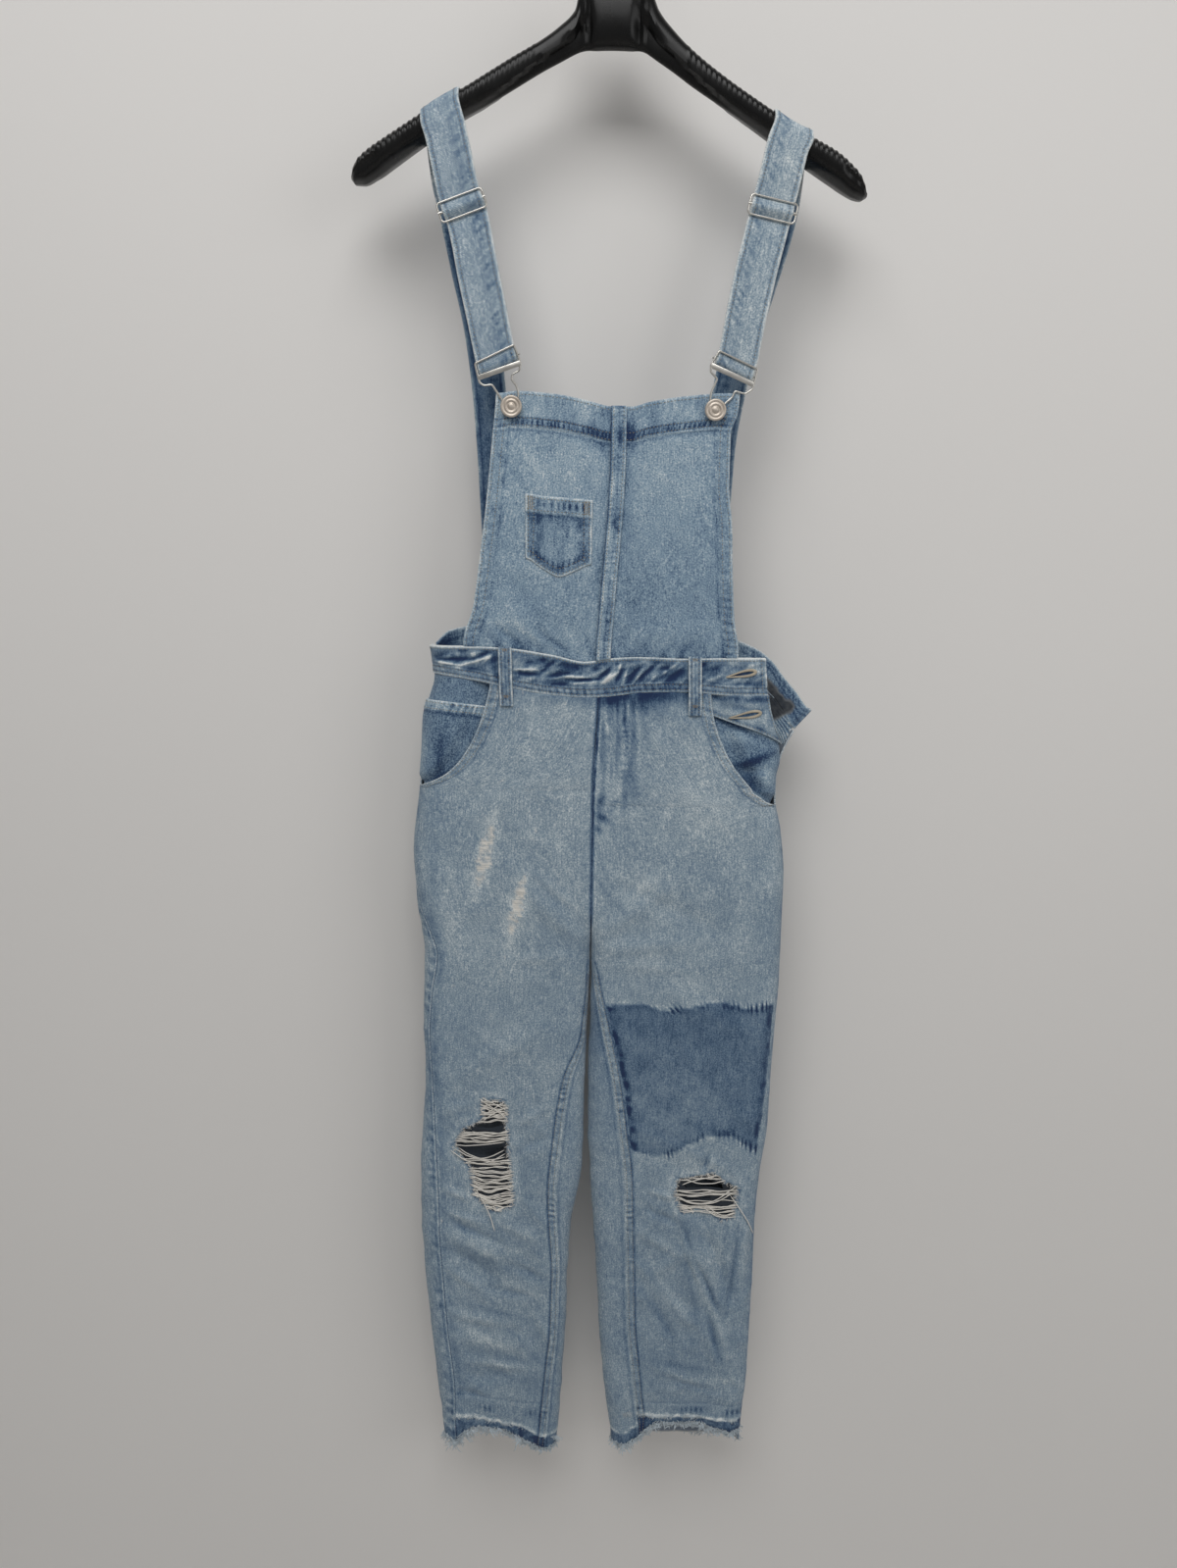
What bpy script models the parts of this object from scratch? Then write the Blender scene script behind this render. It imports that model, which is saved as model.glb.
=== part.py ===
"""Denim dungarees (bib overalls) hanging by their straps on a moulded coat hanger.

Lengths are in millimetres until a mesh is made. X runs to the wearer's left, the garment faces -Y,
and +Z is up. The origin is the underside of the hook's crown, where a rail would carry it.
"Right" and "left" are the wearer's.
"""
import math

import bmesh
import bpy
import numpy as np
from mathutils import Matrix, Vector

MM = 0.001

# Driving dimensions
CLOTH = 1.6            # wall of one layer of denim
FACING = 1.4           # wall of the pocket facings and the patch pockets
BAND = 2.8             # wall of the doubled waistband
BAND_PROUD = 0.8       # how far the waistband stands out of the panels
STRAP = 2.2            # wall of the doubled strap
STRAP_WIDTH = 35.0
STRAP_BEHIND_WIDTH = 29.0  # as it shows where the strap hangs turned behind the bib
STRAP_STAND = 1.75     # from the hanger's face to the middle of the strap's wall
STRAP_TURNS = (12, 35, 55, 75, 90, 105, 125, 145, 168)  # degrees round the hanger's section
SEAM_GAP = 0.4         # clear space left at every seam
LAYER_GAP = 0.35       # clear space between cloth that lies on cloth
UNDER_GAP = 2.1        # clear space between a panel and the facing behind it
FOLDED_HEM = 0.7       # how far a turned and stitched hem stands out
EDGE_ROUND = 1.35      # rounding at the folded sides, as a share of the half depth
CROTCH = -930.0        # height where the two legs part
FORK_HEIGHT = 46.0     # height over which the crotch seams turn from the faces to the fork
POCKET_END = -766.0    # height of the lower end of the hip pocket openings
PLACKET_FOOT = -738.0  # height where the undone left side begins
PLACKET_EASE = 36.0    # height over which the undone side opens out
PANEL_TOP = -672.0     # mean height of the panels' top edge
HEM = -1470.0          # mean height of the raw hems
LEG_ROWS = [-790.0 - 34.0 * n for n in range(19)] + [-1434.0, -1455.0, HEM]
FRONT_COLUMNS = 10
BACK_COLUMNS = 12
WIRE = 1.8             # diameter of the slide and buckle wire
SLIDE_SIZE = (41.0, 16.0)
SLIDE_CORNER = 3.0
BUTTON_DIAMETER = 19.0
SIDE_BUTTON_DIAMETER = 16.0
BUTTON_STEPS = 16
HOOK_WIRE = 3.6
HOOK_RADIUS = 18.0


class Table:
    """A short table of millimetres, read smoothly along its first column."""

    def __init__(self, columns, *rows):
        self.columns = columns.split()
        self.rows = np.array(sorted(rows), float)

    def read(self, column, at):
        keys = self.rows[:, 0]
        values = self.rows[:, self.columns.index(column)]
        if at <= keys[0]:
            return float(values[0])
        if at >= keys[-1]:
            return float(values[-1])
        i = int(np.searchsorted(keys, at)) - 1
        step = keys[i + 1] - keys[i]
        t = (at - keys[i]) / step
        ends = [self._slope(keys, values, k) * step for k in (i, i + 1)]
        return float(
            values[i] * (2 * t**3 - 3 * t**2 + 1)
            + values[i + 1] * (3 * t**2 - 2 * t**3)
            + ends[0] * (t**3 - 2 * t**2 + t)
            + ends[1] * (t**3 - t**2)
        )

    @staticmethod
    def _slope(keys, values, k):
        """A tangent that never overshoots the rows."""
        if k in (0, len(keys) - 1):
            return 0.0
        before = (values[k] - values[k - 1]) / (keys[k] - keys[k - 1])
        after = (values[k + 1] - values[k]) / (keys[k + 1] - keys[k])
        if before * after <= 0:
            return 0.0
        return 2 * before * after / (before + after)


# Each leg and its half of the hips, by height: the folded outer side of the front and the back,
# the inner side (the centre line above the crotch), how far in from those sides the side seam and
# the inseam lie on the front, and how far the front and the back stand from the middle.
RIGHT = Table(
    "height front_outer back_outer inner side_seam inseam front back",
    (-616, -158, -158, -5, 0, 0, 17, 16),
    (-633, -161, -161, -5, 0, 0, 17, 16),
    (-662, -158, -158, -4, 0, 0, 17, 16),
    (-681, -163, -163, -4, 0, 0, 17, 16),
    (-700, -168, -168, -5, 0, 0, 17, 16),
    (-734, -170, -170, -7, 0, 0, 17, 17),
    (-766, -173, -173, -8, 0, 0, 17, 18),
    (-834, -180, -180, -8, 1, 0, 17, 18),
    (-883, -177, -177, -8, 4, 0, 17, 17),
    (-908, -173, -173, -8, 9, 0, 16, 17),
    (-931, -171, -171, -8.3, 14, 0, 16, 16),
    (-972, -172, -172, -9.5, 9, 0, 15, 16),
    (-1015, -173, -173, -11, 7, 1, 15, 15),
    (-1062, -172, -172, -11.5, 8, 15, 14, 15),
    (-1115, -175, -175, -12.5, 13, 22, 14, 15),
    (-1169, -178, -178, -15, 18, 25, 14, 15),
    (-1224, -178, -178, -25, 19, 14, 14, 14),
    (-1280, -175, -175, -27.5, 19, 9, 13, 14),
    (-1337, -170, -170, -29, 18, 9, 13, 13),
    (-1395, -165, -165, -32, 19, 11, 13, 13),
    (-1454, -159, -159, -36, 14, 12, 12, 12),
    (-1486, -156, -156, -39, 12, 12, 12, 12),
)
LEFT = Table(
    "height front_outer back_outer inner side_seam inseam front back",
    (-616, 150, 190, -5, 0, 0, 17, 16),
    (-641, 150, 194, -5, 0, 0, 17, 16),
    (-668, 152, 197, -4, 0, 0, 17, 16),
    (-690, 156, 196, -4, 0, 0, 17, 16),
    (-709, 162, 183, -5, 0, 0, 17, 16),
    (-724, 168, 175, -6, 0, 0, 17, 17),
    (-738, 170, 170, -7, 0, 0, 17, 17),
    (-755, 167, 167, -8, 0, 0, 17, 17),
    (-775, 167, 167, -8, 0, 0, 17, 18),
    (-805, 173, 173, -8, 0, 0, 17, 18),
    (-854, 178, 178, -8, 0, 0, 17, 17),
    (-904, 178, 178, -8, 0, 0, 16, 17),
    (-931, 178, 178, -7.7, 0, 0, 16, 16),
    (-956, 178, 178, -7, 0, 2, 15, 16),
    (-1005, 176, 176, -8.5, 0, 12, 15, 15),
    (-1058, 174, 174, -9.5, 0, 24, 14, 15),
    (-1111, 173, 173, -9, 0, 31, 14, 15),
    (-1165, 167, 167, -6, 0, 35, 14, 15),
    (-1220, 164, 164, -2, 0, 33, 14, 14),
    (-1276, 164, 164, 2, 0, 31, 13, 14),
    (-1333, 163, 163, 5, 0, 30, 13, 13),
    (-1391, 162, 162, 10, 0, 31, 13, 13),
    (-1450, 158, 158, 17, 0, 31, 12, 12),
    (-1486, 157, 157, 21, 0, 28, 12, 12),
)
HALVES = {"right": RIGHT, "left": LEFT}

# Lines across the garment: height of each edge at a place across.
WAIST_LINES = Table(
    "across band_top band_bottom",
    (-161, -633, -658),
    (-120, -633, -663),
    (-90, -634, -669),
    (-46, -640, -676),
    (-16, -646, -678),
    (4, -643, -677),
    (35, -641, -673),
    (75, -642, -672),
    (124, -641, -675),
    (155, -641, -675),
)
BACK_WAIST = Table(
    "across band_top band_bottom lean",
    (-162, -634, -662, 0),
    (-145, -621, -650, 0),
    (-120, -616, -646, 0),
    (0, -615, -645, 0),
    (100, -619, -648, 0),
    (124, -626, -655, 0),
    (147, -636, -664, 0),
    (160, -646, -675, 2),
    (172, -661, -690, 8),
    (184, -675, -709, 12),
    (197, -690, -712, 15),
)
FRONT_WAIST_RING = -655.0  # height whose ring places the front waistband's columns
BACK_WAIST_RING = -668.0   # height whose ring the back waistband follows
HEM_LINES = Table(
    "across front",
    (-156, -1471),
    (-144, -1475),
    (-131, -1461),
    (-118, -1457),
    (-98, -1460),
    (-78, -1470),
    (-51, -1483),
    (0, -1476),
    (30, -1477),
    (48, -1468),
    (58, -1457),
    (71, -1450),
    (109, -1449),
    (129, -1457),
    (157, -1461),
)
POCKET_CURVES = Table(
    "height right left",
    (-666, -104, 100),
    (-682, -107, 101),
    (-702, -113, 105),
    (-721, -121, 112),
    (-740, -133, 122),
    (-752, -145, 131),
    (-759, -157, 137),
    (-766, -171, 142),
)
LEFT_POCKET_FOOT = Table("height across", (-766, 142), (-772, 150), (-778, 158), (-782, 168))
FACING_REACH = 12.0    # how far a facing reaches behind the front panel
FACING_CLEAR = 5.0     # how far beyond the opening's edge a facing stays deep
FACING_RISE = 18.0     # width over which it then comes up level with the panel
FACING_ROWS = [PANEL_TOP, -683.0, -694.0, -706.0, -717.0, -728.0, -738.0, -748.0, -757.0, -765.0]
PLACKET_ROWS = [PANEL_TOP, -677.0, -683.0, -689.0]
PLACKET_SLANT = 10.0   # how much lower each of its rows runs at the side
PATCH_COLUMNS = 8
COIN_ROW = 2           # the row of the facing where the coin pocket's top lies
# Belt loops: place across and how much lower the left one sits; then each row's height and how far
# its underside stands out of the panels.
BELT_LOOPS = {"right": (-90.5, 0.0), "left": (84.5, 7.0)}
LOOP_WIDTH = 11.0
LOOP_THICK = 1.8
LOOP_SLANT = 0.03
LOOP_ROWS = ((-633.0, 1.6), (-640.0, 2.5), (-664.0, 2.5), (-674.0, 2.5), (-681.0, 0.9), (-687.0, 0.6))
# Puckers of the front waistband: cycles across and up, length of a wave, phase and height.
PUCKERS = ((0.82, 0.57, 29.0, 0.0, 0.9), (0.9, -0.3, 17.0, 1.0, 0.4))
BIB_SIDES = Table(
    "height right left centre",
    (-408, -97, 117, 11),
    (-424, -98, 116, 11),
    (-443, -100, 110, 11),
    (-485, -104, 110, 10),
    (-521, -108, 114, 8),
    (-560, -113, 116, 5),
    (-603, -119, 119, 2),
    (-636, -128, 124, 0),
)
BIB_TOP = Table(
    "across height",
    (-97, -410),
    (-79, -408),
    (-47, -410),
    (-18, -415),
    (5, -420),
    (22, -420),
    (38, -416),
    (69, -411),
    (108, -408),
    (117, -408),
)
BIB_FOOT = -640.0
BIB_HEIGHT = 230.0
BIB_STAND = (17.2, 18.4)  # how far in front of the middle its foot and its top lie
BIB_BELLY = 1.6
# Soft swells of the bib: place across, height, half width, half height and how far they stand out.
BIB_SWELLS = (
    (-70, -606, 26, 14, 1.2),
    (62, -618, 30, 12, 1.0),
    (10, -408, 30, 34, -1.4),
)
BIB_DROPS = (0.0, 15.0, 29.0, 31.0, 54.0, 80.0, 106.0, 132.0, 158.0, 192.0)
BIB_BAND = 30.0        # depth of the turned top hem
BIB_SIDE_HEM = 11.0
BIB_STRIP = 13.0       # width of the felled centre seam
BIB_STRIP_THICK = 1.2
BIB_POCKET = Table(
    "across top bottom",
    (-71, -496, -552),
    (-56, -498, -561),
    (-41, -499, -568),
    (-27, -500, -563),
    (-12, -501, -557),
)
POCKET_HEM = 14.0
HEM_STEP = 1.2         # height over which a turned hem steps down to the single cloth

# Folds of the front and the back: two ends, half width, and how far it stands out.
FOLDS = (
    # face, x1, z1, x2, z2, half width, height
    ("front", -152, -1228, -84, -1262, 9, 2.6),
    ("front", -146, -1250, -100, -1283, 8, -2.2),
    ("front", -150, -1345, -60, -1362, 10, 2.0),
    ("front", -140, -1398, -80, -1392, 8, -1.8),
    ("front", 86, -1205, 128, -1312, 7, 3.0),
    ("front", 103, -1200, 140, -1300, 7, -2.4),
    ("front", 146, -1226, 136, -1322, 6, 2.4),
    ("front", 116, -1330, 134, -1390, 8, 2.2),
    ("front", 60, -1275, 100, -1240, 8, 2.0),
    ("front", -8, -915, 70, -858, 9, 2.4),
    ("front", -8, -925, 88, -915, 8, 2.0),
    ("front", -16, -915, -84, -852, 9, 2.0),
    ("front", 20, -860, 120, -905, 9, -1.8),
    ("front", -60, -1010, -140, -1060, 12, 2.0),
    ("front", 60, -960, 150, -1010, 12, 1.8),
    ("back", -150, -720, -40, -770, 14, 2.6),
    ("back", 20, -760, 150, -725, 14, 2.4),
    ("back", -20, -905, -120, -850, 12, 3.0),
    ("back", 10, -905, 110, -860, 12, 3.0),
    ("back", -150, -1140, -60, -1172, 11, 2.8),
    ("back", -140, -1190, -60, -1160, 10, -2.2),
    ("back", 50, -1168, 145, -1140, 11, 2.8),
    ("back", 60, -1190, 140, -1215, 10, -2.2),
    ("back", -130, -1330, -70, -1372, 10, 2.2),
    ("back", 70, -1365, 135, -1330, 10, 2.2),
)

# Holes worn through the knees: points of each outline, across and height.
KNEE_GAPS = {
    "right": (
        ((-123, -1108), (-112, -1104), (-97, -1106), (-93, -1111), (-104, -1114), (-119, -1113)),
        ((-141, -1131), (-128, -1128), (-108, -1129), (-92, -1133), (-91, -1145), (-104, -1147),
         (-119, -1144), (-130, -1141)),
        ((-120, -1161), (-102, -1159), (-90, -1161), (-90, -1166), (-104, -1167), (-118, -1166)),
        ((-118, -1177), (-101, -1176), (-88, -1178), (-88, -1183), (-103, -1184), (-116, -1182)),
    ),
    "left": (
        ((87, -1171), (98, -1167), (114, -1167), (128, -1172), (130, -1178), (117, -1176),
         (103, -1177), (90, -1177)),
        ((83, -1185), (96, -1183), (115, -1184), (117, -1189), (101, -1190), (86, -1190)),
    ),
}

CUT_FROM, CUT_TO = -40.0, -3.0  # the cutters' reach in y: through the front cloth only

# The hanger by place across: top, underside and half depth.
HANGER = Table(
    "across top under depth",
    (-223.5, -229, -232, 5),
    (-221, -222, -235, 12),
    (-214, -214, -235, 18),
    (-203, -206, -230, 20),
    (-190, -198, -221, 20),
    (-163, -181, -203, 18.5),
    (-145, -169, -192, 17),
    (-127, -160, -181, 16),
    (-107, -148, -171, 14.5),
    (-87, -136, -160, 13),
    (-57, -119, -143, 12),
    (-43, -109, -136, 12),
    (-31, -97, -130, 12),
    (-26, -74, -128, 12),
    (-22, -63, -127, 12),
    (2, -62, -126, 12),
    (27, -63, -127, 12),
    (31, -72, -129, 12),
    (39, -95, -134, 12),
    (52, -111, -142, 12),
    (70, -128, -154, 12.5),
    (100, -150, -172, 14),
    (120, -163, -184, 15.5),
    (139, -175, -196, 17),
    (156, -186, -207, 18),
    (172, -195, -217, 19),
    (195, -207, -231, 20),
    (212, -221, -241, 19),
    (220, -231, -243, 13),
    (223.5, -238, -241, 5),
)
HANGER_CORNER = 2.7    # squareness of the hanger's section
HANGER_SIDES = 14

# Straps by place along them. Each row: across, y, height and slope in degrees of the width.
# "over" holds the place across on the hanger, the slope there and how much the outer edge is lifted.
STRAPS = {
    "right": {
        "behind": (
            (-95, 15.2, -614.6, 0), (-97, 15.2, -560, 0), (-100, 15.4, -505, 0),
            (-103, 15.6, -450, 2), (-107, 16, -400, 4), (-113, 16.6, -350, 8),
            (-123, 17.6, -300, 12), (-133, 18.6, -250, 17), (-141, 19.6, -215, 22),
        ),
        "over": (-145, 27, 0.0),
        "front": (
            (-140, -20.0, -197, 23), (-134, -19.6, -224, 21), (-130.6, -18.6, -240, 20),
            (-128.4, -17.9, -248.4, 20), (-125.6, -23.1, -256, 20), (-122.6, -17.9, -263.6, 20),
            (-119.4, -18.8, -276, 19), (-112.6, -19.2, -311, 18), (-105.2, -19, -345, 20),
            (-98.6, -18.3, -376, 22), (-96.2, -18.6, -384, 22),
        ),
        "fold": (-95.2, -16.9, -387.6, 22),
        "return": (
            (-96.4, -14.8, -383.6, 22), (-99, -14.6, -375, 22), (-105.2, -14.8, -345, 20),
            (-112.6, -15, -311, 18), (-119.4, -15, -276, 19), (-122.5, -14.8, -262.4, 20),
        ),
    },
    "left": {
        "behind": (
            (96, 15.2, -616.6, 0), (98, 15.2, -560, 0), (101, 15.4, -505, 0),
            (104, 15.6, -450, -2), (112, 16, -400, -4), (122, 16.6, -355, -8),
            (134, 17.6, -310, -12), (145, 18.6, -270, -17), (153, 20.2, -230, -22),
        ),
        "over": (156, -25, 5.0),
        "front": (
            (151, -20.8, -205, -20), (146, -20, -228, -15), (143.4, -18.6, -240, -13),
            (141.4, -17.9, -248.2, -12), (139.6, -23.1, -256, -12), (137.6, -17.9, -263.9, -12),
            (135, -18.8, -275, -14), (128, -19.2, -305, -18), (120.6, -19, -343, -22),
            (114.6, -18.3, -378, -24), (112.2, -18.6, -385.6, -24),
        ),
        "fold": (111.2, -16.9, -389.4, -24),
        "return": (
            (112.4, -14.8, -385.4, -24), (115, -14.6, -377, -24), (120.6, -14.8, -343, -22),
            (128, -15, -305, -18), (135, -15, -275, -14), (137.5, -14.8, -262.6, -12),
        ),
    },
}

# Wire fittings: the slide's centre, slope and height; the buckle's bars and its wire to the button.
FITTINGS = {
    "right": {
        "slide": (-126.6, -256, 20),
        "top_bar": ((-116, -385), (-82, -369)),
        "flat_bar": ((-113, -397), (-76, -384)),
        "outer_wire": ((-112, -401), (-108, -403.5), (-101, -402.5), (-98, -407), (-93.5, -413.5)),
        "inner_wire": ((-77, -390.5), (-83, -393.5), (-84, -398), (-79.5, -403.5), (-77.6, -410)),
        "button": (-84, -421),
    },
    "left": {
        "slide": (140, -256, -12),
        "top_bar": ((132, -387), (98, -372)),
        "flat_bar": ((129, -400), (91, -384)),
        "outer_wire": ((128, -404), (122, -408), (113, -405.5), (110.5, -411), (103.5, -417)),
        "inner_wire": ((91, -390), (97, -395.5), (94, -402), (92, -407), (91.2, -413)),
        "button": (96, -422),
    },
}
FRAME_Y = -20.6        # plane of the slides and buckles
SHANK_LOOP = 6.0       # radius of the buckle wire round the button's shank


# ---------------------------------------------------------------- materials and meshes

def material(name, colour, roughness, metallic=0.0):
    made = bpy.data.materials.get(name)
    if made:
        return made
    made = bpy.data.materials.new(name)
    made.use_nodes = True
    surface = made.node_tree.nodes["Principled BSDF"]
    surface.inputs["Base Color"].default_value = (*colour, 1.0)
    surface.inputs["Roughness"].default_value = roughness
    surface.inputs["Metallic"].default_value = metallic
    made.diffuse_color = (*colour, 1.0)
    return made


def light_denim():
    return material("light_denim", (0.36, 0.46, 0.56), 0.9)


def blue_denim():
    return material("blue_denim", (0.26, 0.40, 0.56), 0.9)


def black_plastic():
    return material("black_plastic", (0.015, 0.015, 0.016), 0.35)


def nickel():
    return material("nickel", (0.62, 0.60, 0.57), 0.3, 1.0)


def add_object(name, mesh, finish, collection):
    mesh.materials.append(finish)
    made = bpy.data.objects.new(name, mesh)
    collection.objects.link(made)
    return made


def mesh_from(name, points, faces):
    """A closed mesh from points in millimetres, with its faces turned out."""
    mesh = bpy.data.meshes.new(name)
    shape = bmesh.new()
    verts = [shape.verts.new([c * MM for c in point]) for point in points]
    for face in faces:
        shape.faces.new([verts[i] for i in face])
    bmesh.ops.recalc_face_normals(shape, faces=shape.faces[:])
    if shape.calc_volume(signed=True) < 0:
        bmesh.ops.reverse_faces(shape, faces=shape.faces[:])
    shape.to_mesh(mesh)
    shape.free()
    mesh.shade_smooth()
    mesh.set_sharp_from_angle(angle=math.radians(40))
    return mesh


def wall(name, outer, inner, finish, collection):
    """A cloth wall between two grids of points, closed along its four edges."""
    rows, columns = len(outer), len(outer[0])
    points = [p for row in outer for p in row] + [p for row in inner for p in row]
    back = rows * columns
    faces = []
    for r in range(rows - 1):
        for c in range(columns - 1):
            a = r * columns + c
            b = a + columns
            for corners in ((a, a + 1, b + 1), (a, b + 1, b)):
                faces.append(corners)
                faces.append(tuple(i + back for i in reversed(corners)))
    rim = [c for c in range(columns)]
    rim += [r * columns + columns - 1 for r in range(1, rows)]
    rim += [(rows - 1) * columns + c for c in range(columns - 2, -1, -1)]
    rim += [r * columns for r in range(rows - 2, 0, -1)]
    for a, b in zip(rim, rim[1:] + rim[:1]):
        faces.append((b, a, a + back, b + back))
    return add_object(name, mesh_from(name, points, faces), finish, collection)


def mesh_of_curve(curve_object):
    """The curve as a closed mesh object with the same name, place and material."""
    graph = bpy.context.evaluated_depsgraph_get()
    mesh = bpy.data.meshes.new_from_object(curve_object.evaluated_get(graph))
    shape = bmesh.new()
    shape.from_mesh(mesh)
    bmesh.ops.remove_doubles(shape, verts=shape.verts[:], dist=1e-6)
    bmesh.ops.recalc_face_normals(shape, faces=shape.faces[:])
    shape.to_mesh(mesh)
    shape.free()
    name = curve_object.name
    collection = curve_object.users_collection[0]
    place = curve_object.matrix_world.copy()
    bpy.data.objects.remove(curve_object)
    made = bpy.data.objects.new(name, mesh)
    made.matrix_world = place
    collection.objects.link(made)
    return made


def wire(name, points, diameter, finish, collection, closed=False, sides=2):
    """A round wire along points in millimetres."""
    curve = bpy.data.curves.new(name, "CURVE")
    curve.dimensions = "3D"
    curve.bevel_depth = diameter / 2 * MM
    curve.bevel_resolution = sides
    curve.use_fill_caps = not closed
    spline = curve.splines.new("POLY")
    spline.points.add(len(points) - 1)
    for target, point in zip(spline.points, points):
        target.co = (*(c * MM for c in point), 1.0)
    spline.use_cyclic_u = closed
    curve.materials.append(finish)
    made = bpy.data.objects.new(name, curve)
    collection.objects.link(made)
    bpy.context.view_layer.update()
    return mesh_of_curve(made)


def boolean(target, operation, helper, helpers):
    modifier = target.modifiers.new(f"{operation.lower()} {helper.name}", "BOOLEAN")
    modifier.operation = operation
    modifier.solver = "EXACT"
    modifier.object = helper
    for collection in helper.users_collection:
        collection.objects.unlink(helper)
    helpers.objects.link(helper)
    helper.hide_render = True
    helper.display_type = "WIRE"


def smooth_step(t):
    t = min(max(t, 0.0), 1.0)
    return t * t * (3 - 2 * t)


def between(a, b, share):
    return a + (b - a) * share


# ---------------------------------------------------------------- the body's surface

def rounding(distance, radius):
    """Height of a quarter ellipse at a distance in from its edge, from 0 to 1."""
    left = 1 - min(distance / radius, 1.0)
    return math.sqrt(max(0.0, 1 - left * left))


def fold_relief(face, x, z):
    total = 0.0
    for side, x1, z1, x2, z2, half_width, height in FOLDS:
        if side != face:
            continue
        along = ((x - x1) * (x2 - x1) + (z - z1) * (z2 - z1)) / ((x2 - x1) ** 2 + (z2 - z1) ** 2)
        share = min(max(along, 0.0), 1.0)
        away = math.hypot(x - between(x1, x2, share), z - between(z1, z2, share))
        total += height * math.sin(math.pi * between(0.12, 0.88, share)) * math.exp(
            -((away / half_width) ** 2)
        )
    return total


def side_open(half, z):
    """1 where the undone side placket leaves the front edge free, 0 where the side is sewn."""
    return smooth_step((z - PLACKET_FOOT) / PLACKET_EASE) if half == "left" else 0.0


def inner_edge(half, z):
    """Place across of the centre line or of a leg's inner side, clear of the other half."""
    return HALVES[half].read("inner", z) - (SEAM_GAP if half == "right" else -SEAM_GAP) / 2


def ring_x(half, s, z):
    """Place across: s runs 0 to 1 along the front from the outer side, and 1 to 2 along the back."""
    table = HALVES[half]
    turned = s % 2.0
    on_front = turned <= 1.0
    share = turned if on_front else 2.0 - turned
    outer = table.read("front_outer" if on_front else "back_outer", z)
    return between(outer, inner_edge(half, z), (1 - math.cos(math.pi * share)) / 2), on_front


def surface(half, s, z):
    """A point of the cloth's outer face on the hips or a leg."""
    table = HALVES[half]
    x, on_front = ring_x(half, s, z)
    face = "front" if on_front else "back"
    depth = table.read(face, z)
    outer_round = rounding(abs(x - table.read(face + "_outer", z)), EDGE_ROUND * depth)
    if on_front:
        outer_round = between(outer_round, 1.0, 0.85 * side_open(half, z))
    inner_round = rounding(abs(x - inner_edge(half, z)), EDGE_ROUND * depth)
    fork = smooth_step((CROTCH + FORK_HEIGHT - z) / FORK_HEIGHT)
    stand = outer_round * between(1.0, inner_round, fork)
    y = depth * stand + fold_relief(face, x, z) * stand**2
    return np.array((x, -y if on_front else y, z))


def outward(half, s, z):
    """Unit direction out of the cloth at a point of the surface."""
    turned = s % 2.0
    low, high = s - 0.004, s + 0.004
    if z > CROTCH:
        # Above the crotch the ring is open at the centre seams.
        low = max(low, 1.0) if turned >= 1.0 else low
        high = min(high, 1.0) if turned <= 1.0 else high
    if side_open(half, z) > 0:
        low = max(low, 0.0) if turned <= 1.0 else low
        high = min(high, 2.0 - 1e-9) if turned >= 1.0 else high
    along = surface(half, high, z) - surface(half, low, z)
    up = surface(half, s, z + 1.0) - surface(half, s, z - 1.0)
    out = np.cross(along, up) * (1 if half == "right" else -1)
    return out / np.linalg.norm(out)


def share_at(half, face, x, z):
    """The s of a place across, on the front or the back."""
    table = HALVES[half]
    outer = table.read(face + "_outer", z)
    along = min(max((x - outer) / (inner_edge(half, z) - outer), 0.0), 1.0)
    s = math.acos(1 - 2 * along) / math.pi
    return s if face == "front" else 2.0 - s


def seam_share(half, seam, z):
    """The s of the side seam or the inseam."""
    table = HALVES[half]
    inset = table.read(seam, z) / abs(table.read("front_outer", z) - inner_edge(half, z))
    s = math.acos(1 - 2 * inset) / math.pi
    return s if seam == "side_seam" else 1.0 - s


def beyond_gap(half, s, z, direction):
    """The s that lies half a seam's gap from s, towards the direction."""
    start = surface(half, s, z)
    near, far = 0.0, 0.2
    for _ in range(18):
        middle = (near + far) / 2
        away = np.linalg.norm(surface(half, s + direction * middle, z) - start)
        near, far = (middle, far) if away < SEAM_GAP / 2 else (near, middle)
    return s + direction * far


def row_height(face, x, nominal):
    """Height of a row of the panels at a place across: it meets the waistband and the raw hem."""
    table = WAIST_LINES if face == "front" else BACK_WAIST
    top = table.read("band_bottom", x) - PANEL_TOP - (SEAM_GAP if face == "front" else 1.3)
    upper = min(max((nominal - POCKET_END) / (PANEL_TOP - POCKET_END), 0.0), 1.0)
    hem = HEM_LINES.read("front", x) - HEM if face == "front" else -7.0
    lower = smooth_step((HEM + 40 - nominal) / 40)
    return nominal + top * upper + hem * lower


def panel_point(half, s, nominal, offset):
    """A point of a panel's row, moved out of the surface by the offset."""
    face = "front" if (s % 2.0) <= 1.0 else "back"
    z = nominal
    for _ in range(3):
        z = row_height(face, ring_x(half, s, z)[0], nominal)
    return surface(half, s, z) + outward(half, s, z) * offset


def panel_grids(half, rows, span, columns):
    """The two faces of a panel: span gives the s at both ends of a row."""
    grids = []
    for offset in (0.0, -CLOTH):
        grid = []
        for nominal in rows:
            first, last = span(nominal)
            grid.append(
                [
                    panel_point(half, between(first, last, c / columns), nominal, offset)
                    for c in range(columns + 1)
                ]
            )
        grids.append(grid)
    return grids


# ---------------------------------------------------------------- panels

def pocket_edge(half, z):
    """Place across of the hip pocket opening's edge."""
    if half == "left" and z < POCKET_END:
        return LEFT_POCKET_FOOT.read("across", z)
    return POCKET_CURVES.read(half, z)


def pocket_foot(half):
    return POCKET_END if half == "right" else LEFT_POCKET_FOOT.rows[0, 0]


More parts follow.
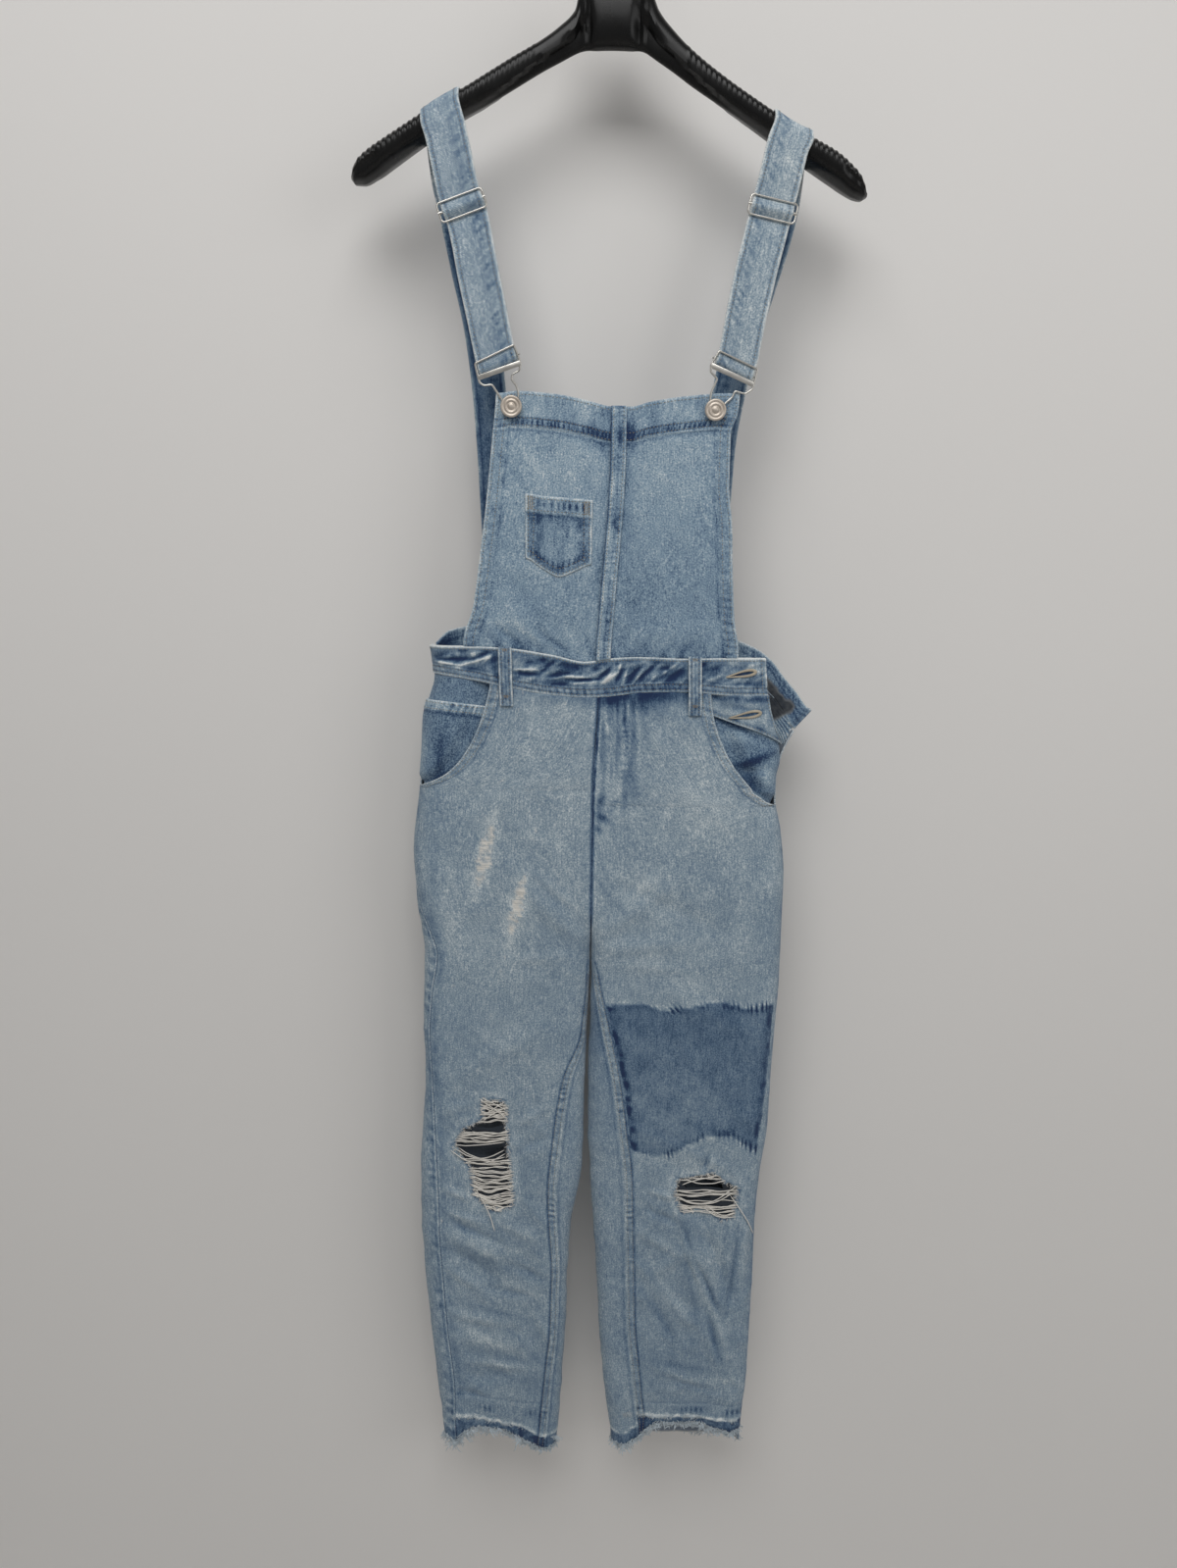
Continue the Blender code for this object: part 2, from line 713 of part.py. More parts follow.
def front_panel(half, collection):
    foot = pocket_foot(half)

    def span(nominal):
        last = beyond_gap(half, seam_share(half, "inseam", nominal), nominal, -1)
        if nominal > foot:
            z = nominal
            for _ in range(4):
                z = row_height("front", pocket_edge(half, z), nominal)
            return share_at(half, "front", pocket_edge(half, z), z), last
        return beyond_gap(half, seam_share(half, "side_seam", nominal), nominal, 1), last

    upper = np.array((0, 14, 30, 46, 60, 71, 80, 87, 94)) / 94.0
    rows = [between(PANEL_TOP, foot + 0.6, share) for share in upper]
    rows += [foot - 1.0] + LEG_ROWS
    outer, inner = panel_grids(half, rows, span, FRONT_COLUMNS)
    return wall(f"front_leg_{half}", outer, inner, light_denim(), collection)


def back_panel(half, collection):
    def span(nominal):
        first = beyond_gap(half, seam_share(half, "inseam", nominal) + 1e-6, nominal, 1)
        last = 2.0 + seam_share(half, "side_seam", nominal)
        return first, beyond_gap(half, last - 1e-6, nominal, -1)

    rows = [between(PANEL_TOP, POCKET_END, share / 5) for share in range(6)] + LEG_ROWS
    outer, inner = panel_grids(half, rows, span, BACK_COLUMNS)
    return wall(f"back_leg_{half}", outer, inner, light_denim(), collection)


def knee_gaps(half, panel, helpers):
    """Cuts the holes that are worn through the knee."""
    for number, outline in enumerate(KNEE_GAPS[half], 1):
        front = [(x, CUT_FROM, z) for x, z in outline]
        back = [(x, CUT_TO, z) for x, z in outline]
        count = len(outline)
        faces = [tuple(range(count)), tuple(range(2 * count - 1, count - 1, -1))]
        for i in range(count):
            j = (i + 1) % count
            faces.append((i, i + count, j + count, j))
        name = f"knee_gap_{half}_{number}"
        cutter = add_object(name, mesh_from(name, front + back, faces), light_denim(), helpers)
        boolean(panel, "DIFFERENCE", cutter, helpers)


def facing_depth(half, x, z):
    """How deep a pocket facing lies: under the front panel at the opening, level with it outside."""
    away = abs(x) - abs(pocket_edge(half, z)) - FACING_CLEAR
    deep = CLOTH + UNDER_GAP + FACING + LAYER_GAP
    return deep * (1 - 0.92 * smooth_step(away / FACING_RISE))


def hip_piece(name, half, rows, lift, slant, finish, collection):
    """A facing or a patch behind the pocket opening: lift is how far it lies above the facing, and
    slant how much lower its rows run towards the side, for each row."""
    outer, inner = [], []
    for number, nominal in enumerate(rows):
        direction = FACING_REACH if half == "right" else -FACING_REACH
        start = beyond_gap(half, 0.0, nominal, 1)
        limit = share_at(half, "front", pocket_edge(half, nominal) + direction, nominal)
        outer_row, inner_row = [], []
        for c in range(PATCH_COLUMNS + 1):
            share = c / PATCH_COLUMNS
            s = between(start, limit, share)
            z = row_height("front", ring_x(half, s, nominal)[0], nominal)
            z -= slant * number * (1 - share)
            x = ring_x(half, s, z)[0]
            depth = facing_depth(half, x, z)
            out = outward(half, s, z)
            point = surface(half, s, z)
            outer_row.append(point + out * (lift - depth))
            inner_row.append(point + out * (lift - depth - FACING))
        outer.append(outer_row)
        inner.append(inner_row)
    return wall(name, outer, inner, finish, collection)


def hip_facings(collection):
    for half in ("right", "left"):
        rows = FACING_ROWS + ([-774.0] if half == "right" else [-776.0, -787.0])
        hip_piece(f"hip_facing_{half}", half, rows, 0.0, 0.0, blue_denim(), collection)


def coin_pocket(collection):
    """The patch pocket on the right facing, whose hemmed top shows in the opening."""
    rows = FACING_ROWS[COIN_ROW:] + [-774.0]
    hip_piece(
        "coin_pocket", "right", rows, FACING + LAYER_GAP, 0.0, blue_denim(), collection
    )


def side_placket(collection):
    """The buttonhole extension under the front waistband, at the undone left side."""
    lift = FACING + 3 * LAYER_GAP
    hip_piece(
        "side_placket", "left", PLACKET_ROWS, lift, PLACKET_SLANT, light_denim(), collection
    )


# ---------------------------------------------------------------- waistbands and loops

def pucker(x, z):
    """The slanting puckers of the shrunken front waistband."""
    return sum(
        height * math.sin(2 * math.pi * (across * x + up * z) / length + phase)
        for across, up, length, phase, height in PUCKERS
    )


def front_waistband(collection):
    levels = (0.0, 0.22, 0.5, 0.78, 1.0)
    right_s = list(np.linspace(-0.06, 0.97, 21))
    left_s = list(np.linspace(0.97, 0.0, 21))
    columns = [("right", s) for s in right_s] + [("left", s) for s in left_s]
    outer, inner = [], []
    for level in levels:
        outer_row, inner_row = [], []
        for half, s in columns:
            x = ring_x(half, s, FRONT_WAIST_RING)[0]
            low = WAIST_LINES.read("band_bottom", x)
            high = WAIST_LINES.read("band_top", x)
            z = between(low, high, level)
            relief = pucker(x, z) * math.sin(math.pi * level) if 0 < level < 1 else 0.0
            out = outward(half, s, z)
            point = surface(half, s, z)
            outer_row.append(point + out * (BAND_PROUD + relief))
            inner_row.append(point + out * (BAND_PROUD - BAND))
        outer.append(outer_row)
        inner.append(inner_row)
    return wall("waistband_front", outer, inner, light_denim(), collection)


def back_waistband(collection):
    levels = (0.0, 0.35, 0.7, 1.0)
    start = 2.0 - 0.08
    columns = [("right", s) for s in np.linspace(start, 1.03, 16)]
    columns += [("left", s) for s in np.linspace(1.03, 1.9999, 18)]
    outer, inner = [], []
    for level in levels:
        outer_row, inner_row = [], []
        for half, s in columns:
            point = surface(half, s, BACK_WAIST_RING)
            lean = BACK_WAIST.read("lean", point[0])
            low = BACK_WAIST.read("band_bottom", point[0] - lean)
            high = BACK_WAIST.read("band_top", point[0])
            point += np.array((-lean * (1 - level), 0.0, 0.0))
            point[2] = between(low, high, level)
            out = outward(half, s, BACK_WAIST_RING)
            outer_row.append(point + out * BAND_PROUD)
            inner_row.append(point + out * (BAND_PROUD - BAND))
        outer.append(outer_row)
        inner.append(inner_row)
    return wall("waistband_back", outer, inner, light_denim(), collection)


def belt_loop(half, collection):
    """A loop of three layers, standing over the waistband and sewn down below it."""
    across, drop = BELT_LOOPS[half]
    outer, inner = [], []
    for nominal, stand in LOOP_ROWS:
        z = nominal - drop
        slant = (LOOP_ROWS[0][0] - z) * LOOP_SLANT
        outer_row, inner_row = [], []
        for side in (-0.5, 0.0, 0.5):
            x = across + slant + side * LOOP_WIDTH
            s = share_at(half, "front", x, z)
            out = outward(half, s, z)
            point = surface(half, s, z)
            outer_row.append(point + out * (stand + LOOP_THICK))
            inner_row.append(point + out * stand)
        outer.append(outer_row)
        inner.append(inner_row)
    return wall(f"belt_loop_{half}", outer, inner, light_denim(), collection)


# ---------------------------------------------------------------- bib

def bib_point(x, z, offset):
    """A point of the bib's outer face. It hangs a little forward of the waist."""
    up = (z - BIB_FOOT) / BIB_HEIGHT
    y = between(*BIB_STAND, up)
    y += BIB_BELLY * math.sin(math.pi * up) * math.sin(math.pi * (x + 110.0) / 225.0)
    for across, height, half_width, half_height, stand in BIB_SWELLS:
        y += stand * math.exp(-(((x - across) / half_width) ** 2) - ((z - height) / half_height) ** 2)
    return np.array((x, -(y + offset), z))


def bib_panel(half, collection):
    side_steps = (0.0, BIB_SIDE_HEM - 0.8, BIB_SIDE_HEM + 0.8)
    outer, inner = [], []
    for drop in BIB_DROPS + (BIB_HEIGHT,):
        nominal = BIB_FOOT + BIB_HEIGHT - drop
        edge = BIB_SIDES.read(half, nominal)
        seam = BIB_SIDES.read("centre", nominal)
        direction = 1 if half == "right" else -1
        seam -= direction * SEAM_GAP / 2
        places = [edge + direction * step for step in side_steps]
        places += list(np.linspace(places[-1], seam, 7)[1:])
        outer_row, inner_row = [], []
        for column, x in enumerate(places):
            top = BIB_TOP.read("height", x)
            bottom = WAIST_LINES.read("band_top", x) + SEAM_GAP
            z = between(top, bottom, drop / BIB_HEIGHT)
            hemmed = column < 2 or drop < BIB_BAND
            offset = FOLDED_HEM if hemmed else 0.0
            outer_row.append(bib_point(x, z, offset))
            inner_row.append(bib_point(x, z, -CLOTH))
        outer.append(outer_row)
        inner.append(inner_row)
    return wall(f"bib_{half}", outer, inner, blue_denim(), collection)


def bib_centre_strip(collection):
    """The felled centre seam, which stands proud from the waistband to the top edge."""
    outer, inner = [], []
    for share in np.linspace(0.0, 1.0, 12):
        centre = BIB_SIDES.read("centre", BIB_FOOT + BIB_HEIGHT * (1 - share))
        outer_row, inner_row = [], []
        for side in (-0.5, 0.5):
            x = centre + side * BIB_STRIP
            top = BIB_TOP.read("height", x) + 0.8
            bottom = WAIST_LINES.read("band_top", x) + SEAM_GAP
            z = between(top, bottom, share)
            under = FOLDED_HEM + LAYER_GAP
            outer_row.append(bib_point(x, z, under + BIB_STRIP_THICK))
            inner_row.append(bib_point(x, z, under))
        outer.append(outer_row)
        inner.append(inner_row)
    return wall("bib_centre_strip", outer, inner, blue_denim(), collection)


def bib_pocket(collection):
    places = [-71.0, -63.0, -52.0, -41.0, -31.0, -20.0, -12.0]
    hem_rows = [(share, True) for share in (0.0, 0.5, 1.0)]
    body_rows = [(share, False) for share in (0.0, 0.33, 0.66, 1.0)]
    outer, inner = [], []
    for share, hemmed in hem_rows + body_rows:
        outer_row, inner_row = [], []
        for x in places:
            top = BIB_POCKET.read("top", x)
            step = top - POCKET_HEM
            if hemmed:
                z = between(top, step, share)
            else:
                z = between(step - HEM_STEP, BIB_POCKET.read("bottom", x), share)
            hem = FOLDED_HEM if hemmed else 0.0
            outer_row.append(bib_point(x, z, LAYER_GAP + FACING + hem))
            inner_row.append(bib_point(x, z, LAYER_GAP))
        outer.append(outer_row)
        inner.append(inner_row)
    return wall("bib_pocket", outer, inner, blue_denim(), collection)


# ---------------------------------------------------------------- hanger

def hanger_section(x, angle, grow=0.0):
    """y and z on the hanger's section, angle 0 behind, 90 on top and 180 in front."""
    top, under = HANGER.read("top", x), HANGER.read("under", x)
    depth = HANGER.read("depth", x)
    turn = math.radians(angle)
    power = 2 / HANGER_CORNER
    flat = math.copysign(abs(math.cos(turn)) ** power, math.cos(turn))
    tall = math.copysign(abs(math.sin(turn)) ** power, math.sin(turn))
    return (depth + grow) * flat, (top + under) / 2 + ((top - under) / 2 + grow) * tall


def hanger_body(collection):
    sides = HANGER_SIDES
    places = HANGER.rows[:, 0]
    points, faces = [], []
    for x in places:
        for n in range(sides):
            y, z = hanger_section(x, 360.0 * n / sides)
            points.append((x, y, z))
    for r in range(len(places) - 1):
        for n in range(sides):
            m = (n + 1) % sides
            faces.append((r * sides + n, r * sides + m, (r + 1) * sides + m, (r + 1) * sides + n))
    faces.append(tuple(range(sides)))
    last = (len(places) - 1) * sides
    faces.append(tuple(range(last + sides - 1, last - 1, -1)))
    return add_object(
        "hanger_body", mesh_from("hanger_body", points, faces), black_plastic(), collection
    )


def hanger_hook(collection):
    """A wire hook: a stem out of the neck, a bend to the side and a crown over the rail."""
    radius = HOOK_RADIUS + HOOK_WIRE / 2
    centre = -HOOK_RADIUS
    neck = HANGER.read("top", 2) + SEAM_GAP
    points = [(2.0, 0.0, neck), (2.0, 0.0, neck + 8), (1.4, 0.0, neck + 14), (-2.0, 0.0, neck + 20)]
    for degrees in range(228, -36, -12):
        turn = math.radians(degrees)
        points.append((radius * math.cos(turn), 0.0, centre + radius * math.sin(turn)))
    wire("hanger_hook", points, HOOK_WIRE, nickel(), collection, sides=1)


# ---------------------------------------------------------------- straps and metal

def strap(half, collection):
    """One strap: from the back waistband over the hanger, through the slide, round the buckle's
    bar and back up behind itself to the slide."""
    runs = STRAPS[half]
    shares = (-0.5, -0.17, 0.17, 0.5)
    across_x, slope, lift = runs["over"]
    rows = []

    def flat_row(x, y, z, degrees, width=STRAP_WIDTH):
        turn = math.radians(degrees)
        return [
            np.array((x + share * width * math.cos(turn), y, z + share * width * math.sin(turn)))
            for share in shares
        ]

    for x, y, z, degrees in runs["behind"]:
        width = between(STRAP_BEHIND_WIDTH, STRAP_WIDTH, smooth_step((z + 420) / 200))
        rows.append(flat_row(x, y, z, degrees, width))
    for angle in STRAP_TURNS:
        row = []
        for share in shares:
            x = across_x + share * STRAP_WIDTH * math.cos(math.radians(slope))
            y, z = hanger_section(x, angle, STRAP_STAND)
            row.append(np.array((x, y, z + lift * max(0.0, share * math.copysign(1, x)))))
        rows.append(row)
    for run in ("front", "fold", "return"):
        entries = (runs[run],) if run == "fold" else runs[run]
        for x, y, z, degrees in entries:
            rows.append(flat_row(x, y, z, degrees))
    middle = np.array(rows)
    along = np.gradient(middle, axis=0)
    across = middle[:, -1:, :] - middle[:, :1, :]
    out = np.cross(np.broadcast_to(across, along.shape), along)
    out /= np.linalg.norm(out, axis=2, keepdims=True)
    outer = middle + out * STRAP / 2
    inner = middle - out * STRAP / 2
    return wall(f"strap_{half}", list(outer), list(inner), light_denim(), collection)


def turned(x, z, degrees, along, up):
    turn = math.radians(degrees)
    return (
        x + along * math.cos(turn) - up * math.sin(turn),
        FRAME_Y,
        z + along * math.sin(turn) + up * math.cos(turn),
    )


def slide(half, collection, helpers):
    """A wire rectangle with a centre bar that the strap passes over."""
    x, z, degrees = FITTINGS[half]["slide"]
    length, height = SLIDE_SIZE
    corner = SLIDE_CORNER
    points = []
    for along, up, start in ((1, 1, 0), (-1, 1, 90), (-1, -1, 180), (1, -1, 270)):
        for step in (0, 45, 90):
            angle = math.radians(start + step)
            points.append(
                turned(
                    x, z, degrees,
                    along * (length / 2 - corner) + corner * math.cos(angle),
                    up * (height / 2 - corner) + corner * math.sin(angle),
                )
            )
    frame = wire(f"slide_{half}", points, WIRE, nickel(), collection, closed=True, sides=1)
    ends = [turned(x, z, degrees, along * (length / 2), 0.0) for along in (-1, 1)]
    bar = wire(f"slide_bar_{half}", ends, WIRE - 0.2, nickel(), collection, sides=1)
    boolean(frame, "UNION", bar, helpers)


def buckle(half, collection, helpers):
    """A wire frame, a pressed flat bar and the wire that hooks round the bib button."""
    fitting = FITTINGS[half]
    (x1, z1), (x2, z2) = fitting["top_bar"]
    (x3, z3), (x4, z4) = fitting["flat_bar"]
    bx, bz = fitting["button"]
    path = [(x1, FRAME_Y, z1), (x2, FRAME_Y, z2), (x4, FRAME_Y, z4)]
    path += [(x, FRAME_Y, z) for x, z in fitting["inner_wire"]]
    inner_x, inner_z = fitting["inner_wire"][-1]
    outer_x, outer_z = fitting["outer_wire"][-1]
    start = math.degrees(math.atan2(inner_z - bz, inner_x - bx))
    stop = math.degrees(math.atan2(outer_z - bz, outer_x - bx))
    if half == "right":
        stop -= 360.0 if stop > start else 0.0
    else:
        stop += 360.0 if stop < start else 0.0
    for share in np.linspace(0.08, 0.92, 8):
        angle = math.radians(between(start, stop, share))
        path.append((bx + SHANK_LOOP * math.cos(angle), FRAME_Y, bz + SHANK_LOOP * math.sin(angle)))
    path += [(x, FRAME_Y, z) for x, z in reversed(fitting["outer_wire"])]
    path.append((x3, FRAME_Y, z3))
    frame = wire(f"buckle_{half}", path, WIRE, nickel(), collection, closed=True, sides=1)

    length = math.hypot(x4 - x3, z4 - z3)
    slope = math.atan2(z4 - z3, x4 - x3)
    mesh = bpy.data.meshes.new(f"flat_bar_{half}")
    shape = bmesh.new()
    place = Matrix.Translation(Vector(((x3 + x4) / 2, FRAME_Y - 0.1, (z3 + z4) / 2)) * MM)
    place @= Matrix.Rotation(-slope, 4, "Y")
    place @= Matrix.Diagonal(Vector(((length + 0.6) * MM, 1.5 * MM, 4.6 * MM, 1.0)))
    bmesh.ops.create_cube(shape, size=1.0, matrix=place)
    shape.to_mesh(mesh)
    shape.free()
    boolean(frame, "UNION", add_object(f"flat_bar_{half}", mesh, nickel(), collection), helpers)

    # The bar inside the strap's fold, between the front run and the return.
    fold_x, fold_y, fold_z, degrees = STRAPS[half]["fold"]
    reach = length / 2 - 0.6
    bar_z = fold_z + 3.9
    turn = math.radians(degrees)
    ends = []
    for along in (-1, 1):
        end_x = fold_x + along * reach * math.cos(turn)
        end_z = bar_z + along * reach * math.sin(turn)
        ends.append((end_x, end_z))
    middle = [(x, fold_y + 0.1, z) for x, z in ends]
    left_arm = (ends[0][0] - 0.9 * math.cos(turn), FRAME_Y, ends[0][1] - 0.9 * math.sin(turn))
    right_arm = (ends[1][0] + 0.9 * math.cos(turn), FRAME_Y, ends[1][1] + 0.9 * math.sin(turn))
    bar = wire(
        f"fold_bar_{half}", [left_arm, *middle, right_arm], 1.3, nickel(), collection, sides=1
    )
    boolean(frame, "UNION", bar, helpers)


def button_profile(diameter, ringed):
    """Radius and height pairs of a pressed tack button, from the cap's middle to the shank's foot."""
    r = diameter / 2
    cap = ((0.0, 4.4), (r * 0.22, 4.3), (r * 0.30, 3.7), (r * 0.42, 3.5), (r * 0.50, 4.0),
           (r * 0.62, 4.1), (r * 0.72, 3.6), (r * 0.86, 3.7))
    plain = ((0.0, 4.2), (r * 0.6, 3.9))
    edge = ((r * 0.97, 3.2), (r, 2.7), (r * 0.96, 2.2), (r * 0.34, 1.9), (r * 0.32, 0.0), (0.0, 0.0))
    return (cap if ringed else plain) + edge


def tack_button(name, place, direction, diameter, shank, ringed, collection):
    """A turned button whose axis runs from its shank's foot to its cap."""
    mesh = bpy.data.meshes.new(name)
    shape = bmesh.new()
    verts = []
    for radius, height in button_profile(diameter, ringed):
        lifted = height + shank if height > 0 else 0.0
        verts.append(shape.verts.new((radius * MM, 0.0, lifted * MM)))
    for a, b in zip(verts, verts[1:]):
        shape.edges.new((a, b))
    shape.to_mesh(mesh)
    shape.free()
    made = add_object(name, mesh, nickel(), collection)
    made.location = Vector(place) * MM
    made.rotation_euler = Vector(direction).to_track_quat("Z", "Y").to_euler()
    screw = made.modifiers.new("turn", "SCREW")
    screw.angle = 2 * math.pi
    screw.steps = BUTTON_STEPS
    screw.render_steps = BUTTON_STEPS
    screw.use_merge_vertices = True
    screw.merge_threshold = 0.00001
    screw.use_smooth_shade = True
    screw.use_normal_calculate = True
    return made


def buttons(collection):
    for half in ("right", "left"):
        x, z = FITTINGS[half]["button"]
        foot = bib_point(x, z, FOLDED_HEM + LAYER_GAP)
        tack_button(f"bib_button_{half}", foot, (0, -1, 0), BUTTON_DIAMETER, 1.6, True, collection)
    # The undone side's two buttons sit on the outer face of the back extension.
    for name, x, z, ring, proud in (
        ("side_button_waist", 172.0, -678.0, BACK_WAIST_RING, BAND_PROUD),
        ("side_button_hip", 163.0, -716.0, -716.0, 0.0),
    ):
        s = share_at("left", "back", x, ring)
        out = outward("left", s, ring)
        point = surface("left", s, ring)
        foot = np.array((point[0], point[1], z)) + out * (proud + LAYER_GAP + 0.3)
        tack_button(name, foot, out, SIDE_BUTTON_DIAMETER, 0.2, False, collection)


# ---------------------------------------------------------------- assembly

def clear_scene():
    for each in list(bpy.data.objects):
        bpy.data.objects.remove(each)


def main():
    clear_scene()
    garment = bpy.data.collections.new("dungarees_on_hanger")
    helpers = bpy.data.collections.new("cutters")
    for collection in (garment, helpers):
        bpy.context.scene.collection.children.link(collection)
    for half in ("right", "left"):
        panel = front_panel(half, garment)
        knee_gaps(half, panel, helpers)
        back_panel(half, garment)
        bib_panel(half, garment)
        strap(half, garment)
        slide(half, garment, helpers)
        buckle(half, garment, helpers)
    hip_facings(garment)
    coin_pocket(garment)
    side_placket(garment)
    front_waistband(garment)
    back_waistband(garment)
    belt_loop("right", garment)
    belt_loop("left", garment)
    bib_centre_strip(garment)
    bib_pocket(garment)
    buttons(garment)
    hanger_body(garment)
    hanger_hook(garment)


main()
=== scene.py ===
"""Distressed light-wash denim dungarees on a moulded coat hanger.

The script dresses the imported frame: fine cloth, sewing, worn edges, metal fittings, hanger and stage.
Lengths in the tables are millimetres. X runs to the wearer's left, the garment faces -Y and +Z is up.
"Right" and "left" are the wearer's.
"""

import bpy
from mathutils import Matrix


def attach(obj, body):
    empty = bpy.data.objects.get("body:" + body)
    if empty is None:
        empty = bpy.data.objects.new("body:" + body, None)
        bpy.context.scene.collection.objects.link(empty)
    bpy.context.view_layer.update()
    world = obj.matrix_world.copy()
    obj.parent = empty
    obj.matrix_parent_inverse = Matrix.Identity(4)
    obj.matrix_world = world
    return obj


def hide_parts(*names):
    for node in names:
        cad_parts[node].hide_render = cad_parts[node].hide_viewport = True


bl_info = {
    "name": "Denim Dungarees on a Hanger",
    "version": (1, 0, 0),
    "blender": (4, 5, 0),
    "location": "3D View > Sidebar > Dungarees",
    "description": "Builds the cloth, sewing, fittings and stage of a pair of worn denim dungarees",
    "category": "Object",
}

import math

import bmesh
import bpy
import numpy as np
from mathutils import Matrix, Vector

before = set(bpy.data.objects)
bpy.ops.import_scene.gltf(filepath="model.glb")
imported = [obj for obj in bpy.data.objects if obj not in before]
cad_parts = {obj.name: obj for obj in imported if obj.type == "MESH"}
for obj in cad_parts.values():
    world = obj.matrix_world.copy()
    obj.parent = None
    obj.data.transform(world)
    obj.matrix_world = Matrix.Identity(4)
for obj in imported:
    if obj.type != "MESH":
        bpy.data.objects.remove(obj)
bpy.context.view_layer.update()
MM = 0.001
FORWARD, BACKWARD = (0, -1, 0), (0, 1, 0)

# Driving dimensions
CLOTH = 1.6            # wall of one layer of denim
FACING = 1.4           # wall of the pocket facings and the patch pockets
BAND = 2.8             # wall of the doubled waistband
BAND_PROUD = 0.8       # how far the waistband stands out of the panels
STRAP = 2.2            # wall of the doubled strap
STRAP_WIDTH = 35.0
STRAP_BEHIND_WIDTH = 29.0  # as it shows where the strap hangs turned behind the bib
STRAP_STAND = 1.75     # from the hanger's face to the middle of the strap's wall
STRAP_TURNS = (12, 35, 55, 75, 90, 105, 125, 145, 168)  # degrees round the hanger's section
SEAM_GAP = 0.4         # clear space left at every seam
LAYER_GAP = 0.35       # clear space between cloth that lies on cloth
UNDER_GAP = 2.1        # clear space between a panel and the facing behind it
FOLDED_HEM = 0.7       # how far a turned and stitched hem stands out
EDGE_ROUND = 1.35      # rounding at the folded sides, as a share of the half depth
CROTCH = -930.0        # height where the two legs part
FORK_HEIGHT = 46.0     # height over which the crotch seams turn from the faces to the fork
POCKET_END = -766.0    # height of the lower end of the hip pocket openings
PLACKET_FOOT = -738.0  # height where the undone left side begins
PLACKET_EASE = 36.0    # height over which the undone side opens out
PANEL_TOP = -672.0     # mean height of the panels' top edge
HEM = -1470.0          # mean height of the raw hems
WIRE = 1.8             # diameter of the slide and buckle wire
SLIDE_SIZE = (41.0, 16.0)
SLIDE_CORNER = 3.0
BUTTON_DIAMETER = 19.0
SIDE_BUTTON_DIAMETER = 16.0
HOOK_WIRE = 3.6
HOOK_RADIUS = 18.0


class Table:
    """A short table of millimetres, read smoothly along its first column."""

    def __init__(self, columns, *rows):
        self.columns = columns.split()
        self.rows = np.array(sorted(rows), float)
        self.keys = self.rows[:, 0]

    def read(self, column, at):
        values = self.rows[:, self.columns.index(column)]
        rise = np.diff(values) / np.diff(self.keys)
        slopes = np.zeros(len(values))
        before, after = rise[:-1], rise[1:]
        steady = before * after > 0
        slopes[1:-1][steady] = 2 * before[steady] * after[steady] / (before + after)[steady]
        at = np.clip(np.asarray(at, float), self.keys[0], self.keys[-1])
        i = np.clip(np.searchsorted(self.keys, at) - 1, 0, len(self.keys) - 2)
        step = self.keys[i + 1] - self.keys[i]
        t = (at - self.keys[i]) / step
        return (
            values[i] * (2 * t**3 - 3 * t**2 + 1)
            + values[i + 1] * (3 * t**2 - 2 * t**3)
            + slopes[i] * step * (t**3 - 2 * t**2 + t)
            + slopes[i + 1] * step * (t**3 - t**2)
        )


# Each leg and its half of the hips, by height: the folded outer side of the front and the back,
# the inner side (the centre line above the crotch), how far in from those sides the side seam and
# the inseam lie on the front, and how far the front and the back stand from the middle.
RIGHT = Table(
    "height front_outer back_outer inner side_seam inseam front back",
    (-616, -158, -158, -5, 0, 0, 17, 16),
    (-633, -161, -161, -5, 0, 0, 17, 16),
    (-662, -158, -158, -4, 0, 0, 17, 16),
    (-681, -163, -163, -4, 0, 0, 17, 16),
    (-700, -168, -168, -5, 0, 0, 17, 16),
    (-734, -170, -170, -7, 0, 0, 17, 17),
    (-766, -173, -173, -8, 0, 0, 17, 18),
    (-834, -180, -180, -8, 1, 0, 17, 18),
    (-883, -177, -177, -8, 4, 0, 17, 17),
    (-908, -173, -173, -8, 9, 0, 16, 17),
    (-931, -171, -171, -8.3, 14, 0, 16, 16),
    (-972, -172, -172, -9.5, 9, 0, 15, 16),
    (-1015, -173, -173, -11, 7, 1, 15, 15),
    (-1062, -172, -172, -11.5, 8, 15, 14, 15),
    (-1115, -175, -175, -12.5, 13, 22, 14, 15),
    (-1169, -178, -178, -15, 18, 25, 14, 15),
    (-1224, -178, -178, -25, 19, 14, 14, 14),
    (-1280, -175, -175, -27.5, 19, 9, 13, 14),
    (-1337, -170, -170, -29, 18, 9, 13, 13),
    (-1395, -165, -165, -32, 19, 11, 13, 13),
    (-1454, -159, -159, -36, 14, 12, 12, 12),
    (-1486, -156, -156, -39, 12, 12, 12, 12),
)
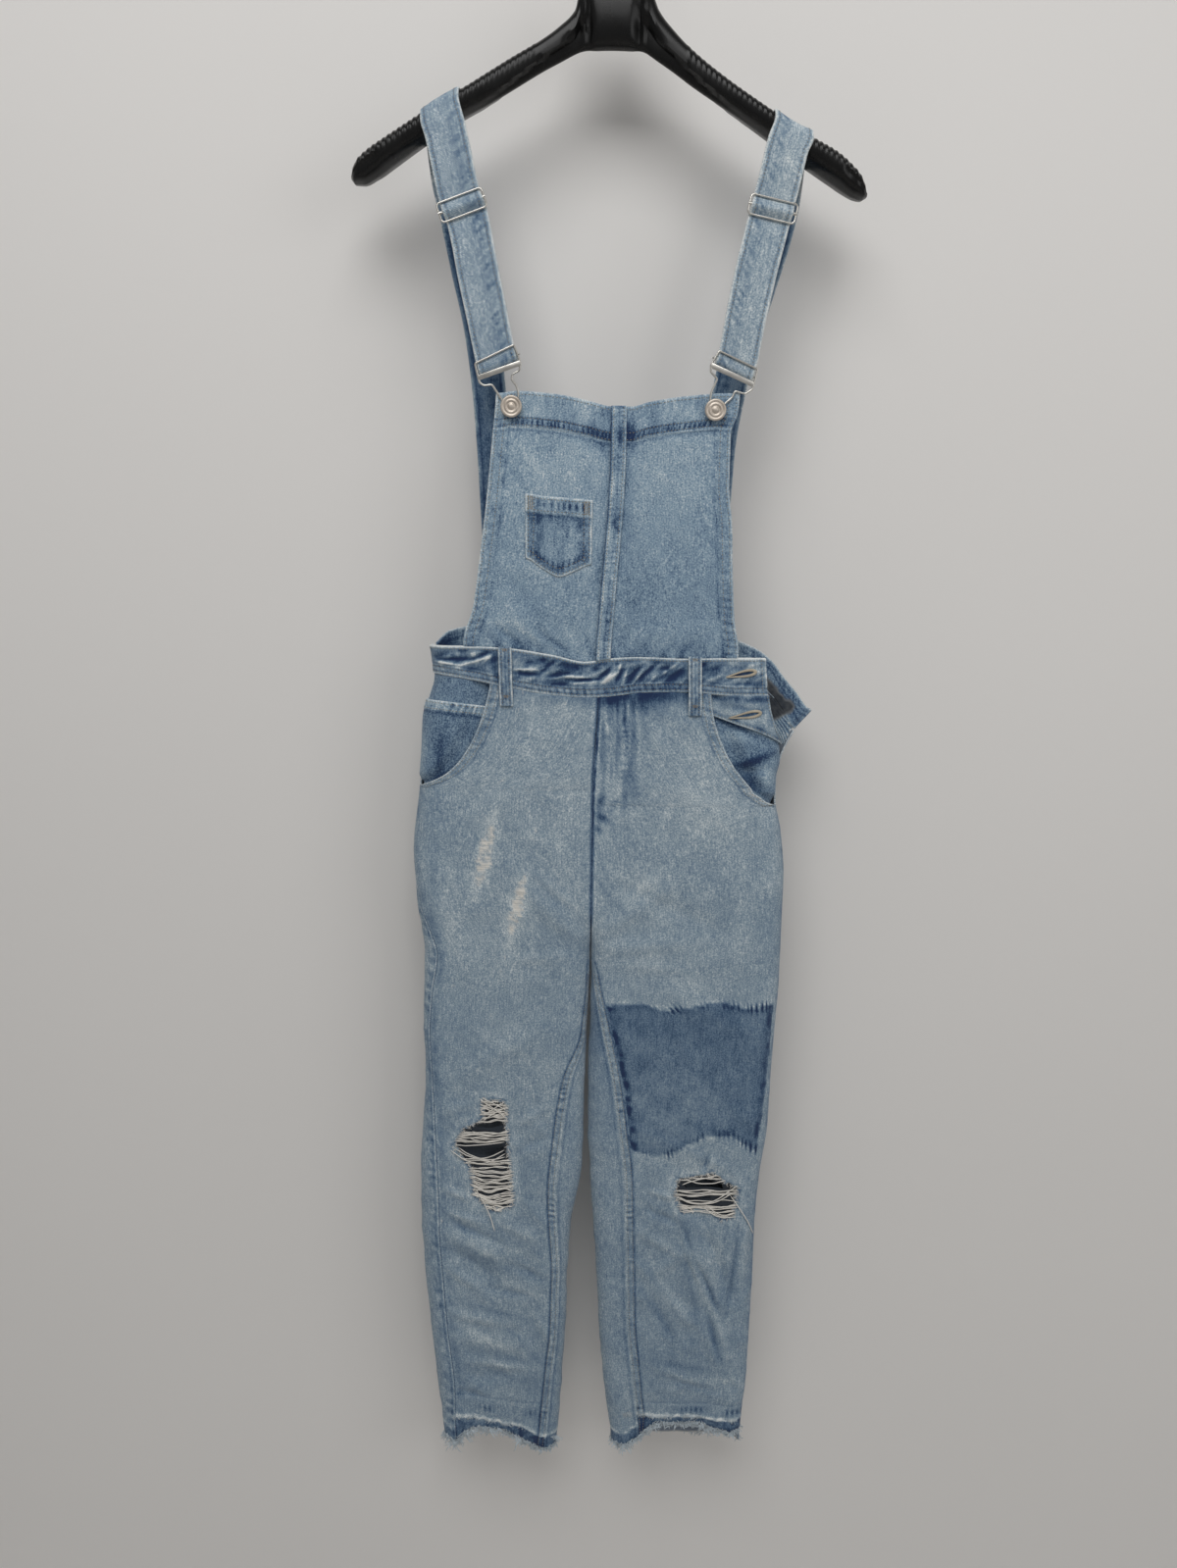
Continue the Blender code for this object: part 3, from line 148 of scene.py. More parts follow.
LEFT = Table(
    "height front_outer back_outer inner side_seam inseam front back",
    (-616, 150, 190, -5, 0, 0, 17, 16),
    (-641, 150, 194, -5, 0, 0, 17, 16),
    (-668, 152, 197, -4, 0, 0, 17, 16),
    (-690, 156, 196, -4, 0, 0, 17, 16),
    (-709, 162, 183, -5, 0, 0, 17, 16),
    (-724, 168, 175, -6, 0, 0, 17, 17),
    (-738, 170, 170, -7, 0, 0, 17, 17),
    (-755, 167, 167, -8, 0, 0, 17, 17),
    (-775, 167, 167, -8, 0, 0, 17, 18),
    (-805, 173, 173, -8, 0, 0, 17, 18),
    (-854, 178, 178, -8, 0, 0, 17, 17),
    (-904, 178, 178, -8, 0, 0, 16, 17),
    (-931, 178, 178, -7.7, 0, 0, 16, 16),
    (-956, 178, 178, -7, 0, 2, 15, 16),
    (-1005, 176, 176, -8.5, 0, 12, 15, 15),
    (-1058, 174, 174, -9.5, 0, 24, 14, 15),
    (-1111, 173, 173, -9, 0, 31, 14, 15),
    (-1165, 167, 167, -6, 0, 35, 14, 15),
    (-1220, 164, 164, -2, 0, 33, 14, 14),
    (-1276, 164, 164, 2, 0, 31, 13, 14),
    (-1333, 163, 163, 5, 0, 30, 13, 13),
    (-1391, 162, 162, 10, 0, 31, 13, 13),
    (-1450, 158, 158, 17, 0, 31, 12, 12),
    (-1486, 157, 157, 21, 0, 28, 12, 12),
)
HALVES = {"right": RIGHT, "left": LEFT}

# Lines across the garment: height of each edge at a place across.
WAIST_LINES = Table(
    "across band_top band_bottom",
    (-161, -633, -658),
    (-120, -633, -663),
    (-90, -634, -669),
    (-46, -640, -676),
    (-16, -646, -678),
    (4, -643, -677),
    (35, -641, -673),
    (75, -642, -672),
    (124, -641, -675),
    (155, -641, -675),
)
BACK_WAIST = Table(
    "across band_top band_bottom lean",
    (-162, -634, -662, 0),
    (-145, -621, -650, 0),
    (-120, -616, -646, 0),
    (0, -615, -645, 0),
    (100, -619, -648, 0),
    (124, -626, -655, 0),
    (147, -636, -664, 0),
    (160, -646, -675, 2),
    (172, -661, -690, 8),
    (184, -675, -709, 12),
    (197, -690, -712, 15),
)
FRONT_WAIST_RING = -655.0  # height whose ring places the front waistband's columns
BACK_WAIST_RING = -668.0   # height whose ring the back waistband follows
HEM_LINES = Table(
    "across front",
    (-156, -1471),
    (-144, -1475),
    (-131, -1461),
    (-118, -1457),
    (-98, -1460),
    (-78, -1470),
    (-51, -1483),
    (0, -1476),
    (30, -1477),
    (48, -1468),
    (58, -1457),
    (71, -1450),
    (109, -1449),
    (129, -1457),
    (157, -1461),
)
POCKET_CURVES = Table(
    "height right left",
    (-666, -104, 100),
    (-682, -107, 101),
    (-702, -113, 105),
    (-721, -121, 112),
    (-740, -133, 122),
    (-752, -145, 131),
    (-759, -157, 137),
    (-766, -171, 142),
)
LEFT_POCKET_FOOT = Table("height across", (-766, 142), (-772, 150), (-778, 158), (-782, 168))
FACING_REACH = 12.0    # how far a facing reaches behind the front panel
FACING_CLEAR = 5.0     # how far beyond the opening's edge a facing stays deep
FACING_RISE = 18.0     # width over which it then comes up level with the panel
FACING_ROWS = [PANEL_TOP, -683.0, -694.0, -706.0, -717.0, -728.0, -738.0, -748.0, -757.0, -765.0]
PLACKET_ROWS = [PANEL_TOP, -677.0, -683.0, -689.0]
PLACKET_SLANT = 10.0   # how much lower each of its rows runs at the side
COIN_ROW = 2           # the row of the facing where the coin pocket's top lies
# Belt loops: place across and how much lower the left one sits; then each row's height and how far
# its underside stands out of the panels.
BELT_LOOPS = {"right": (-90.5, 0.0), "left": (84.5, 7.0)}
LOOP_WIDTH = 11.0
LOOP_THICK = 1.8
LOOP_SLANT = 0.03
LOOP_ROWS = ((-633.0, 1.6), (-640.0, 2.5), (-664.0, 2.5), (-674.0, 2.5), (-681.0, 0.9), (-687.0, 0.6))
# Puckers of the front waistband: cycles across and up, length of a wave, phase and height.
PUCKERS = ((0.82, 0.57, 29.0, 0.0, 0.9), (0.9, -0.3, 17.0, 1.0, 0.4))
BIB_SIDES = Table(
    "height right left centre",
    (-408, -97, 117, 11),
    (-424, -98, 116, 11),
    (-443, -100, 110, 11),
    (-485, -104, 110, 10),
    (-521, -108, 114, 8),
    (-560, -113, 116, 5),
    (-603, -119, 119, 2),
    (-636, -128, 124, 0),
)
BIB_TOP = Table(
    "across height",
    (-97, -410),
    (-79, -408),
    (-47, -410),
    (-18, -415),
    (5, -420),
    (22, -420),
    (38, -416),
    (69, -411),
    (108, -408),
    (117, -408),
)
BIB_FOOT = -640.0
BIB_HEIGHT = 230.0
BIB_STAND = (17.2, 18.4)  # how far in front of the middle its foot and its top lie
BIB_BELLY = 1.6
# Soft swells of the bib: place across, height, half width, half height and how far they stand out.
BIB_SWELLS = (
    (-70, -606, 26, 14, 1.2),
    (62, -618, 30, 12, 1.0),
    (10, -408, 30, 34, -1.4),
)
BIB_BAND = 30.0        # depth of the turned top hem
BIB_SIDE_HEM = 11.0
BIB_STRIP = 13.0       # width of the felled centre seam
BIB_STRIP_THICK = 1.2
BIB_POCKET = Table(
    "across top bottom",
    (-71, -496, -552),
    (-56, -498, -561),
    (-41, -499, -568),
    (-27, -500, -563),
    (-12, -501, -557),
)
POCKET_HEM = 14.0
HEM_STEP = 1.2         # height over which a turned hem steps down to the single cloth

# Folds of the front and the back: two ends, half width, and how far it stands out.
FOLDS = (
    # face, x1, z1, x2, z2, half width, height
    ("front", -152, -1228, -84, -1262, 9, 2.6),
    ("front", -146, -1250, -100, -1283, 8, -2.2),
    ("front", -150, -1345, -60, -1362, 10, 2.0),
    ("front", -140, -1398, -80, -1392, 8, -1.8),
    ("front", 86, -1205, 128, -1312, 7, 3.0),
    ("front", 103, -1200, 140, -1300, 7, -2.4),
    ("front", 146, -1226, 136, -1322, 6, 2.4),
    ("front", 116, -1330, 134, -1390, 8, 2.2),
    ("front", 60, -1275, 100, -1240, 8, 2.0),
    ("front", -8, -915, 70, -858, 9, 2.4),
    ("front", -8, -925, 88, -915, 8, 2.0),
    ("front", -16, -915, -84, -852, 9, 2.0),
    ("front", 20, -860, 120, -905, 9, -1.8),
    ("front", -60, -1010, -140, -1060, 12, 2.0),
    ("front", 60, -960, 150, -1010, 12, 1.8),
    ("back", -150, -720, -40, -770, 14, 2.6),
    ("back", 20, -760, 150, -725, 14, 2.4),
    ("back", -20, -905, -120, -850, 12, 3.0),
    ("back", 10, -905, 110, -860, 12, 3.0),
    ("back", -150, -1140, -60, -1172, 11, 2.8),
    ("back", -140, -1190, -60, -1160, 10, -2.2),
    ("back", 50, -1168, 145, -1140, 11, 2.8),
    ("back", 60, -1190, 140, -1215, 10, -2.2),
    ("back", -130, -1330, -70, -1372, 10, 2.2),
    ("back", 70, -1365, 135, -1330, 10, 2.2),
)

# Holes worn through the knees: points of each outline, across and height.
KNEE_GAPS = {
    "right": (
        ((-123, -1108), (-112, -1104), (-97, -1106), (-93, -1111), (-104, -1114), (-119, -1113)),
        ((-141, -1131), (-128, -1128), (-108, -1129), (-92, -1133), (-91, -1145), (-104, -1147),
         (-119, -1144), (-130, -1141)),
        ((-120, -1161), (-102, -1159), (-90, -1161), (-90, -1166), (-104, -1167), (-118, -1166)),
        ((-118, -1177), (-101, -1176), (-88, -1178), (-88, -1183), (-103, -1184), (-116, -1182)),
    ),
    "left": (
        ((87, -1171), (98, -1167), (114, -1167), (128, -1172), (130, -1178), (117, -1176),
         (103, -1177), (90, -1177)),
        ((83, -1185), (96, -1183), (115, -1184), (117, -1189), (101, -1190), (86, -1190)),
    ),
}

# The hanger by place across: top, underside and half depth.
HANGER = Table(
    "across top under depth",
    (-223.5, -229, -232, 5),
    (-221, -222, -235, 12),
    (-214, -214, -235, 18),
    (-203, -206, -230, 20),
    (-190, -198, -221, 20),
    (-163, -181, -203, 18.5),
    (-145, -169, -192, 17),
    (-127, -160, -181, 16),
    (-107, -148, -171, 14.5),
    (-87, -136, -160, 13),
    (-57, -119, -143, 12),
    (-43, -109, -136, 12),
    (-31, -97, -130, 12),
    (-26, -74, -128, 12),
    (-22, -63, -127, 12),
    (2, -62, -126, 12),
    (27, -63, -127, 12),
    (31, -72, -129, 12),
    (39, -95, -134, 12),
    (52, -111, -142, 12),
    (70, -128, -154, 12.5),
    (100, -150, -172, 14),
    (120, -163, -184, 15.5),
    (139, -175, -196, 17),
    (156, -186, -207, 18),
    (172, -195, -217, 19),
    (195, -207, -231, 20),
    (212, -221, -241, 19),
    (220, -231, -243, 13),
    (223.5, -238, -241, 5),
)
HANGER_CORNER = 2.7    # squareness of the hanger's section

# Straps by place along them. Each row: across, y, height and slope in degrees of the width.
# "over" holds the place across on the hanger, the slope there and how much the outer edge is lifted.
STRAPS = {
    "right": {
        "behind": (
            (-95, 15.2, -614.6, 0), (-97, 15.2, -560, 0), (-100, 15.4, -505, 0),
            (-103, 15.6, -450, 2), (-107, 16, -400, 4), (-113, 16.6, -350, 8),
            (-123, 17.6, -300, 12), (-133, 18.6, -250, 17), (-141, 19.6, -215, 22),
        ),
        "over": (-145, 27, 0.0),
        "front": (
            (-140, -20.0, -197, 23), (-134, -19.6, -224, 21), (-130.6, -18.6, -240, 20),
            (-128.4, -17.9, -248.4, 20), (-125.6, -23.1, -256, 20), (-122.6, -17.9, -263.6, 20),
            (-119.4, -18.8, -276, 19), (-112.6, -19.2, -311, 18), (-105.2, -19, -345, 20),
            (-98.6, -18.3, -376, 22), (-96.2, -18.6, -384, 22),
        ),
        "fold": (-95.2, -16.9, -387.6, 22),
        "return": (
            (-96.4, -14.8, -383.6, 22), (-99, -14.6, -375, 22), (-105.2, -14.8, -345, 20),
            (-112.6, -15, -311, 18), (-119.4, -15, -276, 19), (-122.5, -14.8, -262.4, 20),
        ),
    },
    "left": {
        "behind": (
            (96, 15.2, -616.6, 0), (98, 15.2, -560, 0), (101, 15.4, -505, 0),
            (104, 15.6, -450, -2), (112, 16, -400, -4), (122, 16.6, -355, -8),
            (134, 17.6, -310, -12), (145, 18.6, -270, -17), (153, 20.2, -230, -22),
        ),
        "over": (156, -25, 5.0),
        "front": (
            (151, -20.8, -205, -20), (146, -20, -228, -15), (143.4, -18.6, -240, -13),
            (141.4, -17.9, -248.2, -12), (139.6, -23.1, -256, -12), (137.6, -17.9, -263.9, -12),
            (135, -18.8, -275, -14), (128, -19.2, -305, -18), (120.6, -19, -343, -22),
            (114.6, -18.3, -378, -24), (112.2, -18.6, -385.6, -24),
        ),
        "fold": (111.2, -16.9, -389.4, -24),
        "return": (
            (112.4, -14.8, -385.4, -24), (115, -14.6, -377, -24), (120.6, -14.8, -343, -22),
            (128, -15, -305, -18), (135, -15, -275, -14), (137.5, -14.8, -262.6, -12),
        ),
    },
}

# Wire fittings: the slide's centre, slope and height; the buckle's bars and its wire to the button.
FITTINGS = {
    "right": {
        "slide": (-126.6, -256, 20),
        "top_bar": ((-116, -385), (-82, -369)),
        "flat_bar": ((-113, -397), (-76, -384)),
        "outer_wire": ((-112, -401), (-108, -403.5), (-101, -402.5), (-98, -407), (-93.5, -413.5)),
        "inner_wire": ((-77, -390.5), (-83, -393.5), (-84, -398), (-79.5, -403.5), (-77.6, -410)),
        "button": (-84, -421),
    },
    "left": {
        "slide": (140, -256, -12),
        "top_bar": ((132, -387), (98, -372)),
        "flat_bar": ((129, -400), (91, -384)),
        "outer_wire": ((128, -404), (122, -408), (113, -405.5), (110.5, -411), (103.5, -417)),
        "inner_wire": ((91, -390), (97, -395.5), (94, -402), (92, -407), (91.2, -413)),
        "button": (96, -422),
    },
}
FRAME_Y = -20.6        # plane of the slides and buckles
SHANK_LOOP = 6.0       # radius of the buckle wire round the button's shank

# ---------------------------------------------------------------- camera, stage and small pieces

CAMERA_PLACE = (-0.012, -1.104, -0.549)
CAMERA_PITCH = 11.0    # degrees down
CAMERA_ROLL = 0.68
FOCAL_PIXELS = 1200.0  # of the photo, 1200 wide and 1599 high
LONG_SIDE_PIXELS = 1599.0
WALL_Y = 0.075
WALL_TOP = 1.6
FLOOR_Z = -2.15
FLOOR_FRONT = -4.0
SWEEP_WIDTH = 4.0      # to either side
SWEEP_BEND = 0.30      # radius between the wall and the floor
# Lights: place, target and size; the side light has this share of the key light's power.
KEY_LIGHT = ((-0.25, -1.6, 1.1), (0.05, 0.1, -0.6), (1.6, 1.2))
SIDE_LIGHT = ((1.5, -1.6, 0.0), (0.0, 0.0, -0.9), (1.2, 1.2))
SIDE_SHARE = 0.26
FRINGE_BALLS = (-146.0, 33.0)  # where the fringe has curled up into a ball
RIP_PITCH = 3.6        # height from one bundle of bare weft to the next
THREAD_STEPS = 15
BUTTON_TURNS = 48
COLLAR = 1.1           # how much thicker the slide's wire is at its collars
FOLD_BAR_WIRE = 1.3    # diameter of the buckle's bar in the strap's fold
FLAT_BAR = (1.5, 4.6)  # depth and height of the buckle's pressed bar
RIBS = (64.0, 219.0)   # the ribbed stretch of each hanger arm
RIB_PITCH = 4.4
RIB_TOP = 0.42         # height of the ribs, up to twice that at the ends
RIB_SIDE = 0.040       # how far the ribs stand out of the arms' sides, as a share of their depth
RIB_STATIONS = [side * (RIBS[0] + RIB_PITCH / 4 * n) for side in (-1, 1) for n in range(142)]
# Loose yarns at the knees: two ends, how far each sags and how far it bends sideways.
LOOSE_YARNS = {
    "right": (
        (-114, -1079, -90, -1093, 0, 0), (-113, -1084, -91, -1101, 0, 1), (-112, -1098, -92, -1084, 0, 0),
        (-113, -1104, -91, -1090, 0, -1), (-124, -1116, -92, -1119, 3, 0), (-126, -1124, -91, -1123, 4, 0),
        (-142, -1131, -92, -1127, 2, 0), (-146, -1136, -91, -1140, 13, 0), (-141, -1135, -92, -1136, 10, 0),
        (-138, -1134, -91, -1144, 7, 0), (-122, -1178, -102, -1225, 0, 3), (-104, -1197, -94, -1202, 2, 0),
    ),
    "left": (
        (84, -1178, 121, -1178, 3, 0), (80, -1184, 143, -1171, 15, 0), (82, -1184, 141, -1174, 13, 0),
        (88, -1189, 142, -1178, 9, 0), (109, -1196, 141, -1206, 5, 0), (112, -1194, 140, -1203, 5, 0),
        (89, -1194, 99, -1203, 0, 3), (136, -1183, 162, -1229, 0, 3), (87, -1172, 118, -1163, -1, 0),
    ),
}

# ---------------------------------------------------------------- colours

DEEP_INDIGO = (0.014, 0.034, 0.100)
INDIGO = (0.048, 0.102, 0.190)
MID_BLUE = (0.160, 0.242, 0.342)
WASHED_BLUE = (0.285, 0.372, 0.448)
PALE_BLUE = (0.480, 0.570, 0.620)
WORN_WHITE = (0.830, 0.860, 0.850)
BIB_MID = (0.195, 0.290, 0.400)
BIB_WASHED = (0.315, 0.430, 0.525)
BIB_PALE = (0.500, 0.600, 0.660)
REVERSE_DARK = (0.060, 0.085, 0.125)
REVERSE_MID = (0.240, 0.290, 0.350)
REVERSE_PALE = (0.480, 0.530, 0.560)
LINING_DARK = (0.220, 0.268, 0.335)
LINING_PALE = (0.300, 0.345, 0.405)
# Deep shade painted where the cloth stands for a hollow: behind the bare threads at the knees and inside the flaring
# end of the back waistband.
HOLLOW_SHADE = (0.030, 0.038, 0.050)
FRINGE = (0.670, 0.760, 0.820)
WEFT_PALE = (0.900, 0.865, 0.800)
WEFT_SHADE = (0.530, 0.545, 0.530)
STITCH_TAN = (0.330, 0.290, 0.215)
TACK_ORANGE = (0.520, 0.360, 0.180)
HOLE_TAN = (0.640, 0.560, 0.430)
NICKEL = (0.560, 0.540, 0.500)
RUBBED_NICKEL = (0.760, 0.740, 0.690)
BUTTON_METAL = (0.480, 0.415, 0.350)
RUBBED_BUTTON = (0.800, 0.720, 0.630)
PLASTIC = (0.005, 0.005, 0.005)
WALL = (0.850, 0.830, 0.805)

# ---------------------------------------------------------------- finish of the cloth

STITCH = 3.1           # pitch of the topstitching
SLUBS = 0.36           # how strongly thick and thin yarns show
STITCH_LIFT = 0.05     # how far the stitches stand off the cloth
RIM_WEAR = 0.05        # how much whiter a raw or folded rim is
RIM_STAND = 0.35       # how far a rim is rounded out, as a share of the wall
FRONT_QUADS = 106
BACK_QUADS = 84
COIN_HEM = 9.0
COIN_TONE = 0.40
FACING_TONE = 0.44
STRAP_TONE = {"right": 0.71, "left": 0.78}
FLY_FOOT = -792.0
SHIN = -1170.0         # below this height the legs are marked more strongly
PATCH_INSET = 9.5      # from the inseam to the darker square
FAR = 40.0             # a distance at which an edge leaves no mark

# Wash by height down the legs, from 0, deep indigo, to 1, worn white.
LEG_TONES = Table(
    "height right left",
    (-680, 0.69, 0.69),
    (-760, 0.70, 0.69),
    (-860, 0.68, 0.685),
    (-960, 0.66, 0.68),
    (-1060, 0.66, 0.68),
    (-1150, 0.66, 0.66),
    (-1250, 0.65, 0.64),
    (-1350, 0.64, 0.63),
    (-1440, 0.62, 0.63),
)
BIB_TONES = Table("height right left", (-640, 0.62, 0.58), (-560, 0.64, 0.59), (-470, 0.67, 0.62), (-410, 0.68, 0.63))
# Soft marks of the wash: two ends, half width and strength. Many of the leg marks follow the
# folds and creases, as painted light on their ridges and painted shade in their hollows; the two
# dark marks just under the left waistband are painted shade.
LEG_MARKS = (
    (-70, -690, -60, -760, 16, 0.04),
    (-40, -700, -30, -900, 14, 0.03),
    (30, -700, 45, -745, 10, -0.07),
    (60, -700, 150, -860, 26, 0.04),
    (-160, -780, -165, -1100, 8, -0.03),
    (-90, -900, -80, -1060, 30, 0.03),
    (100, -880, 90, -975, 24, 0.04),
    (-150, -1228, -90, -1260, 8, 0.06),
    (-146, -1244, -100, -1276, 6, -0.08),
    (-150, -1345, -60, -1362, 9, 0.05),
    (-146, -1358, -70, -1376, 6, -0.06),
    (113, -1139, 109, -1158, 2, -0.12),
    (87, -1205, 101, -1252, 4, -0.09),
    (101, -1252, 128, -1312, 4, -0.10),
    (146, -1224, 137, -1322, 4, -0.08),
    (118, -1320, 132, -1372, 4, -0.08),
    (96, -1230, 120, -1306, 6, 0.06),
    (130, -1225, 128, -1290, 6, 0.05),
    (41, -668, 78, -678, 5, -0.1), (23, -675, 78, -682, 4, -0.12), (52, -723, 83, -855, 22, 0.03),
    (17, -837, 85, -914, 10, 0.03), (27, -885, 85, -944, 5, -0.05), (36, -861, 73, -846, 4, 0.05),
    (-2, -856, 27, -890, 3, -0.07), (3, -837, 45, -860, 3, 0.05), (28, -940, 103, -914, 5, 0.04),
    (103, -904, 162, -963, 6, -0.03), (-155, -725, -162, -957, 6, -0.05), (-134, -957, -48, -936, 18, 0.02),
    (-48, -857, -19, -955, 8, -0.04), (-136, -1241, -86, -1273, 3, -0.08), (-126, -1232, -66, -1253, 3, 0.07),
    (-152, -1263, -107, -1307, 3, -0.06), (-106, -1274, -46, -1306, 4, 0.05),
    (-137, -1308, -66, -1329, 3, -0.06), (-147, -1330, -86, -1364, 4, 0.06),
    (-86, -1341, -46, -1386, 3, -0.05), (-138, -1382, -66, -1400, 3, -0.06),
    (-127, -1373, -46, -1386, 3, 0.05), (-151, -1208, -126, -1232, 3, -0.07), (54, -1260, 96, -1316, 4, 0.05),
    (50, -1294, 86, -1350, 3, -0.06), (94, -1260, 108, -1327, 3, -0.09), (106, -1249, 121, -1321, 3, 0.07),
    (133, -1215, 131, -1304, 3, -0.07), (143, -1237, 139, -1338, 4, 0.06), (56, -1373, 118, -1384, 4, -0.06),
    (87, -1394, 154, -1397, 4, 0.05), (34, -1239, 64, -1282, 4, -0.05),
)
BACK_MARKS = (
    (-100, -760, -60, -860, 34, 0.05),
    (100, -760, 60, -860, 34, 0.05),
    (-90, -1120, -80, -1180, 24, 0.05),
    (90, -1120, 90, -1180, 24, 0.05),
)
# Marks of the facings, the coin pocket and the placket: two ends, half width and strength. Most are painted light
# along their folds' ridges and painted shade in the folds' hollows; the last mark of the left facing is its torn pale
# edge.
FACING_WEAR_AND_FOLD_SHADING = {
    "right": (
        (-165, -690, -110, -694, 6, 0.16),
        (-160, -706, -112, -708, 5, -0.12),
        (-172, -684, -168, -704, 3, 0.15),
    ),
    "left": (
        (104, -694, 150, -716, 4, -0.16),
        (112, -716, 160, -708, 7, 0.10),
        (124, -744, 160, -730, 4, -0.22),
        (132, -752, 152, -768, 8, -0.14),
        (158, -736, 156, -764, 7, 0.12),
        (134, -762, 152, -774, 2.5, 0.20),
    ),
    "coin": (
        (-150, -712, -154, -762, 4, -0.16),
        (-168, -712, -172, -760, 7, 0.16),
        (-132, -716, -128, -736, 8, 0.05),
        (-160, -762, -140, -750, 6, -0.10),
    ),
    "placket": (
        (104, -684, 160, -690, 3, -0.16),
        (118, -700, 150, -698, 7, 0.08),
        (130, -706, 166, -718, 3, 0.12),
    ),
}
FACING_FOLDS = {
    "right": ((-165, -690, -110, -694, 6, 1.0), (-160, -706, -112, -708, 4, -1.0)),
    "left": (
        (104, -696, 150, -718, 4, -1.4),
        (124, -742, 162, -728, 5, 1.8),
        (132, -750, 158, -744, 4, -1.6),
        (158, -736, 156, -764, 6, 1.2),
    ),
    "coin": ((-150, -712, -154, -762, 4, -1.4), (-162, -712, -166, -760, 5, 1.0)),
    "placket": ((104, -684, 160, -690, 3, -1.4), (118, -698, 156, -700, 5, 1.0), (130, -706, 166, -716, 3, -1.0)),
}
# Creases of the front waistband: two ends, half width and height.
WAIST_CREASES = (
    (-158, -644, -141, -638, 3.0, -1.2), (-152, -645, -119, -644, 1.9, -2.0),
    (-119, -644, -104, -637, 2.0, -1.6), (-154, -647, -131, -650, 1.3, 1.5),
    (-131, -650, -105, -642, 1.3, 1.6), (-113, -650, -102, -639, 1.1, 1.3), (-101, -637, -99, -660, 3.5, -1.3),
    (-83, -653, -60, -653, 1.0, 1.4), (-60, -654, -48, -649, 1.1, 1.3), (-83, -656, -59, -658, 1.7, -1.8),
    (-59, -657, -44, -644, 2.0, -1.8), (-74, -647, -65, -647, 3.2, -1.1), (-58, -644, -52, -645, 3.2, -1.3),
    (-44, -648, -37, -645, 1.6, 0.9), (-52, -659, -30, -656, 1.9, -1.5), (-49, -662, -28, -658, 1.1, 1.4),
    (-34, -663, -3, -662, 1.7, -2.0), (-4, -662, 7, -651, 2.0, -1.7), (-37, -659, -13, -660, 1.1, 1.5),
    (-31, -666, -2, -663, 1.1, 1.2), (-47, -667, -28, -666, 1.8, -1.3), (-42, -648, -24, -651, 3.4, -1.4),
    (-12, -650, -5, -653, 2.8, -1.1), (-2, -665, 14, -655, 1.2, 1.5), (14, -655, 17, -646, 1.2, 1.5),
    (1, -666, 9, -653, 1.0, 1.2), (12, -664, 19, -650, 1.9, -1.8), (18, -666, 23, -651, 1.1, 1.4),
    (23, -662, 36, -648, 2.2, -1.9), (26, -667, 37, -653, 1.1, 1.4), (32, -664, 47, -648, 2.2, -1.8),
    (41, -665, 55, -653, 1.0, 0.9), (52, -653, 63, -649, 2.6, -1.4), (52, -658, 70, -645, 1.2, 1.5),
    (59, -662, 75, -652, 2.4, -1.4), (70, -667, 77, -658, 1.0, 1.0), (90, -645, 95, -649, 3.0, -1.4),
    (92, -660, 103, -661, 2.4, 0.9), (102, -651, 111, -647, 2.6, -1.3), (115, -644, 125, -642, 2.0, 0.9),
    (118, -665, 145, -663, 2.0, -0.8), (131, -648, 147, -644, 2.0, 0.8),
)
WAIST_SHADE = Table(
    "across shade", (-160, 0.04), (-110, 0.10), (-90, 0.18), (-70, 0.08), (-20, 0.12), (20, 0.18), (50, 0.20), (76, 0.16),
    (92, 0.16), (115, 0.04), (155, 0.0),
)
BAND_SHADE = Table(
    "across shade", (-160, 0.02), (-110, 0.05), (-90, 0.12), (-60, 0.04), (-10, 0.10), (20, 0.22), (60, 0.24), (80, 0.20),
    (100, 0.10), (150, 0.04),
)
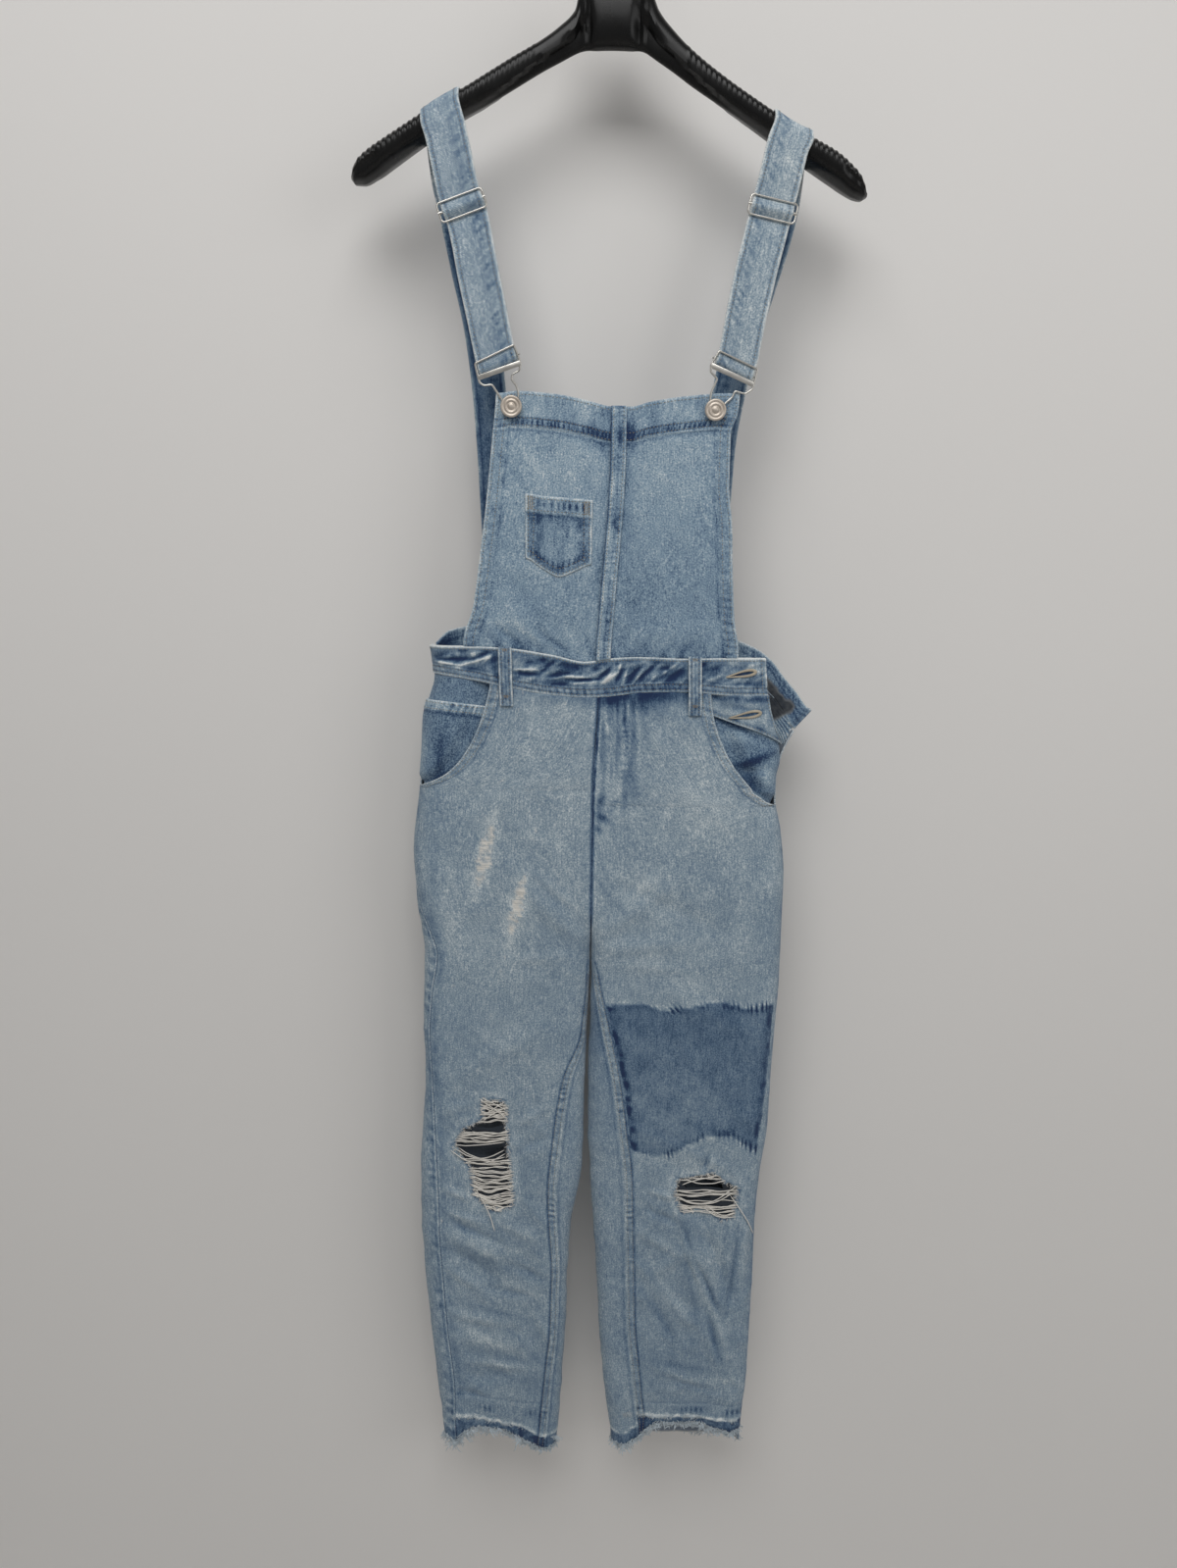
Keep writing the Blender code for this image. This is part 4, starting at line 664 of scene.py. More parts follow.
# Fine creases beyond the main folds: two ends, half width and height.
CREASES = {
    "front": (
        (-150, -1205, -110, -1218, 4, 0.8), (-148, -1216, -96, -1240, 4, -0.9),
        (-150, -1270, -110, -1296, 5, 0.9), (-120, -1290, -66, -1300, 4, -0.8),
        (-100, -1215, -60, -1235, 5, 0.8), (-90, -1262, -50, -1282, 5, -0.9),
        (-150, -1320, -90, -1332, 5, 0.8), (-130, -1376, -70, -1384, 4, 0.8),
        (-60, -1320, -40, -1360, 5, 0.8), (-146, -1410, -110, -1420, 4, -0.7),
        (-150, -1180, -128, -1190, 4, 0.8), (-80, -1110, -50, -1090, 5, 0.7),
        (-84, -1140, -46, -1120, 5, -0.7), (-150, -1095, -120, -1085, 5, 0.6),
        (113, -1139, 109, -1158, 2.4, -1.3), (120, -1140, 112, -1160, 3, 0.8),
        (92, -1222, 98, -1250, 3, -1.3), (101, -1252, 127, -1312, 3, -1.5),
        (92, -1232, 112, -1290, 4, 1.1), (112, -1240, 126, -1290, 4, 1.0),
        (146, -1224, 137, -1322, 3, -1.3), (154, -1216, 150, -1300, 4, 0.8),
        (118, -1320, 131, -1372, 3, -1.2), (126, -1318, 140, -1366, 4, 0.9),
        (70, -1290, 100, -1330, 5, 0.8), (60, -1300, 84, -1350, 5, -0.7),
        (66, -1380, 110, -1400, 5, 0.7), (80, -1395, 130, -1410, 4, -0.6),
        (20, -880, 60, -846, 4, 0.8), (-20, -884, -60, -850, 4, 0.8), (-24, -930, -90, -936, 5, 0.7),
        (20, -940, 86, -944, 5, 0.7), (60, -760, 130, -800, 12, 0.8), (-60, -760, -130, -800, 12, 0.8),
        (40, -700, 60, -730, 6, 0.5), (-60, -690, -90, -720, 7, -0.5),
        (-30, -980, -46, -1060, 8, 0.7), (26, -980, 30, -1060, 6, 0.7),
        (-150, -880, -120, -960, 12, 0.8), (150, -860, 130, -960, 12, 0.8),
        (56, -1180, 80, -1186, 4, 0.8), (52, -1200, 84, -1216, 4, -0.8), (48, -1226, 84, -1250, 5, 0.9),
    ),
    "back": (
        (-150, -830, -90, -860, 6, 0.9), (150, -830, 90, -860, 6, 0.9),
        (-30, -930, -110, -915, 6, -0.9), (30, -930, 110, -915, 6, -0.9),
        (-140, -1120, -70, -1110, 5, 0.8), (140, -1120, 70, -1110, 5, 0.8),
        (-146, -1168, -90, -1180, 4, -1.0), (146, -1174, 90, -1180, 4, -1.0),
        (-140, -1206, -80, -1200, 5, 0.9), (140, -1230, 80, -1226, 5, 0.9),
        (-130, -1260, -70, -1280, 6, 0.8), (130, -1270, 70, -1290, 6, 0.8),
        (-120, -1400, -70, -1390, 5, 0.8), (120, -1400, 70, -1390, 5, 0.8),
        (-60, -1000, -90, -1070, 12, 0.8), (60, -1000, 90, -1070, 12, 0.8),
    ),
    "bib": (
        (-118, -600, -90, -628, 4, 0.9), (-104, -612, -76, -632, 4, -0.8), (-80, -600, -60, -624, 5, 0.8),
        (-54, -610, -44, -634, 4, 0.8), (-30, -616, -24, -638, 4, -0.7), (30, -616, 34, -634, 4, 0.7),
        (54, -612, 44, -634, 4, 0.8), (70, -606, 62, -632, 4, -0.7), (92, -600, 84, -632, 5, 0.8),
        (112, -560, 100, -600, 5, 0.6), (-100, -470, -90, -540, 8, 0.5), (60, -460, 80, -540, 10, 0.6),
        (30, -470, 24, -560, 7, 0.5), (-30, -450, -10, -480, 6, 0.5), (40, -446, 90, -452, 3, 0.4),
    ),
}
BIB_MARKS = (
    (-90, -450, -92, -560, 16, -0.03),
    (-36, -460, -20, -480, 12, 0.04),
    (60, -450, 80, -520, 22, 0.05),
    (30, -560, 60, -600, 20, -0.04),
    (-70, -580, -60, -620, 18, -0.04),
    (20, -450, 22, -620, 5, -0.05),
    (-66, -560, -20, -560, 9, 0.05),
    (-99, -615, -68, -636, 3, -0.1), (-86, -608, -50, -632, 3, 0.08), (-63, -615, -36, -634, 3, -0.08),
    (-36, -614, -22, -636, 2.5, 0.08), (-17, -619, -10, -637, 3, -0.12), (-50, -625, -33, -636, 2.5, -0.1),
    (18, -623, 12, -639, 3, -0.1), (29, -614, 23, -635, 3, 0.08), (45, -621, 36, -639, 3, -0.09),
    (67, -613, 50, -636, 3, 0.08), (87, -622, 72, -635, 3, -0.1), (108, -613, 97, -634, 3, 0.07),
    (111, -577, 115, -631, 3, -0.06), (-5, -441, -1, -466, 4, -0.1), (-4, -543, -7, -596, 4, -0.09),
    (-14, -579, -17, -614, 4, -0.05), (-77, -450, -50, -492, 4, 0.05), (-86, -467, -63, -510, 3, -0.05),
    (-103, -510, -99, -580, 4, -0.05), (-24, -475, -12, -492, 3, -0.05), (28, -466, 73, -491, 3, 0.05),
    (73, -491, 101, -542, 4, -0.05), (39, -543, 76, -595, 4, 0.04), (75, -578, 108, -613, 3, -0.06),
    (63, -465, 103, -456, 3, 0.04), (20, -509, 40, -578, 3, -0.04), (-86, -571, -50, -615, 4, -0.05),
    (-95, -580, -77, -615, 3, 0.06),
)
# The let-down hem of each leg, by place across: its worn line, how dark the cloth is under it, the
# old stitch line above it and the band between that and the indigo dashes.
WORN_LINES = {
    "right": Table(
        "across height deep stitch band",
        (-150, -1443, 0.10, -1416, 13), (-119, -1444, 0.12, -1418, 13), (-98, -1448, 0.14, -1421, 13),
        (-75, -1454, 0.24, -1424, 13), (-50, -1465, 0.36, -1427, 13), (-30, -1468, 0.20, -1428, 13),
    ),
    "left": Table(
        "across height deep stitch band",
        (30, -1436, 0.30, -1420, 8), (47, -1437, 0.32, -1422, 8), (66, -1441, 0.20, -1423, 8),
        (86, -1439, 0.10, -1423, 8), (109, -1439, 0.08, -1423, 8), (129, -1442, 0.26, -1425, 8),
        (155, -1445, 0.26, -1428, 8),
    ),
}
PATCH_EDGES = Table(
    "across top foot",
    (1, -982, -1131), (26, -980, -1132), (38, -979, -1135), (41, -979, -1137), (63, -985, -1141),
    (95, -981, -1127), (114, -977, -1118), (134, -980, -1118), (150, -983, -1128), (171, -979, -1138),
)
PATCH_SIDE = Table("height across", (-1150, 160), (-1132, 162), (-1100, 165), (-1066, 168), (-1014, 171), (-970, 172))
FLY_STITCH = Table("height across", (-802, 0), (-796, 4), (-790, 9), (-780, 16), (-770, 20), (-761, 22), (-720, 24), (-679, 24))
BACK_YOKE = Table("across height", (0, -724), (60, -716), (120, -702), (170, -690))
THIGH_SPOTS = ((-103, -800, -118, -864, 8.0), (-72, -850, -86, -911, 7.0))
KNEE_ROWS = {
    "right": ((-1068, 1.5), (-1212, 3.0)),
    "left": ((-1156, 1.5), (-1214, 3.0)),
}
KNEE_RIPS = {
    "right": (
        (-114, -1081), (-91, -1084), (-90, -1113), (-86, -1163), (-85, -1198), (-105, -1202),
        (-122, -1185), (-125, -1156), (-143, -1133), (-133, -1114), (-113, -1103),
    ),
    "left": (
        (81, -1184), (81, -1168), (107, -1162), (119, -1158), (130, -1169), (144, -1174),
        (140, -1206), (128, -1209), (110, -1196), (89, -1201),
    ),
}
BUTTONHOLES = ((114, -658, 142, -652.5), (118, -696, 148, -690.5))
BUTTONHOLE_HEIGHT = 4.5
# The shade inside the flaring end of the back waistband, and the underlap that closes its side: two
# lines of points from its inner end to the open side.
FLARE_SHADE = [(155, -658), (170, -672), (191, -690), (165, -705), (158, -706), (152, -683)]
UNDERLAP_TOP = ((156, 14.6, -670), (165, 14.2, -682), (174, 11.5, -695), (180.5, 5.0, -706))
UNDERLAP_FOOT = ((158, 12.0, -712), (164, 10.0, -719), (170, 7.0, -723), (174.0, 2.6, -723))
# Blotches and streaks beside the fly seam: two ends, half width and strength.
FLY_MARKS = (
    (-2, -676, 12, -676, 4, -0.2), (-1, -683, 11, -681, 3, -0.16), (20, -679, 20, -709, 1.8, -0.16),
    (28, -679, 30, -718, 2.0, -0.15), (37, -677, 39, -715, 2.0, -0.1), (13, -679, 15, -692, 1.6, -0.12),
    (5, -688, 5, -723, 2.2, 0.1), (33, -688, 34, -751, 2.4, 0.08), (24, -682, 25, -704, 1.4, 0.1),
    (1, -700, -1, -751, 2.0, -0.1), (11, -695, 11, -742, 1.8, -0.08), (23, -747, 21, -760, 3.4, -0.09),
    (1, -768, -2, -788, 3.4, -0.16), (-4, -791, 7, -796, 3.6, -0.22), (-6, -800, 0, -806, 3.0, -0.18),
    (-7, -808, -7, -837, 2.2, -0.12), (18, -772, 9, -783, 2.0, -0.1), (28, -760, 31, -789, 4.0, 0.05),
    (-2, -679, -7, -780, 1.0, -0.22), (-7, -780, -9, -808, 1.0, -0.25),
)

# ---------------------------------------------------------------- small mathematics

def smooth_step(t):
    t = np.clip(t, 0.0, 1.0)
    return t * t * (3 - 2 * t)


def between(a, b, share):
    return a + (b - a) * share


def bell(distance, width):
    return np.exp(-((distance / width) ** 2))


def stripes(distance, *rows):
    """The sum of soft stripes beside an edge: strength, how far in, and half width."""
    return sum(strength * bell(distance - place, width) for strength, place, width in rows)


def spot(x, z, across, height, half_width, half_height):
    return bell(x - across, half_width) * bell(z - height, half_height)


def until(distance, end, over):
    """1 up to a distance, falling to 0 over a width."""
    return 1 - smooth_step((distance - end) / over)


def rounding(distance, radius):
    """Height of a quarter ellipse at a distance in from its edge, from 0 to 1."""
    left = 1 - np.minimum(distance / radius, 1.0)
    return np.sqrt(np.maximum(0.0, 1 - left * left))


def lattice(i, j, seed):
    """A repeatable value from -1 to 1 for each whole-numbered place."""
    turn = np.sin(i * 127.1 + j * 311.7 + seed * 74.7) * 43758.5453
    return 2 * (turn - np.floor(turn)) - 1


def cloud(x, z, size, seed):
    """Smooth noise from -1 to 1 whose lumps are about this size."""
    x, z = x / size, z / size
    i, j = np.floor(x), np.floor(z)
    u, v = smooth_step(x - i), smooth_step(z - j)
    low = between(lattice(i, j, seed), lattice(i + 1, j, seed), u)
    high = between(lattice(i, j + 1, seed), lattice(i + 1, j + 1, seed), u)
    return between(low, high, v)


def drift(run, size, seed):
    """Smooth noise from -1 to 1 along a line."""
    return cloud(run, run * 0.0, size, seed)


def billow(x, z, size, seed):
    """Noise of three sizes, for cloudy wash."""
    total = cloud(x, z, size, seed) + 0.5 * cloud(x, z, size / 2.1, seed + 1)
    return (total + 0.25 * cloud(x, z, size / 4.3, seed + 2)) / 1.75


def nearest(x1, z1, x2, z2, x, z, clipped=True):
    """The share along a segment nearest each place, the point there and its distance."""
    share = ((x - x1) * (x2 - x1) + (z - z1) * (z2 - z1)) / ((x2 - x1) ** 2 + (z2 - z1) ** 2)
    share = np.clip(share, 0.0, 1.0) if clipped else share
    px, pz = between(x1, x2, share), between(z1, z2, share)
    return share, px, pz, np.hypot(x - px, z - pz)


def strokes(rows, x, z):
    """The sum of soft strokes: two ends, half width, and height or strength."""
    total = np.zeros(np.broadcast(x, z).shape)
    for *ends, half_width, height in rows:
        share, _, _, away = nearest(*ends, x, z)
        total = total + height * np.sin(np.pi * between(0.12, 0.88, share)) * bell(away, half_width)
    return total


def inside(outline, x, z):
    """Whether each point lies within a closed outline."""
    found = np.zeros(np.broadcast(x, z).shape, bool)
    for (x1, z1), (x2, z2) in zip(outline, outline[1:] + outline[:1]):
        crosses = (z1 > z) != (z2 > z)
        found ^= crosses & (x < (x2 - x1) * (z - z1) / (z2 - z1 + 1e-12) + x1)
    return found


def edge_distance(outline, x, z):
    """Distance to a closed outline, and the nearest point on it."""
    best = np.full(np.broadcast(x, z).shape, 1e9)
    near_x, near_z = np.zeros(best.shape), np.zeros(best.shape)
    for start, end in zip(outline, outline[1:] + outline[:1]):
        _, px, pz, away = nearest(*start, *end, x, z)
        closer = away < best
        best = np.where(closer, away, best)
        near_x, near_z = np.where(closer, px, near_x), np.where(closer, pz, near_z)
    return best, near_x, near_z


def run_along(points):
    """Length along a line up to each of its points."""
    return np.concatenate([[0], np.cumsum(np.linalg.norm(np.diff(points, axis=0), axis=1))])


def sampled(run, values, at):
    """Rows of values at these lengths along a line."""
    return np.stack([np.interp(at, run, column) for column in values.T], axis=-1)


def smooth_columns(run, points, at):
    """Points at these lengths on a smooth curve through points."""
    columns = [Table("run place", *zip(run, column)) for column in np.array(points).T]
    return np.stack([column.read("place", at) for column in columns], axis=-1)


def spaced_by(spans):
    """Places in spans of start, end and count."""
    return np.concatenate([np.linspace(a, b, count) for a, b, count in spans])


def spaced(stops):
    """Places from (place, step) stops: from each stop to the next with about that step."""
    places = []
    for (a, step), (b, _) in zip(stops, stops[1:]):
        count = max(1, round(abs(b - a) / step))
        places += list(np.linspace(a, b, count, endpoint=False))
    return np.array(places + [stops[-1][0]])


# ---------------------------------------------------------------- the body's surface

def side_open(half, z):
    """1 where the undone side placket leaves the front edge free, 0 where the side is sewn."""
    opened = smooth_step((z - PLACKET_FOOT) / PLACKET_EASE)
    return opened if half == "left" else np.zeros_like(opened)


def inner_edge(half, z):
    """Place across of the centre line or of a leg's inner side, clear of the other half."""
    return HALVES[half].read("inner", z) - (SEAM_GAP if half == "right" else -SEAM_GAP) / 2


def ring_x(half, s, z):
    """Place across: s runs 0 to 1 along the front from the outer side, and 1 to 2 along the back."""
    table = HALVES[half]
    turned = np.mod(s, 2.0)
    on_front = turned <= 1.0
    share = np.where(on_front, turned, 2.0 - turned)
    outer = np.where(on_front, table.read("front_outer", z), table.read("back_outer", z))
    return between(outer, inner_edge(half, z), (1 - np.cos(np.pi * share)) / 2), on_front


def main_folds(face, x, z):
    return strokes([row[1:] for row in FOLDS if row[0] == face], x, z)


def surface(half, s, z):
    """Points of the cloth's outer face on the hips or a leg."""
    s, z = np.broadcast_arrays(np.asarray(s, float), np.asarray(z, float))
    table = HALVES[half]
    x, on_front = ring_x(half, s, z)
    depth = np.where(on_front, table.read("front", z), table.read("back", z))
    outer = np.where(on_front, table.read("front_outer", z), table.read("back_outer", z))
    outer_round = rounding(np.abs(x - outer), EDGE_ROUND * depth)
    freed = between(outer_round, 1.0, 0.85 * side_open(half, z))
    outer_round = np.where(on_front, freed, outer_round)
    inner_round = rounding(np.abs(x - inner_edge(half, z)), EDGE_ROUND * depth)
    fork = smooth_step((CROTCH + FORK_HEIGHT - z) / FORK_HEIGHT)
    stand = outer_round * between(1.0, inner_round, fork)
    relief = np.where(on_front, main_folds("front", x, z), main_folds("back", x, z))
    y = depth * stand + relief * stand**2
    return np.stack((x, np.where(on_front, -y, y), z), axis=-1)


def share_at(half, face, x, z):
    """The s of a place across, on the front or the back."""
    outer = HALVES[half].read(face + "_outer", z)
    along = np.clip((x - outer) / (inner_edge(half, z) - outer), 0.0, 1.0)
    s = np.arccos(1 - 2 * along) / np.pi
    return s if face == "front" else 2.0 - s


def seam_share(half, seam, z):
    """The s of the side seam or the inseam."""
    table = HALVES[half]
    inset = table.read(seam, z) / np.abs(table.read("front_outer", z) - inner_edge(half, z))
    s = np.arccos(1 - 2 * inset) / np.pi
    return s if seam == "side_seam" else 1.0 - s


def beyond_gap(half, s, z, direction):
    """The s that lies half a seam's gap from s, towards the direction."""
    s, z = np.broadcast_arrays(np.asarray(s, float), np.asarray(z, float))
    start = surface(half, s, z)
    near, far = np.zeros(s.shape), np.full(s.shape, 0.2)
    for _ in range(18):
        middle = (near + far) / 2
        away = np.linalg.norm(surface(half, s + direction * middle, z) - start, axis=-1)
        short = away < SEAM_GAP / 2
        near, far = np.where(short, middle, near), np.where(short, far, middle)
    return s + direction * far


def row_height(face, x, nominal):
    """Height of a row of the panels at a place across: it meets the waistband and the raw hem."""
    table = WAIST_LINES if face == "front" else BACK_WAIST
    top = table.read("band_bottom", x) - PANEL_TOP - (SEAM_GAP if face == "front" else 1.3)
    upper = np.clip((nominal - POCKET_END) / (PANEL_TOP - POCKET_END), 0.0, 1.0)
    hem = HEM_LINES.read("front", x) - HEM if face == "front" else -7.0
    lower = smooth_step((HEM + 40 - nominal) / 40)
    return nominal + top * upper + hem * lower


def panel_grid(half, nominal, s):
    """The outer face of a panel: nominal heights down the rows, s along each row."""
    nominal = nominal[:, None] + np.zeros(s.shape)
    z = nominal.copy()
    for _ in range(3):
        front_side = np.mod(s, 2.0) <= 1.0
        x = ring_x(half, s, z)[0]
        z = np.where(front_side, row_height("front", x, nominal), row_height("back", x, nominal))
    return surface(half, s, z)


def pocket_edge(half, z):
    """Place across of the hip pocket opening's edge."""
    above = POCKET_CURVES.read(half, z)
    if half == "right":
        return above
    return np.where(z < POCKET_END, LEFT_POCKET_FOOT.read("across", z), above)


def pocket_foot(half):
    return POCKET_END if half == "right" else LEFT_POCKET_FOOT.rows[0, 0]


def bib_points(x, z, offset):
    """Points of the bib's outer face, moved out by the offset. It hangs a little forward."""
    up = (z - BIB_FOOT) / BIB_HEIGHT
    y = between(*BIB_STAND, up)
    y = y + BIB_BELLY * np.sin(np.pi * up) * np.sin(np.pi * (x + 110.0) / 225.0)
    for across, height, half_width, half_height, stand in BIB_SWELLS:
        swell = -(((x - across) / half_width) ** 2) - ((z - height) / half_height) ** 2
        y = y + stand * np.exp(swell)
    return np.stack((x, -(y + offset), z), axis=-1)


def hanger_section(x, angle, grow=0.0):
    """y and z on the hanger's section, angle 0 behind, 90 on top and 180 in front."""
    top, under = HANGER.read("top", x), HANGER.read("under", x)
    depth = HANGER.read("depth", x)
    turn = np.radians(angle)
    power = 2 / HANGER_CORNER
    flat = np.copysign(np.abs(np.cos(turn)) ** power, np.cos(turn))
    tall = np.copysign(np.abs(np.sin(turn)) ** power, np.sin(turn))
    return (depth + grow) * flat, (top + under) / 2 + ((top - under) / 2 + grow) * tall


# ---------------------------------------------------------------- cloth

def arc_lengths(grid):
    """Lengths along the rows and down the columns of a grid of points."""
    across = np.linalg.norm(np.diff(grid, axis=1), axis=-1)
    down = np.linalg.norm(np.diff(grid, axis=0), axis=-1)
    u = np.concatenate([np.zeros((len(grid), 1)), np.cumsum(across, axis=1)], axis=1)
    v = np.concatenate([np.zeros((1, grid.shape[1])), np.cumsum(down, axis=0)], axis=0)
    return u, v


def normals_of(grid, towards, at=(0.5, 0.5)):
    """Unit normals of a grid, turned so that they face this way at a place on it."""
    out = np.cross(np.gradient(grid, axis=0), np.gradient(grid, axis=1))
    out /= np.linalg.norm(out, axis=-1, keepdims=True)
    probe = out[int(at[0] * (len(grid) - 1)), int(at[1] * (grid.shape[1] - 1))]
    return -out if probe @ np.array(towards) < 0 else out


def cut_size(grid):
    """Flat width, length and area of the cloth that a grid of millimetres stands for, in metres."""
    u, v = arc_lengths(grid)
    width, length = round(u[:, -1].max() * MM, 4), round(v[-1].max() * MM, 4)
    sides = np.cross(grid[1:, :-1] - grid[:-1, :-1], grid[:-1, 1:] - grid[:-1, :-1])
    area = np.linalg.norm(sides, axis=-1).sum() * MM * MM
    return (width, length), min(area, width * length)


class Sheet:
    """A fine grid of cloth, with what its finish reads at each point.

    points and out are the outer face and its normals; wash runs from 0, deep indigo, to 1, worn
    white; fray is 1 where only pale threads are left, and -1 where a hollow is painted in deep
    shade. The inside's own values are set where the inner face looks different.
    """

    def __init__(self, points, towards, at=(0.5, 0.5)):
        self.points = points
        self.out = normals_of(points, towards, at)
        self.u, self.v = arc_lengths(points)
        self.flat, self.area = cut_size(points)
        self.wash = np.zeros(points.shape[:2])
        self.fray_and_hollow_shade = np.zeros(points.shape[:2])
        self.wash_inside = self.fray_and_hollow_shade_inside = None
        self.cut = []

    @property
    def x(self):
        return self.points[..., 0]

    @property
    def z(self):
        return self.points[..., 2]

    @property
    def from_side(self):
        return np.minimum(self.u, self.from_far_side)

    @property
    def from_far_side(self):
        return self.u[:, -1:] - self.u

    @property
    def from_foot(self):
        return self.v[-1:] - self.v

    def fray_to(self, fray_and_hollow_shade):
        self.fray_and_hollow_shade = np.maximum(self.fray_and_hollow_shade, fray_and_hollow_shade)

    def raise_by(self, height):
        self.points = self.points + self.out * height[..., None]


def holes_in(sheet, keep):
    """Clears the quads whose middle lies in a cut outline, and moves the rim's points to it."""
    middle = (sheet.points[1:, 1:] + sheet.points[:-1, :-1]) / 2
    for outline in sheet.cut:
        gone = inside(outline, middle[..., 0], middle[..., 2]) & (middle[..., 1] < 0)
        keep &= ~gone
        touched = np.zeros(sheet.points.shape[:2], int)
        for rows in (slice(0, -1), slice(1, None)):
            for columns in (slice(0, -1), slice(1, None)):
                touched[rows, columns] += gone
        rim = (touched > 0) & (touched < 4)
        _, near_x, near_z = edge_distance(outline, sheet.x, sheet.z)
        sheet.points[..., 0] = np.where(rim, near_x, sheet.x)
        sheet.points[..., 2] = np.where(rim, near_z, sheet.z)
    return keep


def new_object(name, data):
    made = bpy.data.objects.new(name, data)
    bpy.context.scene.collection.objects.link(made)
    return made


def on_root(piece, node=None):
    """Rides a piece on the only body, and hides the solid it replaces."""
    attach(piece, "root")
    if node:
        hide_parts(node)
    return piece


def cloth_object(node, sheet, thick, slot="light_denim", lining=None, has_solid=True):
    """A closed two-sided shell of a sheet, with rounded rims, its UV map and its attributes."""
    name = f"{node}_cloth"
    keep = np.ones((sheet.points.shape[0] - 1, sheet.points.shape[1] - 1), bool)
    if sheet.cut:
        keep = holes_in(sheet, keep)
    rows, columns = sheet.points.shape[:2]
    wall = thick if np.ndim(thick) else np.full((rows, columns), float(thick))
    inner = sheet.points - sheet.out * wall[..., None]
    index = np.arange(rows * columns).reshape(rows, columns)
    a, b, c, d = index[:-1, :-1], index[:-1, 1:], index[1:, 1:], index[1:, :-1]
    quads = np.stack((a, d, c, b), axis=-1)[keep]
    side = np.cross(sheet.points[1, 0] - sheet.points[0, 0], sheet.points[0, 1] - sheet.points[0, 0])
    if side @ sheet.out[0, 0] < 0:
        quads = quads[:, ::-1]
    count = rows * columns
    backs = quads[:, ::-1] + count

    # Directed edges that no neighbour shares lie on a rim.
    ends = np.concatenate([np.stack((quads[:, i], quads[:, (i + 1) % 4]), axis=-1) for i in range(4)])
    code = ends[:, 0] * (count + 1) + ends[:, 1]
    back_code = ends[:, 1] * (count + 1) + ends[:, 0]
    rim = ends[~np.isin(code, back_code)]
    on_rim = np.unique(rim)
    place = np.full(count, -1)
    place[on_rim] = np.arange(len(on_rim)) + 2 * count

    # The rim's middle points stand out from the cloth a little, square to the rim.
    flat_points, flat_inner = sheet.points.reshape(-1, 3), inner.reshape(-1, 3)
    flat_out = sheet.out.reshape(-1, 3)
    push = np.zeros((count, 3))
    along = flat_points[rim[:, 1]] - flat_points[rim[:, 0]]
    square = np.cross(along, flat_out[rim[:, 0]])
    square /= np.linalg.norm(square, axis=1, keepdims=True) + 1e-12
    np.add.at(push, rim[:, 0], square)
    np.add.at(push, rim[:, 1], square)
    push /= np.linalg.norm(push, axis=1, keepdims=True) + 1e-12
    stand = RIM_STAND * wall.reshape(-1, 1)
    middle = (flat_points + flat_inner) / 2 + push * stand
    first = np.stack((rim[:, 1], rim[:, 0], place[rim[:, 0]], place[rim[:, 1]]), axis=-1)
    second = np.stack((first[:, 3], first[:, 2], rim[:, 0] + count, rim[:, 1] + count), axis=-1)

    verts = np.concatenate([flat_points, flat_inner, middle[on_rim]]) * MM
    faces = np.concatenate([quads, backs, first, second])
    used = np.unique(faces)
    renumber = np.full(len(verts), -1)
    renumber[used] = np.arange(len(used))
    mesh = bpy.data.meshes.new(name)
    mesh.from_pydata(verts[used].tolist(), [], renumber[faces].tolist())
    for label, values, inside_values in (
        ("wash", sheet.wash, sheet.wash_inside), ("fray_and_hollow_shade", sheet.fray_and_hollow_shade, sheet.fray_and_hollow_shade_inside)
    ):
        flat = values.reshape(-1)
        flat_inside = flat if inside_values is None else inside_values.reshape(-1)
        if label == "wash":
            on_edge = np.clip(flat[on_rim] + RIM_WEAR, 0, 1)
        else:
            on_edge = np.minimum(flat, flat_inside)[on_rim]
        flat = np.concatenate([flat, flat_inside, on_edge])[used]
        mesh.attributes.new(label, "FLOAT", "POINT").data.foreach_set(
            "value", flat.astype(np.float32)
        )
    flat_uv = np.stack((sheet.u, -sheet.v), axis=-1).reshape(-1, 2) * MM
    flat_uv = np.concatenate([flat_uv, flat_uv, flat_uv[on_rim]])[used]
    corners = np.zeros(len(mesh.loops), np.int32)
    mesh.loops.foreach_get("vertex_index", corners)
    mesh.uv_layers.new(name="cloth").data.foreach_set(
        "uv", flat_uv[corners].astype(np.float32).ravel()
    )
    mesh.materials.append(light_denim() if slot == "light_denim" else blue_denim())
    mesh.materials.append(lining or wrong_side())
    sides = np.zeros(len(faces), np.int32)
    sides[len(quads):2 * len(quads)] = 1
    mesh.polygons.foreach_set("material_index", sides)
    mesh.shade_smooth()
    mesh.validate()
    return on_root(new_object(name, mesh), node if has_solid else None), sheet


# ---------------------------------------------------------------- thread

def crossing(lengths, values, distance):
    """Each row's value where its length reaches the distance."""
    return np.array([[np.interp(distance, u, v) for v in each.T] for u, each in zip(lengths, values)])


def side_line(sheet, distance, far=False, rows=slice(None)):
    """Points and normals this far in from a side of a sheet."""
    u = sheet.from_far_side[:, ::-1] if far else sheet.u
    points, out = (a[:, ::-1] if far else a for a in (sheet.points, sheet.out))
    return crossing(u[rows], points[rows], distance), crossing(u[rows], out[rows], distance)


def end_line(sheet, distance, foot=False, columns=slice(None)):
    """Points and normals this far in from the top or the foot of a sheet."""
    v = sheet.from_foot[::-1] if foot else sheet.v
    points, out = (a[::-1] if foot else a for a in (sheet.points, sheet.out))
    v, points, out = (a.swapaxes(0, 1)[columns] for a in (v, points, out))
    return crossing(v, points, distance), crossing(v, out, distance)


